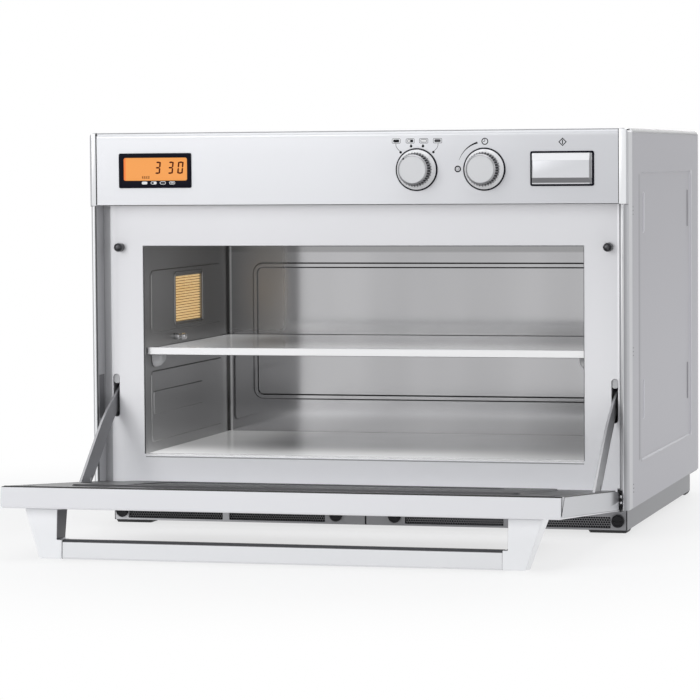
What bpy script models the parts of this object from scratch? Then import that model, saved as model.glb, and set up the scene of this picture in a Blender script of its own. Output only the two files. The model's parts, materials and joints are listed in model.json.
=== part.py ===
"""Countertop commercial microwave oven, built as its case, its door and what it needs inside to work.

+X is to the right seen from the front, +Y to the rear, +Z up. Pieces are laid out from the middle of the
case's front plane, at the height of the worktop. The last step moves the whole oven so that the origin lies
in the middle of its base. Door pieces are drawn as if the door were shut, and an empty on the hinge axis
swings them open.
"""

import math

import bmesh
import bpy
from mathutils import Matrix, Vector

MM = 0.001

# Clearances and small values that all pieces share
SEAT_GAP = 0.3 * MM
OVERRUN = 4 * MM
MIN_CORNER = 0.15 * MM
CORNER_STEPS = 4
RIM_STEPS = 3
ROUND_STEPS = 24
MEDIUM_STEPS = 16
SMALL_STEPS = 12
SHARP_ANGLE = math.radians(32)

# Cavity, the driving size of the oven
CAVITY_WIDTH = 535.8 * MM
CAVITY_DEPTH = 341 * MM
OPENING_HEIGHT = 251.5 * MM
OPENING_CORNER = 2 * MM
LINER_SHEET = 1 * MM
LINER_SIDE_STEP = 0.4 * MM
WELL_MARGIN = 18 * MM
WELL_DEPTH = 13.5 * MM
PORT_RADIUS = 22 * MM
FRAME_RISE = 1.2 * MM
FRAME_SLOPE = 1.6 * MM
BACK_RIDGE_WIDTH = 8 * MM
BACK_RIDGE_RISE = 2 * MM
BACK_RIDGE_CORNER = 14 * MM
BACK_RIDGE_SIDE_MARGIN = 34 * MM
BACK_RIDGE_TOP_MARGIN = 30 * MM
BACK_RIDGE_BOTTOM_MARGIN = 43 * MM
PAD_CORNER = 8 * MM
PAD_FRONT_MARGIN = 25 * MM
PAD_REAR_MARGIN = 30 * MM
PAD_SHELF_GAP = 17 * MM
PAD_TOP_MARGIN = 29.5 * MM
LOWER_PAD_REACH = 3 * MM
LOWER_PAD_FLOOR_GAP = 13 * MM
LOWER_PAD_TOP_GAP = 3.5 * MM
INNER_PAD_FRONT = 27 * MM
INNER_PAD_LENGTH = 199 * MM
INNER_PAD_LIFT = 46 * MM
INNER_PAD_HEIGHT = 30 * MM

# Case
SIDE_SPACE = 57.1 * MM
REAR_SPACE = 151.2 * MM
FOOT_HEIGHT = 3 * MM
PLINTH_HEIGHT = 28.7 * MM
LOWER_SPACE = 52 * MM
LINTEL = 49.6 * MM
PANEL_HEIGHT = 85.9 * MM
CASE_SHEET = 1 * MM
COVER_BEND = 6 * MM
FRAME_DEPTH = 22.7 * MM
POST_WIDTH = 7.5 * MM
POST_EDGE = 5 * MM
CAP_EDGE = 1.2 * MM
CAP_PROUD = 0.6 * MM
FLANGE_REACH = 11 * MM
PLATE_RECESS = 27.3 * MM
PLATE_SHEET = 1.2 * MM
PLATE_SIDE_GAP = 8 * MM
GUTTER_LAP = 0.6 * MM

# Pressed panel and beads of the cover's sides
SIDE_PRESS_DEPTH = 2 * MM
SIDE_PRESS_CORNER = 8 * MM
SIDE_PRESS_FRONT = 61 * MM
SIDE_PRESS_REAR = 56 * MM
SIDE_PRESS_BOTTOM = 49 * MM
SIDE_PRESS_TOP = 50 * MM
SIDE_BEAD_WIDTH = 5 * MM
SIDE_BEAD_RISE = 1.2 * MM
SIDE_BEAD_LENGTH = 48 * MM
SIDE_BEAD_INSET = 28 * MM
SIDE_BEAD_END = 48 * MM

# Plinth, filters and feet
PLINTH_INSET = 10.5 * MM
PLINTH_RECESS = 45.9 * MM
PLINTH_SHEET = 1.2 * MM
PLINTH_REAR_INSET = 3 * MM
FILTER_THICKNESS = 2.3 * MM
FILTER_SPLIT = 0.6 * MM
FILTER_RIM = 2.4 * MM
WINDOW_INSET = 48 * MM
WINDOW_SPLIT = 8 * MM
WINDOW_END = 18 * MM
WINDOW_LIP = 5 * MM
SLOT_PITCH = 8.5 * MM
SLOT_WIDTH = 5.6 * MM
SCREW_INNER = 36 * MM
SCREW_OUTER = 10.5 * MM
SCREW_LIFT = 11.3 * MM
SCREW_HEAD_RADIUS = 7.8 * MM
SCREW_HEAD_HEIGHT = 5 * MM
SCREW_SHANK_RADIUS = 3 * MM
SCREW_SLOT_WIDTH = 1.8 * MM
SCREW_SLOT_DEPTH = 1.4 * MM
RUNNING_GAP = 0.4 * MM
FOOT_WIDTH = 47 * MM
FOOT_DEPTH = 30 * MM
FOOT_TAPER = 4 * MM
FOOT_STUD_RADIUS = 3 * MM
FOOT_STUD_HEIGHT = 6 * MM

# Control panel
PANEL_SKIN = 2.5 * MM
PANEL_EDGE = 6.5 * MM
PANEL_BOSS_RADIUS = 4 * MM
KNOB_LEVEL = 39.8 * MM
POWER_KNOB_INSET = 241.2 * MM
TIMER_KNOB_INSET = 160.7 * MM
KNOB_FOOT_RADIUS = 25 * MM
KNOB_FOOT_HEIGHT = 1.4 * MM
KNOB_SKIRT_RADIUS = 23.8 * MM
KNOB_SKIRT_HEIGHT = 3.6 * MM
KNOB_GRIP_RADIUS = 19 * MM
KNOB_CAP_RADIUS = 16 * MM
KNOB_HEIGHT = 22.5 * MM
KNOB_FLUTES = 24
KNOB_FLUTE_DEPTH = 0.7 * MM
KNOB_SHAFT_RADIUS = 3 * MM
KNOB_SHAFT_REACH = 14 * MM
DISPLAY_INSET = 29.1 * MM
DISPLAY_WIDTH = 90.5 * MM
DISPLAY_HEIGHT = 41.5 * MM
DISPLAY_LIFT = 20 * MM
DISPLAY_PROUD = 1.5 * MM
DISPLAY_BORDER = 5.5 * MM
DISPLAY_SILL = 8.4 * MM
DISPLAY_BODY = 8 * MM
DISPLAY_CORNER = 2.5 * MM
GLASS_THICKNESS = 3 * MM
GLASS_SINK = 0.8 * MM
BUTTON_INSET = 32.2 * MM
BUTTON_FRAME_WIDTH = 74.8 * MM
BUTTON_FRAME_HEIGHT = 40.6 * MM
BUTTON_LIFT = 19.8 * MM
BUTTON_BORDER = 1.9 * MM
BUTTON_GAP = 0.4 * MM
BUTTON_RISE = 4.5 * MM
BUTTON_SIDE_SLOPE = 2.4 * MM
BUTTON_TOP_SLOPE = 8 * MM
BUTTON_BOTTOM_SLOPE = 6 * MM
BUTTON_BODY = 7 * MM
BUTTON_TRAVEL = 2.5 * MM
BUTTON_STEM_RADIUS = 3 * MM
BOARD_SETBACK = 22.2 * MM
BOARD_THICKNESS = 1.6 * MM
BOARD_MARGIN = 10 * MM
BOARD_COMPONENT = 6.5 * MM

# Door
DOOR_SIDE_GAP = 4.9 * MM
DOOR_TOP_GAP = 2.7 * MM
DOOR_SEAL_GAP = 0.5 * MM
DOOR_THICKNESS = 24.1 * MM
DOOR_SHEET = 2 * MM
DOOR_EDGE = 2.5 * MM
DOOR_OPEN_ANGLE = math.radians(85.4)
HINGE_INSET = 3.6 * MM
HINGE_LIFT = 2 * MM
HINGE_PIN_RADIUS = 1.9 * MM
LIP_DROP = 4.7 * MM
LIP_THICKNESS = 8 * MM
HEEL_LIFT = 1.5 * MM
HEEL_CURVE = 7 * MM
PANEL_RABBET = 2.4 * MM
INNER_SHEET = 1.5 * MM
INNER_RAISE = 2.2 * MM
INNER_RAISE_MARGIN = 12 * MM
INNER_WINDOW_MARGIN = 55 * MM
INNER_WINDOW_SINK = 1 * MM
DOOR_WINDOW_MARGIN = 70 * MM
DOOR_WINDOW_CORNER = 10 * MM
DOOR_GLASS_LAP = 6 * MM
DOOR_GLASS_THICKNESS = 4 * MM
HINGE_PLATE = 2.5 * MM
HINGE_PLATE_HEIGHT = 22 * MM
HINGE_PLATE_DEPTH = 10 * MM
HINGE_NOSE = 4.4 * MM
HINGE_SCREW_RADIUS = 3 * MM
HINGE_PIN_REACH = 6 * MM

# Handle
HANDLE_REACH = 55 * MM
HANDLE_BAR_HEIGHT = 21.5 * MM
HANDLE_BAR_DEPTH = 19 * MM
HANDLE_BAR_CHAMFER = 2.8 * MM
HANDLE_TOP_GAP = 15.5 * MM
HANDLE_BRACKET_DEPTH = 34 * MM
HANDLE_TIP_DEPTH = 25.2 * MM
HANDLE_SOFTENING = 1.5 * MM
HANDLE_BRACKET_WIDTH = 38 * MM
HANDLE_ELBOW_WIDTH = 26.5 * MM
HANDLE_INSET = 60.2 * MM
HANDLE_STUB = 5.6 * MM
HANDLE_CORNER = 3 * MM
HANDLE_BAR_SETBACK = 2 * MM

# Door arms and the guides behind their slots
ARM_THICKNESS = 3 * MM
ARM_LENGTH = 200 * MM
ARM_REAR_EDGE = 12.3 * MM
ARM_FRONT_EDGE = 10.6 * MM
# Each pair: share of the arm's length, share of the edge's distance from the pivot line
ARM_FRONT_SHARES = ((0.1, 0.98), (0.2, 1), (0.5, 0.943), (0.655, 0.52), (0.805, -0.14), (1, -0.99))
ARM_REAR_SHARES = ((0.09, 1), (0.14, 1.26), (0.2, 1.36), (0.36, 1.38), (0.515, 1.38), (0.685, 1.43),
                   (0.755, 1.64), (1, 2.17))
ARM_PIN_RADIUS = 3 * MM
ARM_TAIL_PIN_RADIUS = 4 * MM
ARM_TAIL_PIN_REACH = 3.4 * MM
ARM_HOLE_LENGTH = 8 * MM
ARM_HOLE_WIDTH = 4 * MM
ARM_HOLE_ALONG = 26 * MM
ARM_HOLE_DROP = 11.5 * MM
ARM_PIVOT_SHARE = 0.5475
ARM_PIVOT_SINK = 8.8 * MM
ARM_OPEN_ANGLE = math.radians(40.4)
ARM_SHUT_ANGLE = math.radians(4.0)
SLOT_CLEARANCE = 2.2 * MM
SLOT_BELLY_MARGIN = 3 * MM
SLOT_EDGE_MARGIN = 2 * MM
SLOT_LOW_MARGIN = 0.7 * MM
SLOT_HIGH_MARGIN = 2.2 * MM
GUIDE_SHEET = 1 * MM
GUIDE_RISE = 6 * MM
GUIDE_DROP = 4 * MM
EAR_SHEET = 1.5 * MM

# Catch studs
STUD_RADIUS = 5.3 * MM
STUD_REACH = 14 * MM
STUD_TIP = 5 * MM
STUD_SIDE = 12.5 * MM
STUD_BELOW_TOP = 1.3 * MM
STUD_SOCKET_GAP = 2.4 * MM
STUD_SHANK_RADIUS = 3 * MM
STUD_SHANK_REACH = 4.8 * MM

# Ceramic floor, shelf and what carries them
FLOOR_THICKNESS = 7.5 * MM
FLOOR_PROUD = 1.8 * MM
SHELF_LEVEL = 120.5 * MM
SHELF_THICKNESS = 7.5 * MM
SHELF_SETBACK = 9.2 * MM
SHELF_REAR_GAP = 8 * MM
SHELF_SIDE_GAP = 2 * MM
SHELF_CORNER = 12 * MM
SHELF_EDGE = 2 * MM
SUPPORT_WIDTH = 30 * MM
SUPPORT_HEIGHT = 17 * MM
SUPPORT_REACH = 12 * MM
SUPPORT_SIDE_SHARE = 0.82
SUPPORT_TIP_SHARE = 0.55
SUPPORT_FRONT = 39 * MM
SUPPORT_REAR = 48 * MM
STOP_PIN_RADIUS = 4 * MM
STOP_PIN_NECK = 2.8 * MM
STOP_PIN_REACH = 15 * MM
STOP_PIN_DEPTH = 119 * MM
STOP_PIN_LIFT = 5 * MM
STOP_PIN_SHANK = 3 * MM

# Lamp
LAMP_FRONT = 112.5 * MM
LAMP_WIDTH = 119 * MM
LAMP_BOTTOM = 148 * MM
LAMP_HEIGHT = 69.5 * MM
LAMP_BORDER = 6.5 * MM
LAMP_RIBS = 15
LAMP_RIB_RISE = 1.6 * MM
RIB_VALLEY_SHARE = 0.25
LAMP_GLASS = 2.4 * MM
LAMP_DISH_RADIUS = 28 * MM
LAMP_DISH_DEPTH = 16 * MM
LAMP_DISH_SHEET = 1 * MM
LAMP_BULB_RADIUS = 9 * MM
BULB_NECK_SHARE = 0.6
LAMP_SOCKET_RADIUS = 12 * MM
LAMP_SOCKET_DEPTH = 8 * MM

# Microwave parts
CEILING_THICKNESS = 3 * MM
CEILING_MARGIN = 4 * MM
WAVEGUIDE_WIDTH = 96 * MM
WAVEGUIDE_HEIGHT = 27 * MM
WAVEGUIDE_SHEET = 1.5 * MM
WAVEGUIDE_FRONT = 45 * MM
WAVEGUIDE_TAIL = 96 * MM
MOTOR_RADIUS = 22 * MM
MOTOR_HEIGHT = 18 * MM
STIRRER_RADIUS = 70 * MM
STIRRER_HUB_RADIUS = 11 * MM
STIRRER_SHEET = 1.5 * MM
STIRRER_BLADES = 4
STIRRER_BLADE_WIDTH = 34 * MM
STIRRER_SHAFT_RADIUS = 3 * MM
STIRRER_DROP = 4.5 * MM
STIRRER_CENTRE = 170 * MM
STIRRER_PITCH = math.radians(7)
MAGNETRON_WIDTH = 88 * MM
MAGNETRON_DEPTH = 70 * MM
MAGNETRON_HEIGHT = 74 * MM
MAGNETRON_WALL = 4 * MM
MAGNETRON_CAP_SHARE = 0.3
MAGNETRON_GAP = 3 * MM
FIN_COUNT = 7
FIN_GAP = 4 * MM
ANTENNA_RADIUS = 8 * MM
ANTENNA_HEIGHT = 20 * MM
TRANSFORMER_INSET = 170 * MM
TRANSFORMER_WIDTH = 98 * MM
TRANSFORMER_DEPTH = 78 * MM
TRANSFORMER_HEIGHT = 84 * MM
TRANSFORMER_FOOT = 3 * MM
TRANSFORMER_FOOT_REACH = 10 * MM
COIL_BULGE = 13 * MM
COIL_SHARE = 0.58

# Cooling fan
FAN_INSET = 175 * MM
FAN_LEVEL = 255 * MM
FAN_SIZE = 130 * MM
FAN_DEPTH = 36 * MM
FAN_WALL = 5 * MM
FAN_HUB_RADIUS = 20 * MM
FAN_BLADES = 7
FAN_BLADE_THICKNESS = 1.8 * MM
FAN_TIP_GAP = 2.5 * MM
FAN_BLADE_DEPTH = 20 * MM
FAN_ROOT_ANGLE = math.radians(52)
FAN_TIP_ANGLE = math.radians(34)
FAN_STRUT = 7 * MM
FAN_STRUT_DEPTH = 4 * MM

# Rear panel
REAR_SHEET = 1 * MM
REAR_INSET = 1 * MM
SPACER_SIZE = 26 * MM
SPACER_PROUD = 6 * MM
SPACER_SLOPE = 5 * MM
VENT_SLOT_HEIGHT = 3.6 * MM
VENT_PITCH = 8 * MM
VENT_WIDTH = 112 * MM
EXHAUST_SLOTS = 12
FAN_SLOTS = 14
GLAND_INSET = 90 * MM
GLAND_LEVEL = 70 * MM
GLAND_RADIUS = 13 * MM
GLAND_BORE = 6.5 * MM
GLAND_NUT_RADIUS = 17 * MM
GLAND_NUT_HEIGHT = 5 * MM
GLAND_DOME = 5 * MM
GLAND_INSIDE = 14 * MM

# Places worked out from the sizes above
OPENING_HALF = CAVITY_WIDTH / 2
CASE_HALF = OPENING_HALF + SIDE_SPACE
PLINTH_BOTTOM = FOOT_HEIGHT + SEAT_GAP
COVER_BOTTOM = PLINTH_BOTTOM + PLINTH_HEIGHT
OPENING_BOTTOM = COVER_BOTTOM + LOWER_SPACE
OPENING_TOP = OPENING_BOTTOM + OPENING_HEIGHT
PANEL_BOTTOM = OPENING_TOP + LINTEL
CASE_TOP = PANEL_BOTTOM + PANEL_HEIGHT
POST_INNER = CASE_HALF - POST_WIDTH
PLATE_HALF = POST_INNER - PLATE_SIDE_GAP
PLATE_REAR = PLATE_RECESS + PLATE_SHEET
GUTTER_FRONT = PLATE_REAR + SEAT_GAP
GUTTER_REAR = GUTTER_FRONT + CASE_SHEET
LINER_FRONT = PLATE_REAR + SEAT_GAP
LINER_REAR = LINER_FRONT + CAVITY_DEPTH
LINER_HALF = OPENING_HALF + LINER_SIDE_STEP
CASE_REAR = LINER_REAR + REAR_SPACE
COVER_FRONT = FRAME_DEPTH + SEAT_GAP
FLOOR_TOP = OPENING_BOTTOM + FLOOR_PROUD
FLOOR_BOTTOM = FLOOR_TOP - FLOOR_THICKNESS
LINER_FLOOR = FLOOR_BOTTOM - SEAT_GAP
WELL_FLOOR = LINER_FLOOR - WELL_DEPTH
CEILING_BOTTOM = OPENING_TOP + SEAT_GAP
CEILING_TOP = CEILING_BOTTOM + CEILING_THICKNESS
LINER_CEILING = CEILING_TOP + SEAT_GAP
WELL_CEILING = LINER_CEILING + WELL_DEPTH
STIRRER_Y = LINER_FRONT + STIRRER_CENTRE

DOOR_HALF = POST_INNER - DOOR_SIDE_GAP
HANDLE_INNER = DOOR_HALF - HANDLE_INSET
DOOR_TOP = PANEL_BOTTOM - DOOR_TOP_GAP
DOOR_REAR = PLATE_RECESS - DOOR_SEAL_GAP
DOOR_FRONT = DOOR_REAR - DOOR_THICKNESS
HINGE_Y = DOOR_FRONT + HINGE_INSET
HINGE_Z = COVER_BOTTOM + HINGE_LIFT
ARM_PIVOT_Y = DOOR_REAR - ARM_PIVOT_SINK
ARM_PIVOT_LIFT = ARM_LENGTH * ARM_PIVOT_SHARE
ARM_PIVOT_Z = HINGE_Z + ARM_PIVOT_LIFT
ARM_PIVOT_SETBACK = ARM_PIVOT_Y - HINGE_Y
OPEN_SINE = math.sin(DOOR_OPEN_ANGLE)
OPEN_COSINE = math.cos(DOOR_OPEN_ANGLE)
REST_PIVOT_REACH = ARM_PIVOT_LIFT * OPEN_SINE - ARM_PIVOT_SETBACK * OPEN_COSINE
REST_PIVOT_LIFT = ARM_PIVOT_LIFT * OPEN_COSINE + ARM_PIVOT_SETBACK * OPEN_SINE
ARM_SLOT_HALF = ARM_THICKNESS / 2 + SLOT_CLEARANCE
ARM_X = PLATE_HALF - SLOT_EDGE_MARGIN - ARM_SLOT_HALF
SLOT_BOTTOM = ARM_PIVOT_Z - ARM_REAR_EDGE - SLOT_LOW_MARGIN
ARM_REST_RUN = PLATE_REAR - HINGE_Y + REST_PIVOT_REACH
ARM_CROSSING = HINGE_Z + REST_PIVOT_LIFT + ARM_REST_RUN * math.tan(ARM_OPEN_ANGLE)
SLOT_TOP = ARM_CROSSING + ARM_FRONT_EDGE / math.cos(ARM_OPEN_ANGLE) + SLOT_HIGH_MARGIN
STUD_X = PLATE_HALF - STUD_SIDE
STUD_Z = OPENING_TOP - STUD_BELOW_TOP
KNOB_Z = PANEL_BOTTOM + KNOB_LEVEL
POWER_KNOB_X = POST_INNER - POWER_KNOB_INSET
TIMER_KNOB_X = POST_INNER - TIMER_KNOB_INSET
DISPLAY_LEFT = DISPLAY_INSET - POST_INNER
BUTTON_LEFT = POST_INNER - BUTTON_INSET - BUTTON_FRAME_WIDTH
TRANSFORMER_X = CASE_HALF - TRANSFORMER_INSET
FAN_X = CASE_HALF - FAN_INSET
GLAND_X = CASE_HALF - GLAND_INSET
SHELF_BOTTOM = OPENING_BOTTOM + SHELF_LEVEL
SHELF_TOP = SHELF_BOTTOM + SHELF_THICKNESS
SHELF_FRONT = LINER_FRONT + SHELF_SETBACK
REAR_PANEL_OUT = CASE_REAR - REAR_INSET
REAR_PANEL_IN = REAR_PANEL_OUT - REAR_SHEET
PLINTH_HALF = CASE_HALF - PLINTH_INSET
PLINTH_FRONT = PLINTH_RECESS + FILTER_THICKNESS + SEAT_GAP
PLINTH_REAR = CASE_REAR - PLINTH_REAR_INSET
PLINTH_TOP = COVER_BOTTOM - SEAT_GAP


def mesh_of(bm):
    """Turns a bmesh into a mesh whose faces all point outwards."""
    bmesh.ops.recalc_face_normals(bm, faces=bm.faces)
    mesh = bpy.data.meshes.new("shape")
    bm.to_mesh(mesh)
    bm.free()
    return mesh


def spot(axis, a, b, h):
    """A point with height h along an axis and a, b across it, in X, Y, Z order."""
    return Vector({"X": (h, a, b), "Y": (a, h, b), "Z": (a, b, h)}[axis])


def loft(loops, ring=False):
    """Joins loops of as many points each by quads, with ends capped or the last loop tied to the first."""
    bm = bmesh.new()
    rows = [[bm.verts.new(point) for point in loop] for loop in loops]
    count = len(rows[0])
    pairs = list(zip(rows, rows[1:]))
    if ring:
        pairs.append((rows[-1], rows[0]))
    for row, after in pairs:
        for k in range(count):
            bm.faces.new((row[k], row[(k + 1) % count], after[(k + 1) % count], after[k]))
    if not ring:
        bm.faces.new(rows[0])
        bm.faces.new(rows[-1])
    return mesh_of(bm)


def prism(outline, axis, span):
    """An outline drawn across an axis and extruded along it."""
    bm = bmesh.new()
    face = bm.faces.new([bm.verts.new(spot(axis, a, b, span[0])) for a, b in outline])
    pushed = bmesh.ops.extrude_face_region(bm, geom=[face])
    moved = [item for item in pushed["geom"] if isinstance(item, bmesh.types.BMVert)]
    bmesh.ops.translate(bm, verts=moved, vec=spot(axis, 0, 0, span[1] - span[0]))
    return mesh_of(bm)


def block(x, y, z):
    """A plain block between two values on each axis."""
    return prism([(x[0], y[0]), (x[1], y[0]), (x[1], y[1]), (x[0], y[1])], "Z", z)


def rounded(a, b, radius, steps=CORNER_STEPS):
    """A rounded rectangle as a list of points, anticlockwise."""
    radius = max(min(radius, (a[1] - a[0]) / 2 - MIN_CORNER, (b[1] - b[0]) / 2 - MIN_CORNER), MIN_CORNER)
    centres = ((a[1] - radius, b[0] + radius), (a[1] - radius, b[1] - radius),
               (a[0] + radius, b[1] - radius), (a[0] + radius, b[0] + radius))
    points = []
    for corner, (ca, cb) in enumerate(centres):
        for k in range(steps + 1):
            turn = math.pi / 2 * (corner - 1 + k / steps)
            points.append((ca + radius * math.cos(turn), cb + radius * math.sin(turn)))
    return points


def inset_loop(a, b, radius, inset, axis, height, steps=CORNER_STEPS):
    """A rounded rectangle drawn in by an inset, as points in space."""
    outline = rounded((a[0] + inset, a[1] - inset), (b[0] + inset, b[1] - inset), radius - inset, steps)
    return [spot(axis, p, q, height) for p, q in outline]


def soft_prism(a, b, radius, axis, span, rim_low=0, rim_high=0, steps=CORNER_STEPS):
    """A prism over a rounded rectangle with a rounded rim at either end of its span."""
    loops = []
    for end, rim, inward in ((span[0], rim_low, 1), (span[1], rim_high, -1)):
        turns = [math.pi / 2 * k / RIM_STEPS for k in range(RIM_STEPS + 1)] if rim else [math.pi / 2]
        rows = [(rim * (1 - math.sin(t)), end + inward * rim * (1 - math.cos(t))) for t in turns]
        loops += [inset_loop(a, b, radius, i, axis, h, steps) for i, h in rows[::inward]]
    return loft(loops)


def frustum(a, b, radius, axis, base, top, slope, steps=CORNER_STEPS):
    """A pad that stands on a wall with sloping sides, wide at its base."""
    return loft([inset_loop(a, b, radius, 0, axis, base, steps),
                 inset_loop(a, b, radius, slope, axis, top, steps)])


def ridge(a, b, radius, width, axis, base, top, steps=CORNER_STEPS):
    """A raised band that follows a rounded rectangle, with a flat crest half as wide as its foot."""
    side = width / 4
    rows = ((0, base), (side, top), (width - side, top), (width, base))
    return loft([inset_loop(a, b, radius, inset, axis, h, steps) for inset, h in rows], ring=True)


def circle(axis, centre, radius, height, steps=ROUND_STEPS, phase=0):
    """Points of a circle around an axis through a centre."""
    turns = [2 * math.pi * (k + phase) / steps for k in range(steps)]
    return [spot(axis, centre[0] + radius * math.cos(t), centre[1] + radius * math.sin(t),
                 height) for t in turns]


def turned(profile, axis, centre, steps=ROUND_STEPS, ring=False):
    """A turned shape from radius and height pairs, solid, or with a bore where the profile is a ring."""
    return loft([circle(axis, centre, radius, height, steps) for radius, height in profile], ring)


def rod(axis, centre, radius, span, steps=ROUND_STEPS):
    """A round bar."""
    return turned([(radius, span[0]), (radius, span[1])], axis, centre, steps)


def softened(mesh, width, steps=2):
    """A mesh with a small round on each of its sharp edges."""
    bm = bmesh.new()
    bm.from_mesh(mesh)
    sharp = [edge for edge in bm.edges if edge.calc_face_angle() > SHARP_ANGLE]
    bmesh.ops.bevel(bm, geom=sharp, offset=width, segments=steps, profile=0.5, affect="EDGES",
                    clamp_overlap=True)
    return mesh_of(bm)


def group(meshes):
    """Several meshes that don't touch, as one mesh."""
    bm = bmesh.new()
    for mesh in meshes:
        bm.from_mesh(mesh)
        bpy.data.meshes.remove(mesh)
    mesh = bpy.data.meshes.new("shape")
    bm.to_mesh(mesh)
    bm.free()
    return mesh


def boolean(operation, base, tools):
    """Runs Boolean modifiers on a mesh, one after the other, and gives the resulting mesh."""
    collection = bpy.context.scene.collection
    host = bpy.data.objects.new("host", base)
    collection.objects.link(host)
    helpers = []
    for tool in tools:
        helper = bpy.data.objects.new("helper", tool)
        collection.objects.link(helper)
        step = host.modifiers.new("step", "BOOLEAN")
        step.operation = operation
        step.solver = "EXACT"
        step.object = helper
        helpers.append(helper)
    view = bpy.context.evaluated_depsgraph_get()
    result = bpy.data.meshes.new_from_object(host.evaluated_get(view))
    for piece in helpers + [host]:
        mesh = piece.data
        bpy.data.objects.remove(piece)
        bpy.data.meshes.remove(mesh)
    return result


def join(base, *tools):
    """One body from pieces that overlap."""
    return boolean("UNION", base, tools)


def cut(base, *tools):
    """A body less the cutters."""
    return boolean("DIFFERENCE", base, tools)


def cross(base, *tools):
    """What a body shares with each of the others."""
    return boolean("INTERSECT", base, tools)


def mirrored(mesh):
    """The same shape on the other side of the oven's middle plane."""
    other = mesh.copy()
    other.transform(Matrix.Scale(-1, 4, (1, 0, 0)))
    other.flip_normals()
    return other


def finish(name, colour, roughness, metallic=0.0):
    """A material with a plain colour."""
    material = bpy.data.materials.new(name)
    material.use_nodes = True
    shader = next(node for node in material.node_tree.nodes if node.type == "BSDF_PRINCIPLED")
    shader.inputs["Base Color"].default_value = (*colour, 1)
    shader.inputs["Roughness"].default_value = roughness
    shader.inputs["Metallic"].default_value = metallic
    return material


def empty(name, location, parent=None, tilt=0.0):
    """A frame that carries pieces."""
    frame = bpy.data.objects.new(name, None)
    frame.location = location
    frame.rotation_euler.x = tilt
    frame.parent = parent
    bpy.context.scene.collection.objects.link(frame)
    return frame


def add(name, mesh, material, parent, origin=(0, 0, 0), location=None):
    """Adds a piece drawn around the oven's axes, with its own origin."""
    mesh.transform(Matrix.Translation(-Vector(origin)))
    mesh.name = name
    mesh.materials.clear()
    mesh.materials.append(material)
    mesh.shade_smooth()
    mesh.set_sharp_from_angle(angle=SHARP_ANGLE)
    piece = bpy.data.objects.new(name, mesh)
    piece.location = origin if location is None else location
    piece.parent = parent
    bpy.context.scene.collection.objects.link(piece)
    return piece


def base_plinth():
    """The tray under the case: cooling air enters through its front, and everything heavy stands on it."""
    x = (-PLINTH_HALF, PLINTH_HALF)
    y = (PLINTH_FRONT, PLINTH_REAR)
    z = (PLINTH_BOTTOM, PLINTH_TOP)
    tray = block(x, y, z)
    hollow = block((x[0] + PLINTH_SHEET, x[1] - PLINTH_SHEET), (y[0] + PLINTH_SHEET, y[1] - PLINTH_SHEET),
                   (z[0] + PLINTH_SHEET, z[1] + OVERRUN))
    tray = cut(tray, hollow)
    reach = CASE_HALF - CASE_SHEET
    flange_z = (z[1] - PLINTH_SHEET, z[1])
    flange = cut(block((-reach, reach), (GUTTER_FRONT, y[1]), flange_z),
                 block((x[0] + PLINTH_SHEET, x[1] - PLINTH_SHEET), (y[0] + PLINTH_SHEET, y[1] - PLINTH_SHEET),
                       (flange_z[0] - OVERRUN, flange_z[1] + OVERRUN)))
    tray = join(tray, flange)
    through = (y[0] - OVERRUN, y[0] + PLINTH_SHEET + OVERRUN)
    openings = []
    for side in (-1, 1):
        ends = sorted((side * (SCREW_INNER + SCREW_HEAD_RADIUS), side * (PLINTH_HALF - WINDOW_END)))
        openings.append(soft_prism(ends, (z[0] + PLINTH_SHEET, z[1] - WINDOW_LIP), FILTER_RIM, "Y", through,
                                   steps=1))
        for at in (SCREW_INNER, PLINTH_HALF - SCREW_OUTER):
            hole = SCREW_SHANK_RADIUS + RUNNING_GAP
            openings.append(rod("Y", (side * at, z[0] + SCREW_LIFT), hole, through, SMALL_STEPS))
    for at in foot_places():
        hole = FOOT_STUD_RADIUS + RUNNING_GAP
        openings.append(rod("Z", at, hole, (z[0] - OVERRUN, z[0] + PLINTH_SHEET + OVERRUN), SMALL_STEPS))
    return cut(tray, group(openings))


def foot_places():
    """Centres of the feet under the plinth's corners."""
    across = PLINTH_HALF - FOOT_WIDTH / 2
    return [(side * across, y) for y in (PLINTH_FRONT + FOOT_DEPTH / 2, PLINTH_REAR - FOOT_DEPTH / 2)
            for side in (-1, 1)]


def foot(centre):
    """A rubber foot, narrower where it stands, with its stud."""
    x = (centre[0] - FOOT_WIDTH / 2, centre[0] + FOOT_WIDTH / 2)
    y = (centre[1] - FOOT_DEPTH / 2, centre[1] + FOOT_DEPTH / 2)
    pad = frustum(x, y, FOOT_TAPER, "Z", FOOT_HEIGHT, 0, FOOT_TAPER / 2, 2)
    stud = rod("Z", centre, FOOT_STUD_RADIUS, (FOOT_HEIGHT / 2, FOOT_HEIGHT + FOOT_STUD_HEIGHT), SMALL_STEPS)
    return join(pad, stud)


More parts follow.
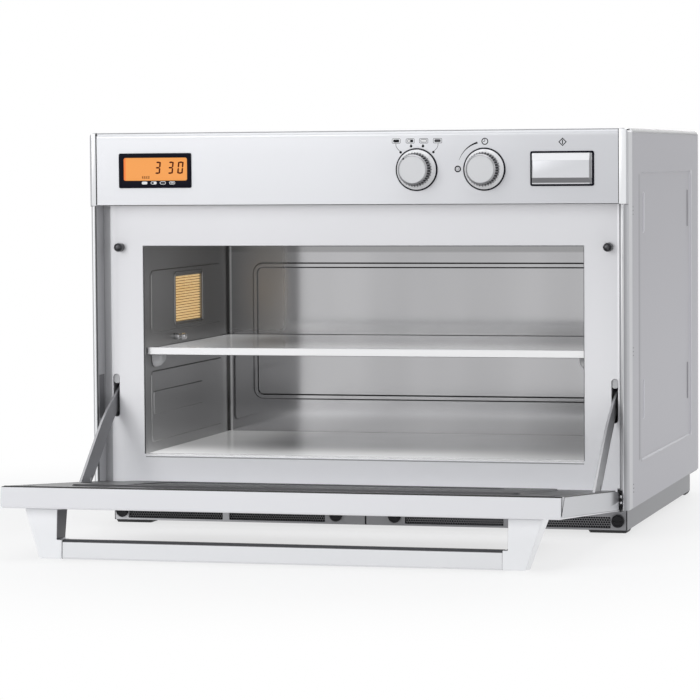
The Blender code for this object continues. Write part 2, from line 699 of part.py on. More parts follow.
def filter_panel():
    """Right air filter panel: a thin moulding with two slotted windows and two screw holes."""
    x = (FILTER_SPLIT, PLINTH_HALF)
    z = (PLINTH_BOTTOM + SEAT_GAP, PLINTH_TOP - PLINTH_SHEET - SEAT_GAP)
    y = (PLINTH_RECESS, PLINTH_RECESS + FILTER_THICKNESS)
    panel = soft_prism(x, z, FILTER_RIM, "Y", y, steps=2)
    low = z[0] + FILTER_RIM
    high = z[1] - WINDOW_LIP + PLINTH_SHEET
    start = WINDOW_INSET
    end = PLINTH_HALF - WINDOW_END
    middle = (start + end) / 2
    through = (y[0] - OVERRUN, y[1] + OVERRUN)
    holes = []
    for left, right in ((start, middle - WINDOW_SPLIT / 2), (middle + WINDOW_SPLIT / 2, end)):
        count = int((right - left) / SLOT_PITCH)
        for k in range(count):
            centre = left + (right - left) * (k + 1 / 2) / count
            holes.append(block((centre - SLOT_WIDTH / 2, centre + SLOT_WIDTH / 2), through, (low, high)))
    for at in (SCREW_INNER, PLINTH_HALF - SCREW_OUTER):
        centre = (at, PLINTH_BOTTOM + SCREW_LIFT)
        holes.append(rod("Y", centre, SCREW_SHANK_RADIUS + RUNNING_GAP, through, SMALL_STEPS))
    return cut(panel, group(holes))


def thumb_screw(at):
    """A knurled black screw with a slot, which a coin or a hand turns."""
    front = PLINTH_RECESS - SEAT_GAP
    centre = (at, PLINTH_BOTTOM + SCREW_LIFT)
    rim = SCREW_SLOT_WIDTH / 2
    profile = [(SCREW_HEAD_RADIUS - rim, front - SCREW_HEAD_HEIGHT),
               (SCREW_HEAD_RADIUS, front - SCREW_HEAD_HEIGHT + rim),
               (SCREW_HEAD_RADIUS, front), (SCREW_SHANK_RADIUS, front),
               (SCREW_SHANK_RADIUS, PLINTH_FRONT + PLINTH_SHEET + SCREW_HEAD_HEIGHT)]
    head = turned(profile, "Y", centre, MEDIUM_STEPS)
    slot = block((at - SCREW_HEAD_RADIUS - OVERRUN, at + SCREW_HEAD_RADIUS + OVERRUN),
                 (front - SCREW_HEAD_HEIGHT - OVERRUN, front - SCREW_HEAD_HEIGHT + SCREW_SLOT_DEPTH),
                 (centre[1] - SCREW_SLOT_WIDTH / 2, centre[1] + SCREW_SLOT_WIDTH / 2))
    return cut(head, slot)


def cover_outline(inset):
    """The wrapper's front view: two sides and a top with bent corners, drawn in by an inset."""
    half = CASE_HALF - inset
    top = CASE_TOP - inset
    bend = COVER_BEND - inset
    points = [(half, COVER_BOTTOM)]
    for side in (1, -1):
        for k in range(CORNER_STEPS + 1):
            turn = math.pi / 2 * (k / CORNER_STEPS) if side > 0 else math.pi / 2 * (1 + k / CORNER_STEPS)
            points.append((side * (half - bend) + bend * math.cos(turn), top - bend + bend * math.sin(turn)))
    points.append((-half, COVER_BOTTOM))
    return points


def case_cover():
    """The wrapper: one bent sheet with a pressed-in panel and four upright beads on each side."""
    outer = cover_outline(0)
    inner = cover_outline(CASE_SHEET)
    wrapper = prism(outer + inner[::-1], "Y", (COVER_FRONT, CASE_REAR))
    y = (COVER_FRONT + SIDE_PRESS_FRONT, CASE_REAR - SIDE_PRESS_REAR)
    z = (COVER_BOTTOM + SIDE_PRESS_BOTTOM, CASE_TOP - SIDE_PRESS_TOP)
    wall = CASE_HALF - CASE_SHEET
    slope = SIDE_PRESS_DEPTH
    backing = frustum(y, z, SIDE_PRESS_CORNER, "X", wall + CASE_SHEET / 2, wall - SIDE_PRESS_DEPTH, slope)
    shift = CASE_SHEET / 2
    hollow = frustum((y[0] + shift, y[1] - shift), (z[0] + shift, z[1] - shift), SIDE_PRESS_CORNER, "X",
                     CASE_HALF + CASE_SHEET / 2, CASE_HALF - SIDE_PRESS_DEPTH, slope)
    floor = CASE_HALF - SIDE_PRESS_DEPTH
    beads = []
    for across in (y[0] + SIDE_BEAD_INSET, y[1] - SIDE_BEAD_INSET + SIDE_BEAD_WIDTH):
        for low in (z[0] + SIDE_BEAD_END, z[1] - SIDE_BEAD_END / 2 - SIDE_BEAD_LENGTH):
            beads.append(frustum((across - SIDE_BEAD_WIDTH / 2, across + SIDE_BEAD_WIDTH / 2),
                                 (low, low + SIDE_BEAD_LENGTH), SIDE_BEAD_WIDTH / 2, "X",
                                 floor - CASE_SHEET / 2, floor + SIDE_BEAD_RISE, SIDE_BEAD_WIDTH / 4, 2))
    beads = group(beads)
    wrapper = join(wrapper, group([mirrored(backing), backing]))
    wrapper = cut(wrapper, group([mirrored(hollow), hollow]))
    return join(wrapper, group([mirrored(beads), beads]))


def post_outline(edge, front, rear_strip):
    """Plan of the right post: gutter strip, recess wall, front lip, side strip and cover flange."""
    t = CASE_SHEET
    side = CASE_HALF
    lip = POST_INNER
    points = []
    if rear_strip:
        points += [(PLATE_HALF - GUTTER_LAP, GUTTER_REAR), (PLATE_HALF - GUTTER_LAP, GUTTER_FRONT),
                   (lip, GUTTER_FRONT)]
    else:
        points += [(lip, FRAME_DEPTH)]
    points += [(lip, front + CAP_EDGE), (lip + CAP_EDGE, front)]
    for k in range(CORNER_STEPS + 1):
        turn = math.pi / 2 * (1 - k / CORNER_STEPS)
        points.append((side - edge + edge * math.cos(turn), front + edge - edge * math.sin(turn)))
    flange = side - t - SEAT_GAP
    points += [(side, FRAME_DEPTH), (flange, FRAME_DEPTH), (flange, FRAME_DEPTH + FLANGE_REACH),
               (flange - t, FRAME_DEPTH + FLANGE_REACH), (flange - t, FRAME_DEPTH - t),
               (side - t, FRAME_DEPTH - t)]
    bend = max(edge - t, MIN_CORNER)
    for k in range(CORNER_STEPS + 1):
        turn = math.pi / 2 * (k / CORNER_STEPS)
        points.append((side - t - bend + bend * math.cos(turn), front + t + bend - bend * math.sin(turn)))
    points.append((lip + t, front + t))
    points.append((lip + t, GUTTER_REAR if rear_strip else FRAME_DEPTH))
    return points


def front_frame():
    """The two posts beside the door with their end caps, and the rails that tie them."""
    lower = prism(post_outline(POST_EDGE, 0, True), "Z", (COVER_BOTTOM, PANEL_BOTTOM))
    cap_top = CASE_TOP
    upper = prism(post_outline(CAP_EDGE * 2, -CAP_PROUD, False), "Z", (PANEL_BOTTOM - CASE_SHEET, cap_top))
    right = join(lower, upper)
    lid = block((POST_INNER, CASE_HALF), (-CAP_PROUD, FRAME_DEPTH), (cap_top - CASE_SHEET, cap_top))
    right = join(right, lid)
    silhouette = prism(cover_outline(0), "Y", (-OVERRUN, GUTTER_REAR + FLANGE_REACH))
    right = cross(right, silhouette)
    under_cover = block((POST_INNER, CASE_HALF + OVERRUN),
                        (FRAME_DEPTH, GUTTER_REAR + FLANGE_REACH + OVERRUN),
                        (cap_top - COVER_BEND * 2, cap_top + OVERRUN))
    right = cut(right, under_cover)
    reach = POST_INNER + CASE_SHEET / 2
    rail_y = (GUTTER_FRONT, GUTTER_REAR)
    low_rail = block((-reach, reach), (rail_y[0], rail_y[1] + FLANGE_REACH),
                     (COVER_BOTTOM, COVER_BOTTOM + CASE_SHEET))
    face_rail = block((-reach, reach), rail_y, (COVER_BOTTOM, COVER_BOTTOM + FLANGE_REACH))
    high_rail = block((-reach, reach), rail_y, (PANEL_BOTTOM - FLANGE_REACH, PANEL_BOTTOM - CASE_SHEET))
    left = mirrored(right)
    return join(right, low_rail, face_rail, high_rail, left)


def face_plate():
    """The plate around the cavity opening, with slots for the door arms and holes for the catch studs."""
    bottom = COVER_BOTTOM + CASE_SHEET + SEAT_GAP
    y = (PLATE_RECESS, PLATE_REAR)
    through = (y[0] - OVERRUN, y[1] + OVERRUN)
    plate = block((-PLATE_HALF, PLATE_HALF), y, (bottom, PANEL_BOTTOM - CASE_SHEET))
    holes = [soft_prism((-OPENING_HALF, OPENING_HALF), (OPENING_BOTTOM, OPENING_TOP), OPENING_CORNER, "Y",
                        through)]
    for side in (-1, 1):
        slot = sorted((side * (ARM_X - ARM_SLOT_HALF), side * (ARM_X + ARM_SLOT_HALF)))
        holes.append(soft_prism(slot, (SLOT_BOTTOM, SLOT_TOP), ARM_SLOT_HALF, "Y", through))
        holes.append(rod("Y", (side * STUD_X, STUD_Z), STUD_SHANK_RADIUS + RUNNING_GAP, through))
    return cut(plate, group(holes))


def catch_stud():
    """Right catch stud: a dark pin with a bullet tip, which works the door switches."""
    front = PLATE_RECESS - SEAT_GAP
    tip = front - STUD_REACH
    profile = [(STUD_RADIUS * math.sin(t), tip + STUD_TIP * (1 - math.cos(t)))
               for t in (math.pi / 8, math.pi / 4, 3 * math.pi / 8, math.pi / 2)]
    profile += [(STUD_RADIUS, front), (STUD_SHANK_RADIUS, front),
                (STUD_SHANK_RADIUS, PLATE_REAR + STUD_SHANK_REACH)]
    return turned(profile, "Y", (STUD_X, STUD_Z), MEDIUM_STEPS)


def arm_guide():
    """Right guide behind the arm slot: a channel folded from sheet, on the rear of the face plate."""
    outer = ARM_SLOT_HALF + GUIDE_SHEET
    start = PLATE_REAR + SEAT_GAP
    tail = arm_tail_pin_at_rest()
    end = tail.y - ARM_TAIL_PIN_RADIUS - SEAT_GAP
    low, high = SLOT_BOTTOM - GUIDE_DROP, SLOT_TOP + GUIDE_RISE
    shell = block((ARM_X - outer, ARM_X + outer), (start, end), (low, high))
    bore = block((ARM_X - ARM_SLOT_HALF, ARM_X + ARM_SLOT_HALF), (start - OVERRUN, end + OVERRUN),
                 (low + GUIDE_SHEET, high - GUIDE_SHEET))
    return cut(shell, bore)


def well(half, y, margin, z):
    """The shallow well above or below the cavity in which a stirrer turns."""
    return block((-half + margin, half - margin), (y[0] + margin, y[1] - margin), z)


def cavity_liner():
    """The steel cavity: five walls with pressed frames, a well for each stirrer and the lamp window."""
    t = LINER_SHEET
    half = LINER_HALF
    y = (LINER_FRONT, LINER_REAR)
    z = (LINER_FLOOR, LINER_CEILING)
    lower = (WELL_FLOOR, LINER_FLOOR)
    upper = (LINER_CEILING, WELL_CEILING)
    outside = join(block((-half - t, half + t), (y[0], y[1] + t), (z[0] - t, z[1] + t)),
                   well(half + t, (y[0] - t, y[1] + t), WELL_MARGIN, (lower[0] - t, lower[1])),
                   well(half + t, (y[0] - t, y[1] + t), WELL_MARGIN, (upper[0], upper[1] + t)))
    inside = join(block((-half, half), (y[0] - OVERRUN, y[1]), z),
                  well(half, y, WELL_MARGIN, (lower[0], lower[1] + OVERRUN)),
                  well(half, y, WELL_MARGIN, (upper[0] - OVERRUN, upper[1])))
    liner = cut(outside, inside)
    liner = join(liner, back_ridge(), *[mirrored(pad) for pad in side_pads()], *side_pads())
    liner = join(liner, lamp_border())
    through = (-half - t - OVERRUN, -half + FRAME_RISE + t + OVERRUN)
    window = soft_prism(*lamp_window(), LAMP_BORDER / 2, "X", through, steps=2)
    ports = [rod("Z", (0, STIRRER_Y), PORT_RADIUS, (lower[0] - t - OVERRUN, lower[0] + OVERRUN)),
             rod("Z", (0, STIRRER_Y), PORT_RADIUS, (upper[1] - OVERRUN, upper[1] + t + OVERRUN))]
    for side in (-1, 1):
        wall = sorted((side * (half - OVERRUN), side * (half + t + OVERRUN)))
        hole = STOP_PIN_NECK + RUNNING_GAP
        ports.append(rod("X", (LINER_FRONT + STOP_PIN_DEPTH, stop_pin_level()), hole, wall, SMALL_STEPS))
    return cut(liner, window, group(ports))


def back_ridge():
    """The raised band on the rear wall."""
    x = (-OPENING_HALF + BACK_RIDGE_SIDE_MARGIN, OPENING_HALF - BACK_RIDGE_SIDE_MARGIN)
    z = (OPENING_BOTTOM + BACK_RIDGE_BOTTOM_MARGIN, OPENING_TOP - BACK_RIDGE_TOP_MARGIN)
    return ridge(x, z, BACK_RIDGE_CORNER, BACK_RIDGE_WIDTH, "Y", LINER_REAR + LINER_SHEET / 2,
                 LINER_REAR - BACK_RIDGE_RISE)


def side_pads():
    """Raised panels of the left wall: around the lamp, below the shelf and a smaller one upon that."""
    wall = -LINER_HALF - LINER_SHEET / 2
    rise = -LINER_HALF + FRAME_RISE
    y = (LINER_FRONT + PAD_FRONT_MARGIN, LINER_REAR - PAD_REAR_MARGIN)
    z = (SHELF_TOP + PAD_SHELF_GAP, OPENING_TOP - PAD_TOP_MARGIN)
    upper = frustum(y, z, PAD_CORNER, "X", wall, rise, FRAME_SLOPE)
    y = (y[0] - LOWER_PAD_REACH, y[1] + LOWER_PAD_REACH)
    z = (OPENING_BOTTOM + LOWER_PAD_FLOOR_GAP, SHELF_BOTTOM - SUPPORT_HEIGHT - LOWER_PAD_TOP_GAP)
    lower = frustum(y, z, PAD_CORNER, "X", wall, rise, FRAME_SLOPE)
    y = (LINER_FRONT + INNER_PAD_FRONT, LINER_FRONT + INNER_PAD_FRONT + INNER_PAD_LENGTH)
    z = (OPENING_BOTTOM + INNER_PAD_LIFT, OPENING_BOTTOM + INNER_PAD_LIFT + INNER_PAD_HEIGHT)
    inner = frustum(y, z, PAD_CORNER / 2, "X", wall, rise + FRAME_RISE, FRAME_SLOPE)
    return [join(upper, lower, inner)]


def lamp_window():
    """The lamp opening as its Y and Z ranges."""
    y = (LINER_FRONT + LAMP_FRONT + LAMP_BORDER, LINER_FRONT + LAMP_FRONT + LAMP_WIDTH - LAMP_BORDER)
    z = (OPENING_BOTTOM + LAMP_BOTTOM + LAMP_BORDER, OPENING_BOTTOM + LAMP_BOTTOM + LAMP_HEIGHT - LAMP_BORDER)
    return y, z


def lamp_border():
    """The raised frame around the lamp opening."""
    (y0, y1), (z0, z1) = lamp_window()
    edge = LAMP_BORDER
    wall = -LINER_HALF - LINER_SHEET / 2
    return ridge((y0 - edge, y1 + edge), (z0 - edge, z1 + edge), edge, edge * 3 / 4, "X", wall,
                 -LINER_HALF + FRAME_RISE * 2, 2)


def lamp_cover():
    """The ribbed lamp glass, behind its window."""
    (y0, y1), (z0, z1) = lamp_window()
    lap = LAMP_BORDER - SEAT_GAP
    crest = -LINER_HALF - LINER_SHEET - SEAT_GAP
    valley = crest - LAMP_RIB_RISE
    rear = valley - LAMP_GLASS
    pitch = (z1 - z0) / LAMP_RIBS
    points = [(rear, z0 - lap), (crest, z0 - lap)]
    for k in range(LAMP_RIBS):
        base = z0 + pitch * k
        points += [(valley, base + pitch * RIB_VALLEY_SHARE), (crest, base + pitch * (1 - RIB_VALLEY_SHARE))]
    points += [(crest, z1 + lap), (rear, z1 + lap)]
    return prism(points, "Y", (y0 - lap, y1 + lap))


def oven_lamp():
    """Lamp with its dished reflector and socket behind the ribbed glass."""
    (y0, y1), (z0, z1) = lamp_window()
    centre = ((y0 + y1) / 2, (z0 + z1) / 2)
    mouth = -LINER_HALF - LINER_SHEET - SEAT_GAP - LAMP_RIB_RISE - LAMP_GLASS - SEAT_GAP
    back = mouth - LAMP_DISH_DEPTH
    t = LAMP_DISH_SHEET
    socket = LAMP_SOCKET_RADIUS
    bulb = LAMP_BULB_RADIUS
    neck = bulb * BULB_NECK_SHARE
    profile = [(bulb * math.sin(a), mouth - t - bulb * (1 - math.cos(a)))
               for a in (math.pi / 8, math.pi / 4, math.pi / 2, 3 * math.pi / 4)]
    profile += [(neck, back + t), (socket, back + t), (LAMP_DISH_RADIUS, mouth),
                (LAMP_DISH_RADIUS + t, mouth),
                (socket + t, back), (socket, back), (socket, back - LAMP_SOCKET_DEPTH)]
    return turned(profile, "X", centre, MEDIUM_STEPS)


def ceramic_floor():
    """The sealed ceramic plate over the lower stirrer."""
    half = LINER_HALF - SEAT_GAP
    y = (LINER_FRONT, LINER_REAR - SEAT_GAP)
    return soft_prism((-half, half), y, OPENING_CORNER, "Z", (FLOOR_BOTTOM, FLOOR_TOP),
                      rim_high=SHELF_EDGE / 2)


def ceiling_plate():
    """The removable splash plate under the upper stirrer."""
    half = LINER_HALF - SEAT_GAP
    y = (LINER_FRONT, LINER_REAR - CEILING_MARGIN)
    return soft_prism((-half, half), y, CEILING_MARGIN, "Z", (CEILING_BOTTOM, CEILING_TOP))


def shelf():
    """The ceramic middle shelf, with soft edges and rounded corners."""
    half = LINER_HALF - SHELF_SIDE_GAP
    y = (SHELF_FRONT, LINER_REAR - SHELF_REAR_GAP)
    return soft_prism((-half, half), y, SHELF_CORNER, "Z", (SHELF_BOTTOM, SHELF_TOP), SHELF_EDGE, SHELF_EDGE)


def shelf_support(centre_y):
    """Right shelf support: a tongue that narrows downwards and away from the wall."""
    wall = LINER_HALF - SEAT_GAP
    top = SHELF_BOTTOM - SEAT_GAP
    half = SUPPORT_WIDTH / 2
    outline = [(-half, 0), (half, 0)]
    for k in range(CORNER_STEPS * 2 + 1):
        turn = math.pi * k / (CORNER_STEPS * 2)
        outline.append((half * math.cos(turn), -SUPPORT_HEIGHT * (1 / 5 + 4 / 5 * math.sin(turn))))
    loops = []
    for reach, share in ((0, 1), (SUPPORT_REACH * 2 / 3, SUPPORT_SIDE_SHARE),
                         (SUPPORT_REACH, SUPPORT_TIP_SHARE)):
        loops.append([Vector((wall - reach, centre_y + a * share, top + b * share)) for a, b in outline])
    return loft(loops)


def stop_pin_level():
    """Height of the pins that keep the shelf from tipping."""
    return SHELF_TOP + STOP_PIN_LIFT + STOP_PIN_RADIUS


def shelf_pin():
    """Right pin over the shelf, with a waist and a shank through the wall."""
    wall = LINER_HALF - SEAT_GAP
    tip = wall - STOP_PIN_REACH
    r = STOP_PIN_RADIUS
    profile = [(r - SHELF_EDGE / 2, tip), (r, tip + SHELF_EDGE / 2), (r, tip + STOP_PIN_REACH / 3),
               (STOP_PIN_NECK, tip + STOP_PIN_REACH / 2), (STOP_PIN_NECK, wall - STOP_PIN_REACH / 4),
               (r, wall - STOP_PIN_REACH / 4),
               (r, wall), (STOP_PIN_NECK, wall), (STOP_PIN_NECK, LINER_HALF + STOP_PIN_SHANK)]
    return turned(profile, "X", (LINER_FRONT + STOP_PIN_DEPTH, stop_pin_level()), SMALL_STEPS)


def control_panel():
    """The moulded fascia: a skin with a rounded top edge, returns and bosses for the board behind it."""
    half = POST_INNER - SEAT_GAP
    z = (PANEL_BOTTOM, CASE_TOP)
    skin = PANEL_SKIN
    rim = PANEL_EDGE
    outline = [(0, z[0]), (FRAME_DEPTH, z[0]), (FRAME_DEPTH, z[0] + skin), (skin, z[0] + skin)]
    inner = max(rim - skin, MIN_CORNER)
    for k in range(CORNER_STEPS + 1):
        turn = math.pi / 2 * (k / CORNER_STEPS)
        outline.append((skin + inner * (1 - math.cos(turn)), z[1] - skin - inner * (1 - math.sin(turn))))
    outline += [(FRAME_DEPTH, z[1] - skin), (FRAME_DEPTH, z[1])]
    for k in range(CORNER_STEPS + 1):
        turn = math.pi / 2 * (k / CORNER_STEPS)
        outline.append((rim * (1 - math.sin(turn)), z[1] - rim * (1 - math.cos(turn))))
    fascia = prism(outline, "X", (-half, half))
    bosses = []
    for at in board_bosses():
        bosses.append(rod("Y", at, PANEL_BOSS_RADIUS, (skin / 2, BOARD_SETBACK - SEAT_GAP), SMALL_STEPS))
    fascia = join(fascia, group(bosses))
    through = (-OVERRUN, skin + OVERRUN)
    (dx, dz), (bx, bz) = display_body(), button_body()
    holes = [soft_prism(dx, dz, DISPLAY_CORNER, "Y", through),
             soft_prism(bx, bz, DISPLAY_CORNER, "Y", through)]
    for at in (POWER_KNOB_X, TIMER_KNOB_X):
        holes.append(rod("Y", (at, KNOB_Z), KNOB_SHAFT_RADIUS + RUNNING_GAP * 2, through, SMALL_STEPS))
    return cut(fascia, group(holes))


def board_bosses():
    """Where the control board is fastened behind the fascia."""
    low = PANEL_BOTTOM + BOARD_MARGIN + PANEL_BOSS_RADIUS
    high = CASE_TOP - BOARD_MARGIN - PANEL_BOSS_RADIUS
    left = DISPLAY_LEFT - PANEL_BOSS_RADIUS * 2
    right = BUTTON_LEFT + BUTTON_FRAME_WIDTH + PANEL_BOSS_RADIUS * 2
    return [(x, z) for x in (left, 0, right) for z in (low, high)]


def display_body():
    """The hole in the fascia that the display surround's body passes."""
    z = PANEL_BOTTOM + DISPLAY_LIFT
    edge = DISPLAY_PROUD
    return ((DISPLAY_LEFT + edge, DISPLAY_LEFT + DISPLAY_WIDTH - edge), (z + edge, z + DISPLAY_HEIGHT - edge))


def button_body():
    """The hole in the fascia that the button surround's body passes."""
    z = PANEL_BOTTOM + BUTTON_LIFT
    edge = BUTTON_BORDER / 2
    return ((BUTTON_LEFT + edge, BUTTON_LEFT + BUTTON_FRAME_WIDTH - edge),
            (z + edge, z + BUTTON_FRAME_HEIGHT - edge))


def surround(face, body, window, proud, depth):
    """A black frame that sits in the fascia: a rim in front, a body through the hole, and a window."""
    rim = soft_prism(*face, DISPLAY_CORNER, "Y", (-proud, -SEAT_GAP), rim_low=proud / 3)
    inner = [(ends[0] + SEAT_GAP, ends[1] - SEAT_GAP) for ends in body]
    shank = soft_prism(*inner, DISPLAY_CORNER, "Y", (-SEAT_GAP - proud / 3, depth))
    through = (-proud - OVERRUN, depth + OVERRUN)
    return cut(join(rim, shank), soft_prism(*window, DISPLAY_CORNER / 2, "Y", through))


def display_window():
    """The window of the display surround."""
    z = PANEL_BOTTOM + DISPLAY_LIFT
    x = (DISPLAY_LEFT + DISPLAY_BORDER, DISPLAY_LEFT + DISPLAY_WIDTH - DISPLAY_BORDER)
    return x, (z + DISPLAY_SILL, z + DISPLAY_HEIGHT - DISPLAY_BORDER)


def display_bezel():
    """Black display surround."""
    z = PANEL_BOTTOM + DISPLAY_LIFT
    face = ((DISPLAY_LEFT, DISPLAY_LEFT + DISPLAY_WIDTH), (z, z + DISPLAY_HEIGHT))
    return surround(face, display_body(), display_window(), DISPLAY_PROUD, DISPLAY_BODY)


def display_glass():
    """Amber display glass in its surround."""
    x, z = [(ends[0] + SEAT_GAP, ends[1] - SEAT_GAP) for ends in display_window()]
    front = -DISPLAY_PROUD + GLASS_SINK
    return soft_prism(x, z, DISPLAY_CORNER / 2, "Y", (front, front + GLASS_THICKNESS))


def button_window():
    """The window of the button surround."""
    z = PANEL_BOTTOM + BUTTON_LIFT
    edge = BUTTON_BORDER
    return ((BUTTON_LEFT + edge, BUTTON_LEFT + BUTTON_FRAME_WIDTH - edge),
            (z + edge, z + BUTTON_FRAME_HEIGHT - edge))


def button_bezel():
    """Black surround of the start button."""
    z = PANEL_BOTTOM + BUTTON_LIFT
    face = ((BUTTON_LEFT, BUTTON_LEFT + BUTTON_FRAME_WIDTH), (z, z + BUTTON_FRAME_HEIGHT))
    return surround(face, button_body(), button_window(), DISPLAY_PROUD, DISPLAY_BODY)


def start_button():
    """Wide start button: a bevelled face, a skirt and the stem that presses the switch."""
    (x0, x1), (z0, z1) = [(ends[0] + BUTTON_GAP, ends[1] - BUTTON_GAP) for ends in button_window()]
    front = -BUTTON_RISE
    loops = []
    for height, side, top, low in ((BUTTON_BODY, 0, 0, 0), (-DISPLAY_PROUD, 0, 0, 0),
                                   (front, BUTTON_SIDE_SLOPE, BUTTON_TOP_SLOPE, BUTTON_BOTTOM_SLOPE)):
        outline = rounded((x0 + side, x1 - side), (z0 + low, z1 - top), DISPLAY_CORNER / 4, 1)
        loops.append([spot("Y", a, b, height) for a, b in outline])
    middle = ((x0 + x1) / 2, (z0 + z1) / 2)
    stem = rod("Y", middle, BUTTON_STEM_RADIUS, (0, switch_front() - BUTTON_TRAVEL - SEAT_GAP), SMALL_STEPS)
    return join(loft(loops), stem)


def switch_front():
    """Front of the encoders and of the start switch on the board."""
    return BOARD_SETBACK - BOARD_COMPONENT


def knob(at):
    """A knob: black foot, silver skirt, fluted grip that narrows to a flat cap, and its shaft."""
    count = KNOB_FLUTES * 2
    centre = (at, KNOB_Z)
    front = -SEAT_GAP
    rows = [(KNOB_FOOT_RADIUS, front, 0), (KNOB_FOOT_RADIUS, front - KNOB_FOOT_HEIGHT, 0),
            (KNOB_SKIRT_RADIUS, front - KNOB_FOOT_HEIGHT, 0),
            (KNOB_GRIP_RADIUS + KNOB_FLUTE_DEPTH, front - KNOB_FOOT_HEIGHT - KNOB_SKIRT_HEIGHT, 0),
            (KNOB_GRIP_RADIUS, front - KNOB_FOOT_HEIGHT - KNOB_SKIRT_HEIGHT - KNOB_FLUTE_DEPTH,
             KNOB_FLUTE_DEPTH),
            (KNOB_CAP_RADIUS + KNOB_FLUTE_DEPTH, -KNOB_HEIGHT + KNOB_FLUTE_DEPTH * 2, KNOB_FLUTE_DEPTH),
            (KNOB_CAP_RADIUS, -KNOB_HEIGHT, 0)]
    loops = []
    for radius, height, flute in rows:
        loop = []
        for k in range(count):
            turn = 2 * math.pi * k / count
            r = radius - (flute if k % 2 else 0)
            loop.append(spot("Y", centre[0] + r * math.cos(turn), centre[1] + r * math.sin(turn), height))
        loops.append(loop)
    shaft = rod("Y", centre, KNOB_SHAFT_RADIUS, (front - KNOB_FOOT_HEIGHT, KNOB_SHAFT_REACH), SMALL_STEPS)
    return join(loft(loops), shaft)


def control_board():
    """Printed board with the rotary encoders, the start switch and the display module."""
    half = POST_INNER - BOARD_MARGIN
    z = (PANEL_BOTTOM + BOARD_MARGIN, CASE_TOP - BOARD_MARGIN)
    front = BOARD_SETBACK
    board = block((-half, half), (front, front + BOARD_THICKNESS), z)
    deep = front + BOARD_THICKNESS / 2
    parts = []
    for at in (POWER_KNOB_X, TIMER_KNOB_X):
        size = BOARD_COMPONENT
        start = max(switch_front(), KNOB_SHAFT_REACH + SEAT_GAP)
        parts.append(block((at - size, at + size), (start, deep), (KNOB_Z - size, KNOB_Z + size)))
    (bx, bz), (dx, dz) = button_window(), display_window()
    middle = ((bx[0] + bx[1]) / 2, (bz[0] + bz[1]) / 2)
    size = BOARD_COMPONENT
    parts.append(block((middle[0] - size, middle[0] + size), (switch_front(), deep),
                       (middle[1] - size, middle[1] + size)))
    parts.append(block(dx, (DISPLAY_BODY + SEAT_GAP, deep), dz))
    return join(board, group(parts))


def hinge_bracket():
    """Right hinge bracket: a plate with a round nose, its pin into the door and two screws to the frame."""
    x = (DOOR_HALF + HINGE_PLATE / 2 - SEAT_GAP * 2, DOOR_HALF + HINGE_PLATE * 3 / 2 - SEAT_GAP * 2)
    rear = GUTTER_FRONT - SEAT_GAP
    low = HINGE_Z - HINGE_NOSE
    outline = [(rear, low), (rear, low + HINGE_PLATE_HEIGHT),
               (rear - HINGE_PLATE_DEPTH, low + HINGE_PLATE_HEIGHT)]
    for k in range(CORNER_STEPS * 2 + 1):
        turn = math.pi / 2 * (1 + k / CORNER_STEPS)
        outline.append((HINGE_Y + HINGE_NOSE * math.cos(turn), HINGE_Z + HINGE_NOSE * math.sin(turn)))
    plate = prism(outline, "X", x)
    inward = DOOR_HALF - HINGE_PIN_REACH
    pin = rod("X", (HINGE_Y, HINGE_Z), HINGE_PIN_RADIUS, (inward, (x[0] + x[1]) / 2), SMALL_STEPS)
    screws = []
    for lift in (HINGE_NOSE * 2, HINGE_PLATE_HEIGHT - HINGE_SCREW_RADIUS * 3 / 2):
        centre = (rear - HINGE_SCREW_RADIUS * 2, low + lift)
        screws.append(rod("X", centre, HINGE_SCREW_RADIUS, ((x[0] + x[1]) / 2, POST_INNER - SEAT_GAP),
                          SMALL_STEPS))
    return join(plate, pin, group(screws))


def door_section(inset):
    """Section of the door: a box whose outer skin runs on below the hinge as a lip."""
    front = DOOR_FRONT + inset
    lip_rear = DOOR_FRONT + LIP_THICKNESS - inset
    rear = DOOR_REAR - PANEL_RABBET / 2
    bottom = HINGE_Z - LIP_DROP + inset
    heel = HINGE_Z + HEEL_LIFT + inset
    edge = max(DOOR_EDGE - inset, MIN_CORNER)
    curve = HEEL_CURVE
    top = DOOR_TOP - inset
    points = [(lip_rear, bottom)]
    for k in range(CORNER_STEPS + 1):
        turn = math.pi / 2 * (1 - k / CORNER_STEPS)
        points.append((lip_rear + curve * (1 - math.sin(turn)), heel + curve * (1 - math.cos(turn))))
    points += [(rear, heel + curve), (rear, top)]
    for corner, (cy, cz) in enumerate(((front + edge, top - edge), (front + edge, bottom + edge))):
        for k in range(CORNER_STEPS + 1):
            turn = math.pi / 2 * (1 + corner + k / CORNER_STEPS)
            points.append((cy + edge * math.cos(turn), cz + edge * math.sin(turn)))
    return points


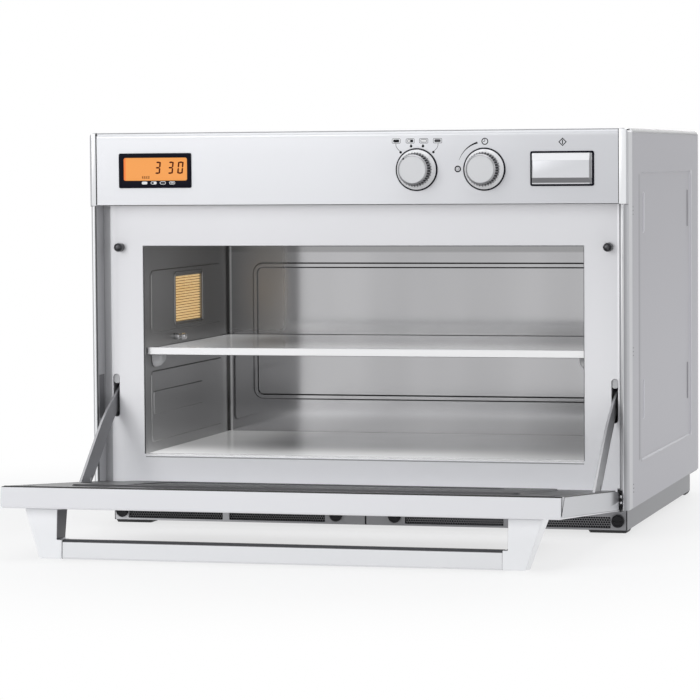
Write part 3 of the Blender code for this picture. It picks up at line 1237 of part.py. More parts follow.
def door_shell():
    """Outer door shell: a deep pan with a window, hinge holes and a lip along its lower edge."""
    wall = DOOR_SHEET
    pan = prism(door_section(0), "X", (-DOOR_HALF, DOOR_HALF))
    pan = cross(pan,
                soft_prism((-DOOR_HALF, DOOR_HALF), (-LIP_DROP, DOOR_TOP + DOOR_EDGE * 2), DOOR_EDGE, "Y",
                                (DOOR_FRONT, DOOR_REAR), rim_low=DOOR_EDGE))
    half = DOOR_HALF - wall
    hollow = prism(door_section(wall), "X", (-half, half))
    rear = DOOR_REAR - PANEL_RABBET / 2
    heel = HINGE_Z + HEEL_LIFT + HEEL_CURVE + wall
    mouth = block((-half, half), (rear - PANEL_RABBET, DOOR_REAR + OVERRUN), (heel, DOOR_TOP - wall))
    pan = cut(pan, hollow, mouth)
    (x0, x1), (z0, z1) = door_window()
    window = soft_prism((x0, x1), (z0, z1), DOOR_WINDOW_CORNER, "Y",
                        (DOOR_FRONT - OVERRUN, DOOR_FRONT + wall + OVERRUN))
    holes = [rod("X", (HINGE_Y, HINGE_Z), HINGE_PIN_RADIUS + RUNNING_GAP,
                 sorted((side * (half - OVERRUN), side * (DOOR_HALF + OVERRUN))),
                 SMALL_STEPS) for side in (-1, 1)]
    return cut(pan, window, group(holes))


def door_window():
    """The door window as its X and Z ranges."""
    margin = DOOR_WINDOW_MARGIN
    return ((-DOOR_HALF + margin, DOOR_HALF - margin),
            (OPENING_BOTTOM + margin / 4, OPENING_TOP - margin / 4))


def door_glass():
    """Outer window glass, seated from inside."""
    (x0, x1), (z0, z1) = door_window()
    lap = DOOR_GLASS_LAP
    front = DOOR_FRONT + DOOR_SHEET + SEAT_GAP
    return soft_prism((x0 - lap, x1 + lap), (z0 - lap, z1 + lap), DOOR_WINDOW_CORNER, "Y",
                      (front, front + DOOR_GLASS_THICKNESS))


def door_inner_panel():
    """Inner door panel: choke frame, raised centre with a screen field, sockets, slots and pivot ears."""
    half = DOOR_HALF - DOOR_SHEET - SEAT_GAP
    heel = HINGE_Z + HEEL_LIFT + HEEL_CURVE + DOOR_SHEET + SEAT_GAP
    z = (heel, DOOR_TOP - DOOR_SHEET - SEAT_GAP)
    back = DOOR_REAR - INNER_SHEET
    sheet = soft_prism((-half, half), z, DOOR_EDGE, "Y", (back, DOOR_REAR), rim_high=INNER_SHEET / 2)
    margin = INNER_RAISE_MARGIN
    raised = ((-OPENING_HALF + margin, OPENING_HALF - margin),
              (OPENING_BOTTOM + margin, OPENING_TOP - margin))
    centre = frustum(*raised, margin, "Y", back + INNER_SHEET / 2, DOOR_REAR + INNER_RAISE, INNER_RAISE)
    field = INNER_WINDOW_MARGIN
    hollow = frustum((raised[0][0] + field, raised[0][1] - field),
                     (raised[1][0] + field / 2, raised[1][1] - field / 2),
                     margin / 2, "Y", DOOR_REAR + INNER_RAISE + OVERRUN,
                     DOOR_REAR + INNER_RAISE - INNER_WINDOW_SINK, INNER_RAISE)
    sheet = join(sheet, centre)
    ears = []
    ear_x = ARM_X - ARM_THICKNESS / 2 - SEAT_GAP
    pin_end = ARM_X + ARM_THICKNESS / 2 + ARM_THICKNESS / 3
    reach = ARM_PIN_RADIUS * 2
    ear = block((ear_x - EAR_SHEET, ear_x), (ARM_PIVOT_Y - reach, back + INNER_SHEET / 2),
                (ARM_PIVOT_Z - reach, ARM_PIVOT_Z + reach))
    pin = rod("X", (ARM_PIVOT_Y, ARM_PIVOT_Z), ARM_PIN_RADIUS, (ear_x - EAR_SHEET / 2, pin_end), SMALL_STEPS)
    ears = join(ear, pin)
    sheet = join(sheet, mirrored(ears), ears)
    through = (back - OVERRUN / 2, DOOR_REAR + OVERRUN)
    slots = []
    for side in (-1, 1):
        span = sorted((side * (ARM_X - ARM_THICKNESS / 2), side * (ARM_X + ARM_SLOT_HALF)))
        low = ARM_PIVOT_Z - ARM_PIVOT_SINK - ARM_REAR_EDGE / math.sin(ARM_OPEN_ANGLE) - SLOT_BELLY_MARGIN
        low = low - SLOT_CLEARANCE
        high = ARM_PIVOT_Z + ARM_FRONT_EDGE / math.cos(ARM_SHUT_ANGLE)
        high = high + ARM_PIVOT_SINK * math.tan(ARM_SHUT_ANGLE) + SLOT_CLEARANCE
        slots.append(block(span, through, (low, high)))
        slots.append(rod("Y", (side * STUD_X, STUD_Z), STUD_RADIUS + STUD_SOCKET_GAP, through, MEDIUM_STEPS))
    return cut(sheet, hollow, group(slots))


def handle_bracket():
    """Right handle bracket: a deep wedge that narrows from the door to its elbow, where the bar starts."""
    x_in = HANDLE_INNER
    x_elbow = HANDLE_INNER - HANDLE_STUB
    foot = DOOR_FRONT - SEAT_GAP
    tip = DOOR_FRONT - HANDLE_REACH
    bar_top = tip + HANDLE_BAR_HEIGHT
    x_out = x_in + HANDLE_BRACKET_WIDTH
    x_low = x_elbow + HANDLE_ELBOW_WIDTH
    r = HANDLE_CORNER
    outline = [(x_in, foot), (x_out, foot)]
    for k in range(CORNER_STEPS + 1):
        turn = math.pi / 2 * (1 - k / CORNER_STEPS)
        outline.append((x_low - r + r * math.sin(turn), tip + r - r * math.cos(turn)))
    outline += [(x_elbow, tip), (x_elbow, bar_top), (x_in, bar_top)]
    top = DOOR_TOP - HANDLE_TOP_GAP
    slope = (HANDLE_BRACKET_DEPTH - HANDLE_TIP_DEPTH) / (foot - tip)
    low = [Vector((a, b, top - HANDLE_TIP_DEPTH - slope * (b - tip))) for a, b in outline]
    return softened(loft([low, [Vector((a, b, top)) for a, b in outline]]), HANDLE_SOFTENING)


def handle_bar():
    """The long bar between the brackets, with chamfered edges."""
    half = HANDLE_INNER - HANDLE_STUB - SEAT_GAP
    top = DOOR_TOP - HANDLE_TOP_GAP - HANDLE_BAR_SETBACK
    low = top - HANDLE_BAR_DEPTH
    tip = DOOR_FRONT - HANDLE_REACH
    root = tip + HANDLE_BAR_HEIGHT
    c = HANDLE_BAR_CHAMFER
    small = HANDLE_CORNER / 2
    outline = [(tip + small, low), (root - c, low), (root, low + c), (root, top - c), (root - c, top),
               (tip + small, top), (tip, top - small), (tip, low + small)]
    return prism(outline, "X", (-half, half))


def arm_outline():
    """Side view of a door arm: a round end on the pivot, and two edges that bend down towards the tail."""
    points = []
    rear, front = ARM_REAR_EDGE, ARM_FRONT_EDGE
    for k in range(CORNER_STEPS * 2 + 1):
        turn = math.pi / 2 * (1 + k / CORNER_STEPS)
        points.append((rear * math.cos(turn), (front if math.sin(turn) > 0 else rear) * math.sin(turn)))
    points += [(ARM_LENGTH * along, -rear * across) for along, across in ARM_REAR_SHARES]
    points += [(ARM_LENGTH * along, front * across) for along, across in reversed(ARM_FRONT_SHARES)]
    return points


def arm_tail_pin():
    """Place of the tail pin along and across the arm."""
    along = ARM_LENGTH - ARM_TAIL_PIN_RADIUS * 2
    high = ARM_FRONT_EDGE * ARM_FRONT_SHARES[-1][1]
    low = -ARM_REAR_EDGE * ARM_REAR_SHARES[-1][1]
    return along, (low + high) / 2


def arm_pivot_at_rest():
    """Where the open door carries the arm's pivot."""
    return Vector((0, HINGE_Y - REST_PIVOT_REACH, HINGE_Z + REST_PIVOT_LIFT))


def arm_tail_pin_at_rest():
    """Where the tail pin lies when the door is open."""
    along, across = arm_tail_pin()
    turn = ARM_OPEN_ANGLE
    return arm_pivot_at_rest() + Vector((0, along * math.cos(turn) - across * math.sin(turn),
                                         along * math.sin(turn) + across * math.cos(turn)))


def door_arm():
    """Right door arm around its pivot, lying along +Y, with its tail pin."""
    half = ARM_THICKNESS / 2
    plate = prism(arm_outline(), "X", (-half, half))
    along, across = arm_tail_pin()
    pin = rod("X", (along, across), ARM_TAIL_PIN_RADIUS,
              (-half - ARM_TAIL_PIN_REACH, half + ARM_TAIL_PIN_REACH), SMALL_STEPS)
    plate = join(plate, pin)
    through = (-half - OVERRUN, half + OVERRUN)
    bore = rod("X", (0, 0), ARM_PIN_RADIUS + RUNNING_GAP, through, SMALL_STEPS)
    long = (ARM_HOLE_ALONG, ARM_HOLE_ALONG + ARM_HOLE_LENGTH)
    wide = (-ARM_HOLE_DROP - ARM_HOLE_WIDTH / 2, -ARM_HOLE_DROP + ARM_HOLE_WIDTH / 2)
    oblong = soft_prism(long, wide, ARM_HOLE_WIDTH / 2, "X", through, steps=2)
    return cut(plate, group([bore, oblong]))


def waveguide(upper):
    """A duct from its magnetron to its stirrer, with the stirrer motor on the far side."""
    half = WAVEGUIDE_WIDTH / 2
    y = (LINER_FRONT + STIRRER_CENTRE - WAVEGUIDE_FRONT, waveguide_rear(upper))
    sign = 1 if upper else -1
    near = (WELL_CEILING + LINER_SHEET + SEAT_GAP) if upper else (WELL_FLOOR - LINER_SHEET - SEAT_GAP)
    far = near + sign * WAVEGUIDE_HEIGHT
    z = sorted((near, far))
    t = WAVEGUIDE_SHEET
    duct = cut(block((-half, half), y, z),
               block((-half + t, half - t), (y[0] + t, y[1] - t), (z[0] + t, z[1] - t)))
    centre = (0, STIRRER_Y)
    reach = far + sign * MOTOR_HEIGHT
    motor = rod("Z", centre, MOTOR_RADIUS, sorted((far - sign * t / 2, reach)))
    duct = join(duct, motor)
    hole = rod("Z", centre, PORT_RADIUS - t, sorted((near - sign * OVERRUN, near + sign * (t + OVERRUN))))
    bearing = rod("Z", centre, STIRRER_SHAFT_RADIUS + RUNNING_GAP,
                  sorted((far - sign * (t + OVERRUN), far + sign * MOTOR_HEIGHT / 2)), SMALL_STEPS)
    launch = magnetron_place(upper)
    mouth = launch[1]
    top = z[1]
    port = rod("Z", (0, mouth), ANTENNA_RADIUS + t * 2, (top - t - OVERRUN, top + OVERRUN), SMALL_STEPS)
    return cut(duct, group([hole, bearing, port]))


def waveguide_rear(upper):
    """Rear end of a waveguide: over the cavity, or out behind it."""
    centre = magnetron_place(upper)[1]
    return centre + MAGNETRON_DEPTH / 2


def magnetron_place(upper):
    """Where a magnetron stands: on the upper duct's tail, or behind the cavity on the lower duct's."""
    if upper:
        return 0, STIRRER_Y + WAVEGUIDE_TAIL
    return 0, LINER_REAR + LINER_SHEET + MAGNETRON_GAP + MAGNETRON_DEPTH / 2


def magnetron(upper):
    """Magnetron: a steel yoke with cooling fins between its walls, a filter box and the antenna below."""
    centre = magnetron_place(upper)[1]
    duct = WELL_FLOOR - LINER_SHEET - SEAT_GAP
    if upper:
        duct = WELL_CEILING + LINER_SHEET + SEAT_GAP + WAVEGUIDE_HEIGHT
    base = duct + SEAT_GAP
    half = MAGNETRON_WIDTH / 2
    y = (centre - MAGNETRON_DEPTH / 2, centre + MAGNETRON_DEPTH / 2)
    body = block((-half, half), y, (base, base + MAGNETRON_HEIGHT))
    room = MAGNETRON_HEIGHT * (1 - MAGNETRON_CAP_SHARE) - MAGNETRON_WALL * 2
    gaps = []
    for k in range(FIN_COUNT):
        low = base + MAGNETRON_WALL + room * (k + 1 / 2) / FIN_COUNT - FIN_GAP / 2
        gaps.append(block((-half + MAGNETRON_WALL, half - MAGNETRON_WALL), (y[0] - OVERRUN, y[1] + OVERRUN),
                          (low, low + FIN_GAP)))
    body = cut(body, group(gaps))
    anode = rod("Z", (0, centre), MAGNETRON_DEPTH / 4,
                (base + MAGNETRON_WALL / 2, base + MAGNETRON_HEIGHT * 2 / 3),
                SMALL_STEPS)
    antenna = turned([(ANTENNA_RADIUS * 3 / 4, base - ANTENNA_HEIGHT),
                      (ANTENNA_RADIUS, base - ANTENNA_HEIGHT * 3 / 4),
                      (ANTENNA_RADIUS, base + MAGNETRON_WALL / 2)], "Z", (0, centre), SMALL_STEPS)
    return join(body, anode, antenna)


def stirrer(upper):
    """A stirrer: a hub on its shaft with four pitched blades."""
    sign = 1 if upper else -1
    centre = (0, STIRRER_Y)
    wall = WELL_CEILING if upper else WELL_FLOOR
    near = (WELL_CEILING + LINER_SHEET + SEAT_GAP) if upper else (WELL_FLOOR - LINER_SHEET - SEAT_GAP)
    far = near + sign * WAVEGUIDE_HEIGHT
    level = wall - sign * (STIRRER_DROP + STIRRER_SHEET)
    hub = rod("Z", centre, STIRRER_HUB_RADIUS,
              sorted((level - sign * STIRRER_SHEET, level + sign * STIRRER_SHEET * 2)),
              ROUND_STEPS)
    shaft = rod("Z", centre, STIRRER_SHAFT_RADIUS, sorted((level, far + sign * MOTOR_HEIGHT / 3)),
                SMALL_STEPS)
    blades = []
    for k in range(STIRRER_BLADES):
        turn = 2 * math.pi * k / STIRRER_BLADES
        wide = STIRRER_BLADE_WIDTH / 2
        outline = [(0, -STIRRER_HUB_RADIUS / 2), (STIRRER_RADIUS, -wide / 2), (STIRRER_RADIUS, wide / 2),
                   (STIRRER_RADIUS * 3 / 4, wide), (0, STIRRER_HUB_RADIUS / 2)]
        blade = prism(outline, "Z", (-STIRRER_SHEET / 2, STIRRER_SHEET / 2))
        tilt = Matrix.Rotation(STIRRER_PITCH, 4, "X")
        place = Matrix.Translation((*centre, level)) @ Matrix.Rotation(turn, 4, "Z") @ tilt
        blade.transform(place)
        blades.append(blade)
    return join(hub, shaft, *blades)


def transformer():
    """Right high-voltage transformer: laminated core, its coils and a foot plate."""
    centre_y = (LINER_REAR + LINER_SHEET + REAR_PANEL_IN) / 2
    x = (TRANSFORMER_X - TRANSFORMER_WIDTH / 2, TRANSFORMER_X + TRANSFORMER_WIDTH / 2)
    y = (centre_y - TRANSFORMER_DEPTH / 2, centre_y + TRANSFORMER_DEPTH / 2)
    base = PLINTH_BOTTOM + PLINTH_SHEET + SEAT_GAP
    z = (base + TRANSFORMER_FOOT / 2, base + TRANSFORMER_HEIGHT)
    core = block(x, y, z)
    high = TRANSFORMER_HEIGHT * COIL_SHARE / 2
    wide = TRANSFORMER_WIDTH * (COIL_SHARE + 1) / 4
    level = base + TRANSFORMER_HEIGHT / 2
    coil = soft_prism((TRANSFORMER_X - wide, TRANSFORMER_X + wide), (level - high, level + high),
                      COIL_BULGE, "Y",
                      (y[0] - COIL_BULGE, y[1] + COIL_BULGE), COIL_BULGE / 2, COIL_BULGE / 2, 3)
    foot_plate = block((x[0] - TRANSFORMER_FOOT_REACH, x[1] + TRANSFORMER_FOOT_REACH), y,
                       (base, base + TRANSFORMER_FOOT))
    return join(core, coil, foot_plate)


def fan_frame():
    """Cooling fan frame: a square moulding with a round bore, struts and the motor boss."""
    half = FAN_SIZE / 2
    y = (REAR_PANEL_IN - SEAT_GAP - FAN_DEPTH, REAR_PANEL_IN - SEAT_GAP)
    centre = (-FAN_X, FAN_LEVEL)
    frame = soft_prism((centre[0] - half, centre[0] + half), (centre[1] - half, centre[1] + half), FAN_WALL,
                       "Y", y)
    frame = cut(frame, rod("Y", centre, half - FAN_WALL, (y[0] - OVERRUN, y[1] + OVERRUN), MEDIUM_STEPS * 2))
    strut_y = (y[0], y[0] + FAN_STRUT_DEPTH)
    boss = rod("Y", centre, FAN_HUB_RADIUS, (y[0], y[0] + FAN_STRUT_DEPTH * 2))
    strut = FAN_STRUT / 2
    across = block((centre[0] - half + FAN_WALL / 2, centre[0] + half - FAN_WALL / 2), strut_y,
                   (centre[1] - strut, centre[1] + strut))
    upright = block((centre[0] - strut, centre[0] + strut), strut_y,
                    (centre[1] - half + FAN_WALL / 2, centre[1] + half - FAN_WALL / 2))
    frame = join(frame, boss, across, upright)
    bearing = rod("Y", centre, KNOB_SHAFT_RADIUS + RUNNING_GAP,
                  (y[0] + FAN_STRUT_DEPTH, y[0] + FAN_STRUT_DEPTH * 3), SMALL_STEPS)
    return cut(frame, bearing)


def fan_wheel():
    """Fan wheel: a hub, seven twisted blades and the shaft into the motor boss."""
    y = (REAR_PANEL_IN - SEAT_GAP - FAN_DEPTH, REAR_PANEL_IN - SEAT_GAP)
    centre = Vector((-FAN_X, 0, FAN_LEVEL))
    start = y[0] + FAN_STRUT_DEPTH * 2 + FAN_TIP_GAP
    end = start + FAN_BLADE_DEPTH
    rim = FAN_STRUT / 4
    hub = turned([(FAN_HUB_RADIUS, start), (FAN_HUB_RADIUS, end - rim), (FAN_HUB_RADIUS - rim, end)], "Y",
                 (centre.x, centre.z))
    shaft = rod("Y", (centre.x, centre.z), KNOB_SHAFT_RADIUS, (y[0] + FAN_STRUT_DEPTH * 3 / 2, start + rim),
                SMALL_STEPS)
    outer = FAN_SIZE / 2 - FAN_WALL - FAN_TIP_GAP
    middle = (start + end) / 2
    chord = FAN_BLADE_DEPTH / 2
    blades = []
    for k in range(FAN_BLADES):
        turn = 2 * math.pi * k / FAN_BLADES
        loops = []
        for radius, twist in ((FAN_HUB_RADIUS - rim, FAN_ROOT_ANGLE), (outer, FAN_TIP_ANGLE)):
            ax, rd = math.sin(twist), math.cos(twist)
            thick = FAN_BLADE_THICKNESS / 2
            corners = [(-chord, -thick), (0, -thick + FAN_BLADE_THICKNESS / 4), (chord, -thick),
                       (chord, thick),
                       (0, thick + FAN_BLADE_THICKNESS / 4), (-chord, thick)]
            loop = []
            for along, off in corners:
                around = along * rd - off * ax
                depth = along * ax + off * rd
                point = Vector((radius, middle + depth, around))
                loop.append(point)
            loops.append(loop)
        blade = loft(loops)
        blade.transform(Matrix.Translation(centre) @ Matrix.Rotation(turn, 4, "Y"))
        blades.append(blade)
    return join(hub, shaft, *blades)


def rear_panel():
    """Rear panel: fan slots, exhaust slots, the gland hole and two pressed spacers."""
    half = CASE_HALF - CASE_SHEET - SEAT_GAP
    z = (COVER_BOTTOM, CASE_TOP - CASE_SHEET - SEAT_GAP)
    y = (REAR_PANEL_IN, REAR_PANEL_OUT)
    panel = soft_prism((-half, half), z, COVER_BEND, "Y", y)
    spacers = []
    for side in (-1, 1):
        centre = (side * (half - SPACER_SIZE * 2), CASE_TOP - SPACER_SIZE * 3)
        spacers.append(frustum((centre[0] - SPACER_SIZE / 2, centre[0] + SPACER_SIZE / 2),
                               (centre[1] - SPACER_SIZE, centre[1] + SPACER_SIZE), SPACER_SIZE / 3, "Y",
                               y[1] - REAR_SHEET / 2, y[1] + SPACER_PROUD, SPACER_SLOPE))
    panel = join(panel, group(spacers))
    through = (y[0] - OVERRUN, y[1] + OVERRUN)
    slots = []
    for centre, count in (((-FAN_X, FAN_LEVEL), FAN_SLOTS), ((FAN_X, FAN_LEVEL), EXHAUST_SLOTS)):
        for k in range(count):
            level = centre[1] + VENT_PITCH * (k - (count - 1) / 2)
            slots.append(block((centre[0] - VENT_WIDTH / 2, centre[0] + VENT_WIDTH / 2), through,
                               (level - VENT_SLOT_HEIGHT / 2, level + VENT_SLOT_HEIGHT / 2)))
    slots.append(rod("Y", (GLAND_X, GLAND_LEVEL), GLAND_RADIUS + SEAT_GAP, through))
    return cut(panel, group(slots))


def cable_gland():
    """The inlet of the mains lead: a domed gland with a bore."""
    out = REAR_PANEL_OUT + SEAT_GAP
    profile = [(GLAND_BORE, out + GLAND_NUT_HEIGHT + GLAND_DOME),
               (GLAND_BORE + GLAND_DOME / 2, out + GLAND_NUT_HEIGHT + GLAND_DOME),
               (GLAND_RADIUS, out + GLAND_NUT_HEIGHT), (GLAND_NUT_RADIUS, out + GLAND_NUT_HEIGHT),
               (GLAND_NUT_RADIUS, out),
               (GLAND_RADIUS, out), (GLAND_RADIUS, REAR_PANEL_IN - GLAND_INSIDE),
               (GLAND_BORE, REAR_PANEL_IN - GLAND_INSIDE)]
    return turned(profile, "Y", (GLAND_X, GLAND_LEVEL), MEDIUM_STEPS, ring=True)


def make_finishes():
    """The oven's materials by name."""
    return {
        "silver_paint": finish("silver_paint", (0.80, 0.80, 0.82), 0.35, 0.2),
        "cover_paint": finish("cover_paint", (0.62, 0.62, 0.64), 0.45, 0.1),
        "white_moulding": finish("white_moulding", (0.86, 0.86, 0.88), 0.35),
        "silver_moulding": finish("silver_moulding", (0.78, 0.78, 0.80), 0.35, 0.3),
        "aluminium": finish("aluminium", (0.76, 0.77, 0.79), 0.35, 0.8),
        "satin_steel": finish("satin_steel", (0.66, 0.66, 0.66), 0.30, 1.0),
        "dark_steel": finish("dark_steel", (0.22, 0.22, 0.23), 0.35, 0.9),
        "zinc": finish("zinc", (0.50, 0.51, 0.53), 0.45, 0.9),
        "black_plastic": finish("black_plastic", (0.03, 0.03, 0.03), 0.40),
        "rubber": finish("rubber", (0.02, 0.02, 0.02), 0.75),
        "ceramic": finish("ceramic", (0.88, 0.88, 0.87), 0.15),
        "glass": finish("glass", (0.10, 0.11, 0.12), 0.05),
        "amber_glass": finish("amber_glass", (0.95, 0.50, 0.08), 0.15),
        "lamp_glass": finish("lamp_glass", (0.90, 0.66, 0.34), 0.20),
        "board": finish("board", (0.05, 0.25, 0.12), 0.50),
        "lamination": finish("lamination", (0.20, 0.15, 0.12), 0.55, 0.6),
    }


def both(name, mesh, material, parent):
    """A piece and its mirror image, named left and right."""
    add(name + "_left", mirrored(mesh), material, parent)
    add(name + "_right", mesh, material, parent)


def build_case(f, root):
    """Everything that stays still."""
    add("base_plinth", base_plinth(), f["zinc"], root)
    corners = ("front_left", "front_right", "rear_left", "rear_right")
    for corner, centre in zip(corners, foot_places()):
        add("foot_" + corner, foot(centre), f["rubber"], root)
    add("case_cover", case_cover(), f["cover_paint"], root)
    add("rear_panel", rear_panel(), f["zinc"], root)
    add("cable_gland", cable_gland(), f["black_plastic"], root)
    add("front_frame", front_frame(), f["silver_paint"], root)
    add("face_plate", face_plate(), f["satin_steel"], root)
    add("cavity_liner", cavity_liner(), f["satin_steel"], root)
    add("ceramic_floor", ceramic_floor(), f["ceramic"], root)
    add("ceiling_plate", ceiling_plate(), f["ceramic"], root)
    both("filter_panel", filter_panel(), f["zinc"], root)
    both("catch_stud", catch_stud(), f["dark_steel"], root)
    both("arm_guide", arm_guide(), f["zinc"], root)
    both("shelf_support_front", shelf_support(LINER_FRONT + SUPPORT_FRONT), f["white_moulding"], root)
    both("shelf_support_rear", shelf_support(LINER_REAR - SUPPORT_REAR), f["white_moulding"], root)
    both("shelf_pin", shelf_pin(), f["satin_steel"], root)
    both("hinge_bracket", hinge_bracket(), f["dark_steel"], root)


def build_inside(f, root):
    """What the closed case holds."""
    add("lamp_cover", lamp_cover(), f["lamp_glass"], root)
    add("oven_lamp", oven_lamp(), f["zinc"], root)
    add("waveguide_upper", waveguide(True), f["zinc"], root)
    add("waveguide_lower", waveguide(False), f["zinc"], root)
    add("magnetron_upper", magnetron(True), f["zinc"], root)
    add("magnetron_lower", magnetron(False), f["zinc"], root)
    both("transformer", transformer(), f["lamination"], root)
    add("fan_frame", fan_frame(), f["black_plastic"], root)


def build_controls(f, root):
    """The control panel with its display, knobs and start button."""
    add("control_panel", control_panel(), f["silver_moulding"], root)
    add("display_bezel", display_bezel(), f["black_plastic"], root)
    add("display_glass", display_glass(), f["amber_glass"], root)
    add("button_bezel", button_bezel(), f["black_plastic"], root)
    add("control_board", control_board(), f["board"], root)
    for name, at in (("power_knob", POWER_KNOB_X), ("timer_knob", TIMER_KNOB_X)):
        add(name, knob(at), f["silver_moulding"], root, (at, 0, KNOB_Z))
    (x0, x1), (z0, z1) = button_window()
    add("start_button", start_button(), f["silver_moulding"], root, ((x0 + x1) / 2, 0, (z0 + z1) / 2))


def build_moving(f, root):
    """Shelf, thumb screws, stirrers and fan wheel, each with its origin on its own axis."""
    add("shelf", shelf(), f["ceramic"], root, (0, SHELF_FRONT, SHELF_BOTTOM))
    level = PLINTH_BOTTOM + SCREW_LIFT
    for side, word in ((-1, "left"), (1, "right")):
        for at, place in ((SCREW_INNER, "inner"), (PLINTH_HALF - SCREW_OUTER, "outer")):
            add("thumb_screw_" + word + "_" + place, thumb_screw(side * at), f["black_plastic"], root,
                (side * at, PLINTH_RECESS, level))
    add("stirrer_upper", stirrer(True), f["zinc"], root, (0, STIRRER_Y, WELL_CEILING))
    add("stirrer_lower", stirrer(False), f["zinc"], root, (0, STIRRER_Y, WELL_FLOOR))
    add("fan_wheel", fan_wheel(), f["black_plastic"], root, (-FAN_X, REAR_PANEL_IN, FAN_LEVEL))


def build_door(f, root):
    """The door with its handle on the hinge axis, and the two arms on their pivots in the door."""
    hinge = Vector((0, HINGE_Y, HINGE_Z))
    swing = empty("door_swing", hinge, root, DOOR_OPEN_ANGLE)
    for name, mesh, material in (("door_shell", door_shell(), f["white_moulding"]),
                                 ("door_inner_panel", door_inner_panel(), f["satin_steel"]),
                                 ("door_glass", door_glass(), f["glass"]),
                                 ("handle_bar", handle_bar(), f["aluminium"])):
        add(name, mesh, material, swing, hinge, (0, 0, 0))
    bracket = handle_bracket()
    add("handle_bracket_left", mirrored(bracket), f["white_moulding"], swing, hinge, (0, 0, 0))
    add("handle_bracket_right", bracket, f["white_moulding"], swing, hinge, (0, 0, 0))
    pivot = Vector((0, ARM_PIVOT_Y, ARM_PIVOT_Z)) - hinge
    arm = door_arm()
    for side, word, mesh in ((-1, "left", mirrored(arm)), (1, "right", arm)):
        frame = empty("arm_pivot_" + word, pivot + Vector((side * ARM_X, 0, 0)), swing,
                      ARM_OPEN_ANGLE - DOOR_OPEN_ANGLE)
        add("door_arm_" + word, mesh, f["dark_steel"], frame)


def middle_of_base():
    """Middle of the model's box across and along the base."""
    bpy.context.view_layer.update()
    ys = [(piece.matrix_world @ vertex.co).y for piece in bpy.data.objects if piece.type == "MESH"
          for vertex in piece.data.vertices]
    return (min(ys) + max(ys)) / 2


def main():
    """Builds the oven."""
    for piece in list(bpy.data.objects):
        bpy.data.objects.remove(piece)
    root = empty("oven", (0, 0, 0))
    f = make_finishes()
    build_case(f, root)
    build_inside(f, root)
    build_controls(f, root)
    build_moving(f, root)
    build_door(f, root)
    shift = -middle_of_base()
    root.location.y = shift
    print("front plane at y", round(shift / MM, 3), "mm; hinge at", round((shift + HINGE_Y) / MM, 3),
          round(HINGE_Z / MM, 3))


main()
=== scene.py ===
# %% [markdown]
# # A countertop microwave oven for professional kitchens
# The CAD model gives the sizes, the places and the joints. This lesson dresses it: each step says what a piece is
# on the real oven, how it could be made in Blender, and why it is made this way.

# %% Load the fixed frame
import json
import math

import bmesh
import bpy
from mathutils import Matrix, Vector


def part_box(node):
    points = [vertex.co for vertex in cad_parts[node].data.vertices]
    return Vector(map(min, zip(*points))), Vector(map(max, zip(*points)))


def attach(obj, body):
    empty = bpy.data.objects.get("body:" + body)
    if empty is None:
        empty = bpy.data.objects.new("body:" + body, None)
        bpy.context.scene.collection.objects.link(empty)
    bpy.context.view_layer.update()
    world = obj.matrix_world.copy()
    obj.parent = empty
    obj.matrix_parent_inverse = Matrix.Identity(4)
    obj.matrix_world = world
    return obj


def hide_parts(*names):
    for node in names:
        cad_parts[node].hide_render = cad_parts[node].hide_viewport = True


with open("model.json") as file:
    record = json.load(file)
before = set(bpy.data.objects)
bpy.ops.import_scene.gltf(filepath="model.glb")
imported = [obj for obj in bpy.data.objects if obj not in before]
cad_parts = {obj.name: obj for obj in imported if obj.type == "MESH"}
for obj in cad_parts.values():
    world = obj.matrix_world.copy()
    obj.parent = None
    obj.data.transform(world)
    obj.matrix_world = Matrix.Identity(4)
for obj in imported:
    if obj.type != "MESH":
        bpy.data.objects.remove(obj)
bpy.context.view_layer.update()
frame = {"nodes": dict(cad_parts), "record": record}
MM = 0.001
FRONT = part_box("control_panel")[0].y
scene = bpy.context.scene
print("front plane at", round(FRONT, 4), "with", len(frame["nodes"]), "CAD nodes")

# %% [markdown]
# ## Camera
# The photograph was taken with a long lens from the front right. The numbers come from fitting a camera to corners
# whose places on the oven are known. No lens shift is used, so the views from other sides stay centred.

# %% Camera
LENS_PIXELS, FRAME_PIXELS = 3229.1, 700
YAW, PITCH, ROLL = 0.2598, 0.0582, -0.0073
forward = Vector((-math.sin(YAW) * math.cos(PITCH), math.cos(YAW) * math.cos(PITCH), -math.sin(PITCH)))
level = Vector((math.cos(YAW), math.sin(YAW), 0))
upright = level.cross(forward)
columns = (level * math.cos(ROLL) + upright * math.sin(ROLL), upright * math.cos(ROLL) - level * math.sin(ROLL), -forward)
camera = bpy.data.objects.new("camera", bpy.data.cameras.new("camera"))
scene.collection.objects.link(camera)
camera.data.lens = camera.data.sensor_width * LENS_PIXELS / FRAME_PIXELS
camera.data.clip_end = 60
stand = Matrix(columns).transposed().to_4x4()
stand.translation = (0.96501, FRONT - 3.65075, 0.43455)
camera.matrix_world = stand
scene.camera = camera
print("lens", round(camera.data.lens, 1), "mm")

# %% [markdown]
# ## Shader arithmetic
# A finish is a small network of nodes. Writing it as Python expressions keeps it readable: a Wire stands for a
# socket, and adding or multiplying wires adds the Math nodes. Every other node comes from one method.

# %% A socket that takes part in arithmetic


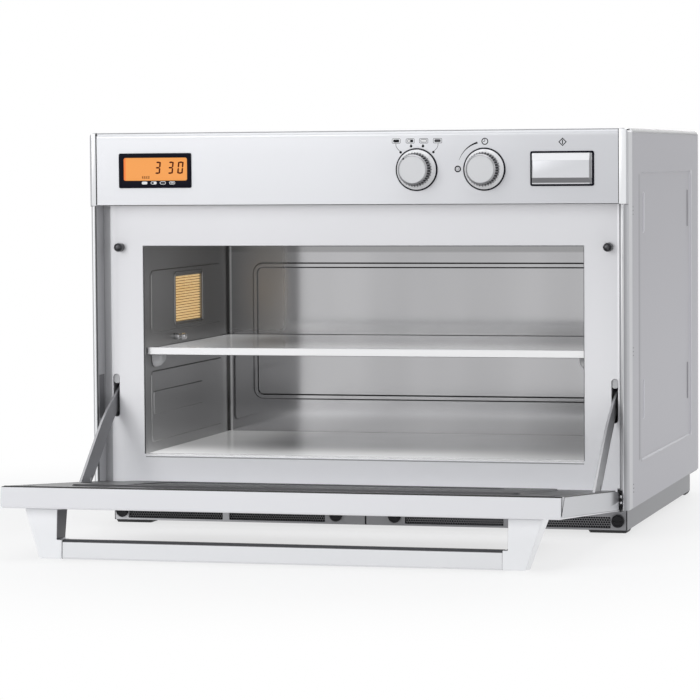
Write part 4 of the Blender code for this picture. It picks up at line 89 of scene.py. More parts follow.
class Wire:
    """A socket in a material's node tree."""

    def __init__(self, owner, socket):
        self.owner, self.socket = owner, socket

    def math(self, operation, *others):
        return self.owner.node("ShaderNodeMath", {"operation": operation}, self, *others)

    def reflected(self, operation, other):
        return self.owner.node("ShaderNodeMath", {"operation": operation}, other, self)

    def __add__(self, other):
        return self.math("ADD", other)

    def __mul__(self, other):
        return self.math("MULTIPLY", other)

    __radd__, __rmul__ = __add__, __mul__

    def __sub__(self, other):
        return self.math("SUBTRACT", other)

    def __rsub__(self, other):
        return self.reflected("SUBTRACT", other)

    def __truediv__(self, other):
        return self.math("DIVIDE", other)

    def __rtruediv__(self, other):
        return self.reflected("DIVIDE", other)

    def __abs__(self):
        return self.math("ABSOLUTE")

    def ramp(self, low, high, out_low=0.0, out_high=1.0):
        """Goes smoothly from one value to another while the wire goes from low to high."""
        return self.owner.node("ShaderNodeMapRange", {"interpolation_type": "SMOOTHSTEP"}, self, low, high, out_low, out_high)


# %% [markdown]
# A Finish starts from one Principled shader. Numbers that are the same all over are set on its sockets. What varies
# over the surface is worked out from Object coordinates, so it stays put when a piece moves.

# %% A finish


class Finish:
    """A procedural material around one Principled shader."""

    def __init__(self, name, colour, roughness, metallic=0.0, **more):
        self.material = bpy.data.materials.new(name)
        self.material.use_nodes = True
        self.tree = self.material.node_tree
        self.shader = next(n for n in self.tree.nodes if n.type == "BSDF_PRINCIPLED")
        self.colour = (*colour, 1)
        self.set(Base_Color=self.colour, Roughness=roughness, Metallic=metallic, **more)
        place = self.tree.nodes.new("ShaderNodeTexCoord")
        self.place = Wire(self, place.outputs["Object"])
        axes = self.tree.nodes.new("ShaderNodeSeparateXYZ")
        self.tree.links.new(place.outputs["Object"], axes.inputs[0])
        self.x, self.y, self.z = (Wire(self, socket) for socket in axes.outputs)

    def feed(self, socket, value):
        if isinstance(value, Wire):
            self.tree.links.new(value.socket, socket)
        else:
            socket.default_value = value

    def node(self, kind, settings, *values, out=0, **named):
        """Adds a node: its settings first, then values or wires for its sockets."""
        node = self.tree.nodes.new(kind)
        for key, value in settings.items():
            setattr(node, key, value)
        for key, value in enumerate(values):
            self.feed(node.inputs[key], value)
        for key, value in named.items():
            self.feed(node.inputs[key.replace("_", " ")], value)
        return Wire(self, node.outputs[out]) if node.outputs else None

    def set(self, **named):
        for key, value in named.items():
            self.feed(self.shader.inputs[key.replace("_", " ")], value)
        return self

    def noise(self, scale, detail=2.0, stretch=None):
        """Noise with about `scale` lumps per metre, drawn out along an axis if stretched."""
        place = self.place
        if stretch:
            place = self.node("ShaderNodeMapping", {}, place, Scale=stretch)
        return self.node("ShaderNodeTexNoise", {}, Vector=place, Scale=scale, Detail=detail)

    def mix(self, share, first, second):
        """A colour between two colours."""
        node = self.tree.nodes.new("ShaderNodeMix")
        node.data_type = "RGBA"
        for index, value in ((0, share), (6, first), (7, second)):
            self.feed(node.inputs[index], value)
        return Wire(self, node.outputs[2])

    def tint(self, share, first, second):
        """Base colour that goes from one colour to another."""
        return self.set(Base_Color=self.mix(share, (*first, 1), (*second, 1)))

    def bump(self, height, depth, strength=1.0):
        """Relief of a depth in metres."""
        node = self.node("ShaderNodeBump", {}, Height=height, Distance=depth, Strength=strength)
        return self.set(Normal=node)


print("shader helpers ready")

# %% [markdown]
# ## Finishes
# The oven's front is silver lacquer over steel and plastic: a pale, soft sheen with very fine grains. A fine noise
# in bump and roughness gives the grain, and a broad one keeps large faces from looking drawn with a ruler.

# %% Lacquers, paints and mouldings


def lacquer(name, colour, roughness, grain=1500, depth=0.02 * MM, metallic=0.0, **more):
    """A sprayed coat: fine orange peel, and a sheen that changes a little from place to place."""
    coat = Finish(name, colour, roughness, metallic, **more)
    fine, broad = coat.noise(grain, 3), coat.noise(5, 2)
    coat.tint(broad.ramp(0.3, 0.7), tuple(c * 0.985 for c in colour), tuple(min(1, c * 1.01) for c in colour))
    coat.set(Roughness=roughness + (broad - 0.5) * 0.08 + (fine - 0.5) * 0.05)
    return coat.bump(fine, depth)


BLACK = lacquer("black_moulding", (0.006, 0.006, 0.012), 0.5, 1600, 0.01 * MM, Specular_IOR_Level=0.05)
RUBBER = lacquer("rubber", (0.02, 0.02, 0.021), 0.7, 700, 0.05 * MM)
print("lacquers ready")

# %% [markdown]
# The cavity, the plate around it and most inner parts are steel sheet. Brushing leaves hair-thin lines along one
# direction. Noise drawn out along that direction, in bump and roughness, makes the soft streaks of the reflections.

# %% Metals and ceramics


def brushed(name, colour, roughness, along, depth=0.006 * MM, metallic=1.0):
    """Steel sheet brushed along an axis given by its index."""
    sheet = Finish(name, colour, roughness, metallic)
    stretch = tuple(0.02 if axis == along else 1.0 for axis in range(3))
    hair, cloud = sheet.noise(2600, 2, stretch), sheet.noise(7, 3)
    sheet.set(Roughness=roughness + (hair - 0.5) * 0.12 + (cloud - 0.5) * 0.10)
    sheet.tint(cloud, tuple(c * 0.93 for c in colour), tuple(min(1, c * 1.04) for c in colour))
    return sheet.bump(hair, depth)


ZINC = brushed("zinc_sheet", (0.42, 0.43, 0.45), 0.40, 0, 0.01 * MM, 0.8)
BRIGHT = brushed("bright_steel", (0.72, 0.72, 0.73), 0.22, 2)
WINDOW = Finish("window_glass", (0.012, 0.013, 0.015), 0.04)
WINDOW.set(Roughness=0.05 + WINDOW.noise(9, 2) * 0.04)
print("metals ready")

# %% [markdown]
# ## Mesh helpers
# Most visible shapes are sheet metal and mouldings: outlines pushed along an axis, lofts between rounded
# rectangles, and turned profiles. A few functions on bmesh make them, all in the oven's own axes with Y = 0 at
# the front plane.

# %% Lofts, prisms and turned shapes


def mesh_of(bm, fix=True):
    if fix:
        bmesh.ops.recalc_face_normals(bm, faces=bm.faces)
    mesh = bpy.data.meshes.new("shape")
    bm.to_mesh(mesh)
    bm.free()
    return mesh


def spot(axis, a, b, h):
    return Vector({"X": (h, a, b), "Y": (a, h, b), "Z": (a, b, h)}[axis])


def loft(loops, ring=False):
    """Quads between loops with as many points each, closed by caps or back to the first loop."""
    bm = bmesh.new()
    rows = [[bm.verts.new(point) for point in loop] for loop in loops]
    count = len(rows[0])
    for row, after in list(zip(rows, rows[1:])) + ([(rows[-1], rows[0])] if ring else []):
        for k in range(count):
            bm.faces.new((row[k], row[(k + 1) % count], after[(k + 1) % count], after[k]))
    if not ring:
        bm.faces.new(rows[0])
        bm.faces.new(rows[-1])
    return mesh_of(bm)


def prism(outline, axis, span):
    return loft([[spot(axis, a, b, h) for a, b in outline] for h in span])


def block(x, y, z):
    return prism([(x[0], y[0]), (x[1], y[0]), (x[1], y[1]), (x[0], y[1])], "Z", z)


def rounded(a, b, radius, steps=6):
    radius = max(min(radius, (a[1] - a[0]) / 2.01, (b[1] - b[0]) / 2.01), 0.01 * MM)
    centres = ((a[1] - radius, b[0] + radius), (a[1] - radius, b[1] - radius),
               (a[0] + radius, b[1] - radius), (a[0] + radius, b[0] + radius))
    return [(ca + radius * math.cos(turn), cb + radius * math.sin(turn)) for corner, (ca, cb) in enumerate(centres)
            for turn in (math.pi / 2 * (corner - 1 + k / steps) for k in range(steps + 1))]


def inset(a, b, radius, by, steps=6):
    return rounded((a[0] + by, a[1] - by), (b[0] + by, b[1] - by), radius - by, steps)


def pad(a, b, radius, axis, rows, ring=False, steps=6):
    """Rounded rectangles stacked along an axis; each row is how far it is drawn in, and its height."""
    return loft([[spot(axis, p, q, height) for p, q in inset(a, b, radius, by, steps)] for by, height in rows], ring)


def turned(profile, axis, centre, steps=48, ring=False):
    turns = [2 * math.pi * k / steps for k in range(steps)]
    return loft([[spot(axis, centre[0] + r * math.cos(t), centre[1] + r * math.sin(t), h) for t in turns]
                 for r, h in profile], ring)


def group(*meshes):
    bm = bmesh.new()
    for mesh in meshes:
        bm.from_mesh(mesh)
    return mesh_of(bm, False)


def boolean(operation, base, *tools):
    """An exact Boolean of one mesh with several others."""
    host = bpy.data.objects.new("host", base)
    helpers = [bpy.data.objects.new("helper", tool) for tool in tools]
    for piece in [host, *helpers]:
        scene.collection.objects.link(piece)
    for helper in helpers:
        step = host.modifiers.new("step", "BOOLEAN")
        step.operation, step.solver, step.object = operation, "EXACT", helper
    result = bpy.data.meshes.new_from_object(host.evaluated_get(bpy.context.evaluated_depsgraph_get()))
    for piece in [host, *helpers]:
        bpy.data.objects.remove(piece)
    return result


def mirrored(mesh):
    other = mesh.copy()
    other.transform(Matrix.Scale(-1, 4, (1, 0, 0)))
    other.flip_normals()
    return other


print("mesh helpers ready")

# %% [markdown]
# Real edges are never knife sharp: a thin round catches the light along each fold and cut. The same step gives it to
# each piece that is given an edge width. A bevel modifier rounds the sharp edges, and weighted normals keep the flat
# faces flat.

# %% Finish a piece and tie it to its body
SHIFT = Matrix.Translation((0, FRONT, 0))
HINGE = Vector((0, 6.3 * MM, 34 * MM))
OPEN = Matrix.Translation(HINGE) @ Matrix.Rotation(math.radians(85.4), 4, "X") @ Matrix.Translation(-HINGE)
made = []


def piece(name, mesh, finish, body, slot, replaces=(), edge=0.0, segments=2, place=SHIFT, angle=30):
    """Adds a finished piece: rounded edges, finish, body and the CAD nodes it stands for; the material slot is not
    used.
    """
    mesh.transform(place)
    thing = bpy.data.objects.new(name, mesh)
    scene.collection.objects.link(thing)
    finishes = finish if isinstance(finish, (list, tuple)) else [finish]
    if len(mesh.materials) < len(finishes):
        mesh.materials.clear()
        for one in finishes:
            mesh.materials.append(one.material)
    if edge:
        rounding = thing.modifiers.new("edges", "BEVEL")
        rounding.width, rounding.segments, rounding.limit_method = edge, segments, "ANGLE"
        rounding.angle_limit, rounding.use_clamp_overlap = math.radians(angle), True
        rounding.harden_normals = False
        mesh.shade_smooth()
        weights = thing.modifiers.new("flat faces", "WEIGHTED_NORMAL")
        weights.keep_sharp = True
        plain = bpy.data.meshes.new_from_object(thing.evaluated_get(bpy.context.evaluated_depsgraph_get()))
        thing.modifiers.clear()
        thing.data = plain
    else:
        mesh.shade_smooth()
        mesh.set_sharp_from_angle(angle=math.radians(angle))
    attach(thing, body)
    if replaces:
        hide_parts(*([replaces] if isinstance(replaces, str) else replaces))
    made.append(name)
    return thing


def cad_mesh(node):
    """A CAD node's mesh, merged and with its flat faces whole again."""
    bm = bmesh.new()
    bm.from_mesh(frame["nodes"][node].data)
    bmesh.ops.remove_doubles(bm, verts=bm.verts, dist=0.002 * MM)
    bmesh.ops.dissolve_limit(bm, angle_limit=math.radians(0.4), verts=bm.verts, edges=bm.edges)
    mesh = mesh_of(bm)
    mesh.materials.clear()
    return mesh


def soften(node, finish, edge=0.4 * MM, segments=2, name=None):
    """Stands in for a CAD node with the same shape and rounded edges."""
    body = next(body for body, members in frame["record"]["behaviour"]["bodies"].items() if node in members)
    slot = next(part["material_slot"] for part in frame["record"]["subparts"] if part["node"] == node)
    return piece(name or node + "_dressed", cad_mesh(node), finish, body, slot, node, edge, segments, Matrix())


def coat(node, finish):
    """Keeps a CAD node and gives it a finish."""
    thing = frame["nodes"][node]
    thing.data.materials.clear()
    thing.data.materials.append(finish.material)


print("piece helpers ready")

# %% [markdown]
# ## Floor and light
# The oven stands on a plain pale floor under soft studio light. One broad lamp stands at the front left, so the
# front gets darker towards the right and the side falls into a calm grey. The white backdrop is only a colour that
# the camera, reflections and glass see: it adds no light. Close to the oven the floor keeps the soft shadow.

# %% Studio
WHITE = (1, 1, 1, 1)
world = bpy.data.worlds.new("studio")
scene.world = world
world.use_nodes = True


class Studio(Finish):
    """Shader arithmetic for the world's node tree."""

    def __init__(self, tree):
        self.tree = tree


sky = Studio(world.node_tree)
sky.tree.nodes.clear()
path = sky.tree.nodes.new("ShaderNodeLightPath")
camera_ray, glossy_ray, glass_ray = (Wire(sky, path.outputs[name + " Ray"]) for name in (
    "Is Camera", "Is Glossy", "Is Transmission"))
backdrop = sky.node("ShaderNodeBackground", {}, WHITE, 1.0)
daylight = sky.node("ShaderNodeBackground", {}, (0.94, 0.97, 1, 1), 0.42)
seen = camera_ray.math("MAXIMUM", glossy_ray).math("MAXIMUM", glass_ray)
sky.node("ShaderNodeOutputWorld", {}, sky.node("ShaderNodeMixShader", {}, seen, daylight, backdrop))
scene.view_settings.view_transform = "Standard"


def lamp(name, place, aim, size, power, colour=(1, 1, 1)):
    """A rectangular soft box that looks at a point."""
    light = bpy.data.objects.new(name, bpy.data.lights.new(name, "AREA"))
    light.data.shape, light.data.energy, light.data.color = "RECTANGLE", power, colour
    light.data.size, light.data.size_y = size
    light.location = place
    light.rotation_euler = (Vector(aim) - Vector(place)).to_track_quat("-Z", "Y").to_euler()
    scene.collection.objects.link(light)


lamp("key", (-1.25, -2.7, 1.35), (0.0, -0.05, 0.25), (1.6, 1.4), 28)
lamp("sky box", (0.0, -0.3, 2.4), (0.0, 0.1, 0.2), (2.2, 2.0), 20)
lamp("side box", (2.6, 0.2, 0.9), (0.3, 0.1, 0.25), (1.2, 1.2), 6)
lamp("back box", (0.6, 2.6, 1.3), (0.0, 0.3, 0.25), (1.4, 1.2), 14)

floor = bpy.data.objects.new("floor", turned([(8, 0.0), (8, -2 * MM)], "Z", (0, 0), 96))
scene.collection.objects.link(floor)
GROUND = Finish("floor_paint", (0.90, 0.90, 0.90), 0.6)
GROUND.set(Roughness=0.55 + GROUND.noise(3, 2) * 0.1)
floor.data.materials.append(GROUND.material)
far = GROUND.node("ShaderNodeVectorMath", {"operation": "LENGTH"}, GROUND.place, out=1).ramp(0.45, 1.0, 0.68, 1.0)
glow = GROUND.node("ShaderNodeEmission", {}, WHITE, 1.0)
mixed = GROUND.node("ShaderNodeMixShader", {}, far, Wire(GROUND, GROUND.shader.outputs[0]), glow)
GROUND.feed(next(n for n in GROUND.tree.nodes if n.type == "OUTPUT_MATERIAL").inputs[0], mixed)
print("stage ready")

# %% [markdown]
# ## Geometry Nodes from Python
# What repeats is grown by a small Geometry Nodes tree: one ridge, one bar or one cell is placed many times along a
# rule. The tree's inputs have names, so its sizes can be changed in the modifier too. At the end the instances are
# made real and get their material, and the result is kept as a plain mesh.

# %% A tree that repeats a shape


class Pattern(Finish):
    """A Geometry Nodes tree with named inputs."""

    def __init__(self, name, **sizes):
        self.tree = bpy.data.node_groups.new(name, "GeometryNodeTree")
        self.sizes = sizes
        self.tree.interface.new_socket("Geometry", in_out="OUTPUT", socket_type="NodeSocketGeometry")
        for key, value in sizes.items():
            kind = "NodeSocketInt" if isinstance(value, int) else "NodeSocketFloat"
            self.tree.interface.new_socket(key, in_out="INPUT", socket_type=kind)
        source = self.tree.nodes.new("NodeGroupInput")
        self.size = {key: Wire(self, source.outputs[key]) for key in sizes}

    def vector(self, x=0.0, y=0.0, z=0.0):
        return self.node("ShaderNodeCombineXYZ", {}, x, y, z)

    def grown(self, geometry, finish):
        """Runs the tree once and gives the plain mesh that it makes."""
        real = self.node("GeometryNodeRealizeInstances", {}, geometry)
        coated = self.node("GeometryNodeSetMaterial", {}, Geometry=real, Material=finish.material)
        sink = self.tree.nodes.new("NodeGroupOutput")
        self.feed(sink.inputs[0], coated)
        host = bpy.data.objects.new("host", bpy.data.meshes.new("seed"))
        scene.collection.objects.link(host)
        step = host.modifiers.new("pattern", "NODES")
        step.node_group = self.tree
        for item in self.tree.interface.items_tree:
            if item.in_out == "INPUT":
                step[item.identifier] = self.sizes[item.name]
        mesh = bpy.data.meshes.new_from_object(host.evaluated_get(bpy.context.evaluated_depsgraph_get()))
        bpy.data.objects.remove(host)
        print(self.tree.name, "grew", len(mesh.polygons), "faces")
        return mesh


# %% [markdown]
# ## Control panel
# The panel is a plain silver moulding across the top of the oven, with a rounded upper edge that catches the light.
# Painted shade darkens its colour towards the right and on that rounding, and draws a thin dark line along the very top
# edge.
# Its shape is already right in the CAD model, so the piece is a softened copy: the sharp edges get a thin round.

# %% Panel


def between(wire, low, high, soft=0.2 * MM):
    """1 between two places on a wire and 0 outside them, with soft ends."""
    return wire.ramp(low - soft, low + soft) * (1 - wire.ramp(high - soft, high + soft))


PANEL = Finish("panel_silver", (0.70, 0.705, 0.73), 0.34, 0.25)
# Painted shade: darker towards the right, darker on the upper rounding, and a thin dark line along the top edge.
shade_to_right = PANEL.x.ramp(-60 * MM, 330 * MM)
top_edge_shade, top_round_shade = PANEL.z.ramp(469.2 * MM, 470.0 * MM), PANEL.z.ramp(461 * MM, 465 * MM)
fine, broad = PANEL.noise(1500, 3), PANEL.noise(5, 2)
silver = PANEL.mix(shade_to_right, PANEL.mix(broad, (0.69, 0.695, 0.72, 1), (0.71, 0.715, 0.74, 1)), (0.565, 0.57, 0.595, 1))
silver = PANEL.mix(top_round_shade, silver, PANEL.mix(shade_to_right, (0.66, 0.665, 0.685, 1), (0.60, 0.605, 0.63, 1)))
top_edge_shade = top_edge_shade * (PANEL.y - FRONT).ramp(4.5 * MM, 3 * MM)
PANEL.set(Base_Color=PANEL.mix(top_edge_shade, silver, (0.10, 0.10, 0.105, 1)), Roughness=0.34 + (broad - 0.5) * 0.08 + (fine - 0.5) * 0.05)
PANEL.bump(fine, 0.02 * MM)
soften("control_panel", PANEL, 0.5 * MM, 3)

# %% [markdown]
# ## Display
# A black frame holds the amber display. The frame is lofted between two rounded rectangles. The amber plate lights
# itself from behind; a deeper orange strip along its left edge is painted shade, where the frame's side wall shades the
# plate.

# %% Display frame and glowing plate
BEZEL_X, BEZEL_Z = (-288.2 * MM, -198 * MM), (405.2 * MM, 446.4 * MM)
WINDOW_X, WINDOW_Z = (-282.3 * MM, -203.1 * MM), (413.9 * MM, 441.1 * MM)
BEZEL_OUT, BEZEL_IN = -1.5 * MM, 2 * MM


def frame_between(outer, inner, radius, inner_radius, rim, depth, front, soft=0.5 * MM):
    """A flat frame around an opening, with soft front edges."""
    rows = [rounded(*outer, radius), rounded(*outer, radius), inset(*outer, radius, soft * 0.3), inset(*outer, radius, soft),
            inset(*inner, inner_radius, -soft), inset(*inner, inner_radius, -soft * 0.3), rounded(*inner, inner_radius),
            rounded(*inner, inner_radius)]
    heights = [depth, front + soft, front + soft * 0.3, front, front, front + soft * 0.3, front + soft, rim]
    return loft([[spot("Y", a, b, h) for a, b in row] for row, h in zip(rows, heights)], True)


piece("display_frame", frame_between((BEZEL_X, BEZEL_Z), (WINDOW_X, WINDOW_Z), 2 * MM, 2.4 * MM, 1 * MM, BEZEL_IN, BEZEL_OUT),
      BLACK, "case", "black_plastic", "display_bezel")

AMBER = Finish("display_amber", (0.42, 0.15, 0.03), 0.12)
# Painted shade: a deeper orange strip along the left edge of the glow, where the frame shades it.
bezel_edge_shade = AMBER.x.ramp(-280.6 * MM, -278.6 * MM)
cloud = AMBER.noise(22, 2)
AMBER.set(Emission_Color=AMBER.mix(bezel_edge_shade, (0.78, 0.12, 0.012, 1), AMBER.mix(cloud, (0.80, 0.32, 0.065, 1), (0.74, 0.30, 0.07, 1))),
          Emission_Strength=0.66, Roughness=0.10 + cloud * 0.06)
plate_x, plate_z = (WINDOW_X[0] - 0.2 * MM, WINDOW_X[1] + 0.2 * MM), (WINDOW_Z[0] - 0.05 * MM, WINDOW_Z[1] + 0.2 * MM)
piece("display_plate", pad(plate_x, plate_z, 1.6 * MM, "Y", [(0, 2 * MM), (0, -0.2 * MM), (0.4 * MM, -0.6 * MM)]),
      AMBER, "case", "amber_glass", "display_glass")
print("display window", round((WINDOW_X[1] - WINDOW_X[0]) / MM, 1), "mm wide")

# %% [markdown]
# The figures are made of seven bars each, leaning a little. Every bar is a flat hexagon with pointed ends, so that
# neighbours almost touch, as on a liquid crystal display. The table says which bars each figure lights.

# %% Figures on the display
BARS = {"0": "abcdef", "3": "abcdg", "8": "abcdefg"}
LEAN = 0.10
GLYPH_FACE = -0.66 * MM


def figure(sign, left, bottom, width, height, stroke, lean=LEAN):
    """Seven-bar figure whose lower left corner stands at (left, bottom)."""
    half, gap, middle = stroke / 2, stroke * 0.12, height / 2
    ends = {"a": ((0, height), (width, height)), "g": ((0, middle), (width, middle)), "d": ((0, 0), (width, 0)),
            "f": ((0, middle), (0, height)), "b": ((width, middle), (width, height)),
            "e": ((0, 0), (0, middle)), "c": ((width, 0), (width, middle))}
    shapes = []
    for bar in BARS[sign]:
        (x0, z0), (x1, z1) = ends[bar]
        flat = z0 == z1
        z0 += {"a": -half, "d": half}.get(bar, 0)
        z1 += {"a": -half, "d": half}.get(bar, 0)
        if flat:
            x0, x1 = x0 + half + gap, x1 - half - gap
            outline = [(x0, z0), (x0 + half, z0 - half), (x1 - half, z0 - half), (x1, z0), (x1 - half, z0 + half), (x0 + half, z0 + half)]
        else:
            side = half if x0 == 0 else -half
            z0, z1, x0 = z0 + gap + half, z1 - gap - half, x0 + side
            outline = [(x0, z0 - half), (x0 + half, z0), (x0 + half, z1), (x0, z1 + half), (x0 - half, z1), (x0 - half, z0)]
        shapes.append(prism([(left + x + z * lean, bottom + z) for x, z in outline], "Y", (GLYPH_FACE, GLYPH_FACE - 0.05 * MM)))
    return group(*shapes)


SEGMENT = lacquer("segment_brown", (0.07, 0.008, 0.003), 0.5, Specular_IOR_Level=0.05)
DIGIT_HEIGHT, DIGIT_WIDTH, DIGIT_STROKE = 14.6 * MM, 7.0 * MM, 1.85 * MM
digits = [figure(sign, left * MM, 421.9 * MM, DIGIT_WIDTH, DIGIT_HEIGHT, DIGIT_STROKE)
          for sign, left in (("3", -243.9), ("3", -227.9), ("0", -215.6))]
digits += [figure("8", (-259.2 + 2.55 * k) * MM, 416.3 * MM, 1.5 * MM, 3 * MM, 0.42 * MM, 0) for k in range(4)]
piece("display_digits", group(*digits), SEGMENT, "case", "amber_glass")
print("figures", len(digits))

# %% [markdown]
# ## Printed signs
# The signs on the panel are ink, so they are flat shapes a few hundredths of a millimetre thick. Rings, rounded
# boxes and tapered strokes share one helper each. They are generic signs: dish fill levels, a clock, a start mark.

# %% Flat ink shapes
INK_FACE, INK_DEPTH = -0.05 * MM, 0.02 * MM
LIGHT_INK = lacquer("print_grey", (0.025, 0.025, 0.028), 0.55)
WHITE_INK = lacquer("print_white", (0.85, 0.85, 0.85), 0.5)
DARK_INK = lacquer("print_black", (0.008, 0.008, 0.010), 0.6, Specular_IOR_Level=0.15)


def flat(outline, face=INK_FACE):
    return prism(outline, "Y", (face, face + INK_DEPTH))


def outline_ring(outer, inner, face=INK_FACE):
    """Flat ring between two outlines with as many points."""
    rows = [(outer, face + INK_DEPTH), (outer, face), (inner, face), (inner, face + INK_DEPTH)]
    return loft([[spot("Y", a, b, h) for a, b in row] for row, h in rows], True)


def box_ring(a, b, radius, stroke, face=INK_FACE):
    return outline_ring(rounded(a, b, radius), inset(a, b, radius, stroke), face)


def disc(centre, radius, steps=28):
    return [(centre[0] + radius * math.cos(2 * math.pi * k / steps), centre[1] + radius * math.sin(2 * math.pi * k / steps))
            for k in range(steps)]


def stroke(points, widths, face=INK_FACE):
    """Band along a line of points, with its own width at each."""
    left, right = [], []
    for k, (x, z) in enumerate(points):
        (x0, z0), (x1, z1) = points[max(k - 1, 0)], points[min(k + 1, len(points) - 1)]
        size = math.hypot(x1 - x0, z1 - z0)
        nx, nz, w = -(z1 - z0) / size, (x1 - x0) / size, widths[k] / 2
        left.append((x + nx * w, z + nz * w))
        right.append((x - nx * w, z - nz * w))
    return flat(left + right[::-1], face)


def bow(centre, radius, start, stop, steps=20):
    return [(centre[0] + radius * math.cos(math.radians(start + (stop - start) * k / steps)),
             centre[1] + radius * math.sin(math.radians(start + (stop - start) * k / steps))) for k in range(steps + 1)]


POWER, TIMER = (76.3 * MM, 425 * MM), (156.8 * MM, 425 * MM)
ICON_Z = (455.4 * MM, 461.2 * MM)
ICONS = [(46.9, 57.2), (63.6, 73.9), (79.6, 90.2), (96.1, 106.7)]
dark, grey, white = [], [], []
for number, (x0, x1) in enumerate(ICONS):
    x, z = (x0 * MM, x1 * MM), ICON_Z
    grey.append(box_ring(x, z, 1.4 * MM, 0.5 * MM))
    inner_x, inner_z = (x[0] + 1.6 * MM, x[1] - 1.6 * MM), (z[0] + 1.25 * MM, z[1] - 1.25 * MM)
    ring = box_ring(inner_x, inner_z, 1.1 * MM, 0.55 * MM)
    fill = [(inner_x[0] + 0.5 * MM, inner_x[1] - 0.5 * MM), (inner_z[0] + 0.5 * MM, inner_z[1] - 0.5 * MM)]
    middle = sum(inner_x) / 2
    (dark if number == 0 else grey).append(ring)
    if number == 0:
        dark.append(flat(rounded(*fill, 0.6 * MM)))
    if number == 1:
        white.append(flat(rounded((fill[0][0], middle), fill[1], 0.5 * MM)))
        dark.append(flat(rounded((middle, inner_x[1]), inner_z, 0.5 * MM), INK_FACE - 0.01 * MM))
    if number == 2:
        white.append(flat(rounded(*fill, 0.6 * MM)))
    if number == 3:
        grey.append(flat(rounded(*fill, 0.6 * MM), INK_FACE + 0.01 * MM))
leader = [(51.6, 455.3), (51.7, 452.6), (53.0, 449.9), (57.3, 445.4)]
for points in (leader, [(153.6 - x, z - 0.2) for x, z in leader]):
    grey.append(stroke([(x * MM, z * MM) for x, z in points], [0.5 * MM] * 4))
for x, z in ((57.3, 445.2), (96.4, 445.2)):
    dark.append(flat(disc((x * MM, z * MM), 1.5 * MM)))
for x, z in ((69.8, 452.1), (84.0, 452.1)):
    dark.append(flat([(x * MM, (z + 2.6) * MM)] + bow((x * MM, z * MM), 1.5 * MM, 150, 390, 16)))
sweep = bow(TIMER, 31.7 * MM, 104.5, 160, 24)
dark.append(stroke(sweep, [(2.3 - 2.0 * (k / 24) ** 0.7) * MM for k in range(25)]))
clock = (157.5 * MM, 457.1 * MM)
dark.append(outline_ring(disc(clock, 4.05 * MM), disc(clock, 2.95 * MM)))
dark.append(stroke([(clock[0], clock[1] + 2.6 * MM), clock, (clock[0] - 2.1 * MM, clock[1])], [0.8 * MM] * 3))
knob_sign = (125.3 * MM, 425.4 * MM)
dark.append(outline_ring(disc(knob_sign, 3.9 * MM, 24), disc(knob_sign, 2.4 * MM, 24)))
grey.append(outline_ring(disc(knob_sign, 1.7 * MM, 6), disc(knob_sign, 1.2 * MM, 6)))
start = (248.7 * MM, 455.7 * MM)
dark.append(outline_ring(disc(start, 4.9 * MM, 4), disc(start, 3.5 * MM, 4)))
dark.append(stroke([(start[0], start[1] - 2.6 * MM), (start[0], start[1] + 2.6 * MM)], [1.1 * MM] * 2))
for name, shapes, finish in (("signs_black", dark, DARK_INK), ("signs_grey", grey, LIGHT_INK), ("signs_white", white, WHITE_INK)):
    piece(name, group(*shapes), finish, "case", "black_plastic")

# %% [markdown]
# The same four fill levels stand in white under the display window, so that the lit mark above each one says which
# power is set.

# %% Signs on the display frame
FRAME_FACE = BEZEL_OUT - 0.03 * MM
rows = []
for number, (x0, x1) in enumerate(((-259.4, -252.4), (-248.1, -240.9), (-236.7, -229.5), (-225.2, -217.9))):
    x, z = (x0 * MM, x1 * MM), (409.5 * MM, 413.0 * MM)
    rows.append(box_ring(x, z, 1.5 * MM, 0.55 * MM, FRAME_FACE))
    if number == 0:
        rows.append(flat(inset(x, z, 1.5 * MM, 0.5 * MM), FRAME_FACE))
    if number == 1:
        rows.append(flat(rounded((sum(x) / 2, x[1] - 0.5 * MM), (z[0] + 0.5 * MM, z[1] - 0.5 * MM), 0.6 * MM), FRAME_FACE))
    if number == 3:
        rows.append(stroke([(x[0] + 1.6 * MM, sum(z) / 2), (x[1] - 1.6 * MM, sum(z) / 2)], [0.9 * MM] * 2, FRAME_FACE))
piece("signs_display", group(*rows), WHITE_INK, "case", "black_plastic")
print("signs", len(dark) + len(grey) + len(white) + len(rows))

# %% [markdown]
# ## Knobs
# Each knob is a turned shape: a polished skirt that spreads like a bell, a grip with ridges, and a flat cap with a thin
# bright bevel. A thin black ring closes the gap to the panel; its black is painted shade for the shadow in that gap.
# The ridges repeat, so Geometry Nodes place them.

# %% Ridges of the grip
RING, SKIRT, GRIP_LOW, GRIP_HIGH, CAP_EDGE = 24.9 * MM, 23.3 * MM, 19.4 * MM, 17.2 * MM, 15.9 * MM
GRIP_START, GRIP_END, CAP_FACE = -9.0 * MM, -20.6 * MM, -22.4 * MM

ridges = Pattern("grip ridges", Count=36, Low=GRIP_LOW, High=GRIP_HIGH, Depth=GRIP_START - GRIP_END, Thick=0.80 * MM)
given = ridges.size
ring_points = ridges.node("GeometryNodeMeshCircle", {"fill_type": "NONE"}, given["Count"], (given["Low"] + given["High"]) * 0.5)
one = ridges.node("GeometryNodeMeshCone", {"fill_type": "NGON"}, 6, 2, 1, given["Thick"] * 0.8, given["Thick"], given["Depth"])
one = ridges.node("GeometryNodeTransform", {}, Geometry=one, Translation=ridges.vector(0.0, 0.0, given["Depth"] * -0.5))
number = ridges.node("GeometryNodeInputIndex", {})
turn = number * (2 * math.pi) / given["Count"]
lean = ridges.node("ShaderNodeMath", {"operation": "ARCTANGENT"}, (given["Low"] - given["High"]) / given["Depth"])
turned_point = ridges.node("FunctionNodeRotateEuler", {}, ridges.vector(0.0, lean * -1.0, 0.0), ridges.vector(0.0, 0.0, turn))
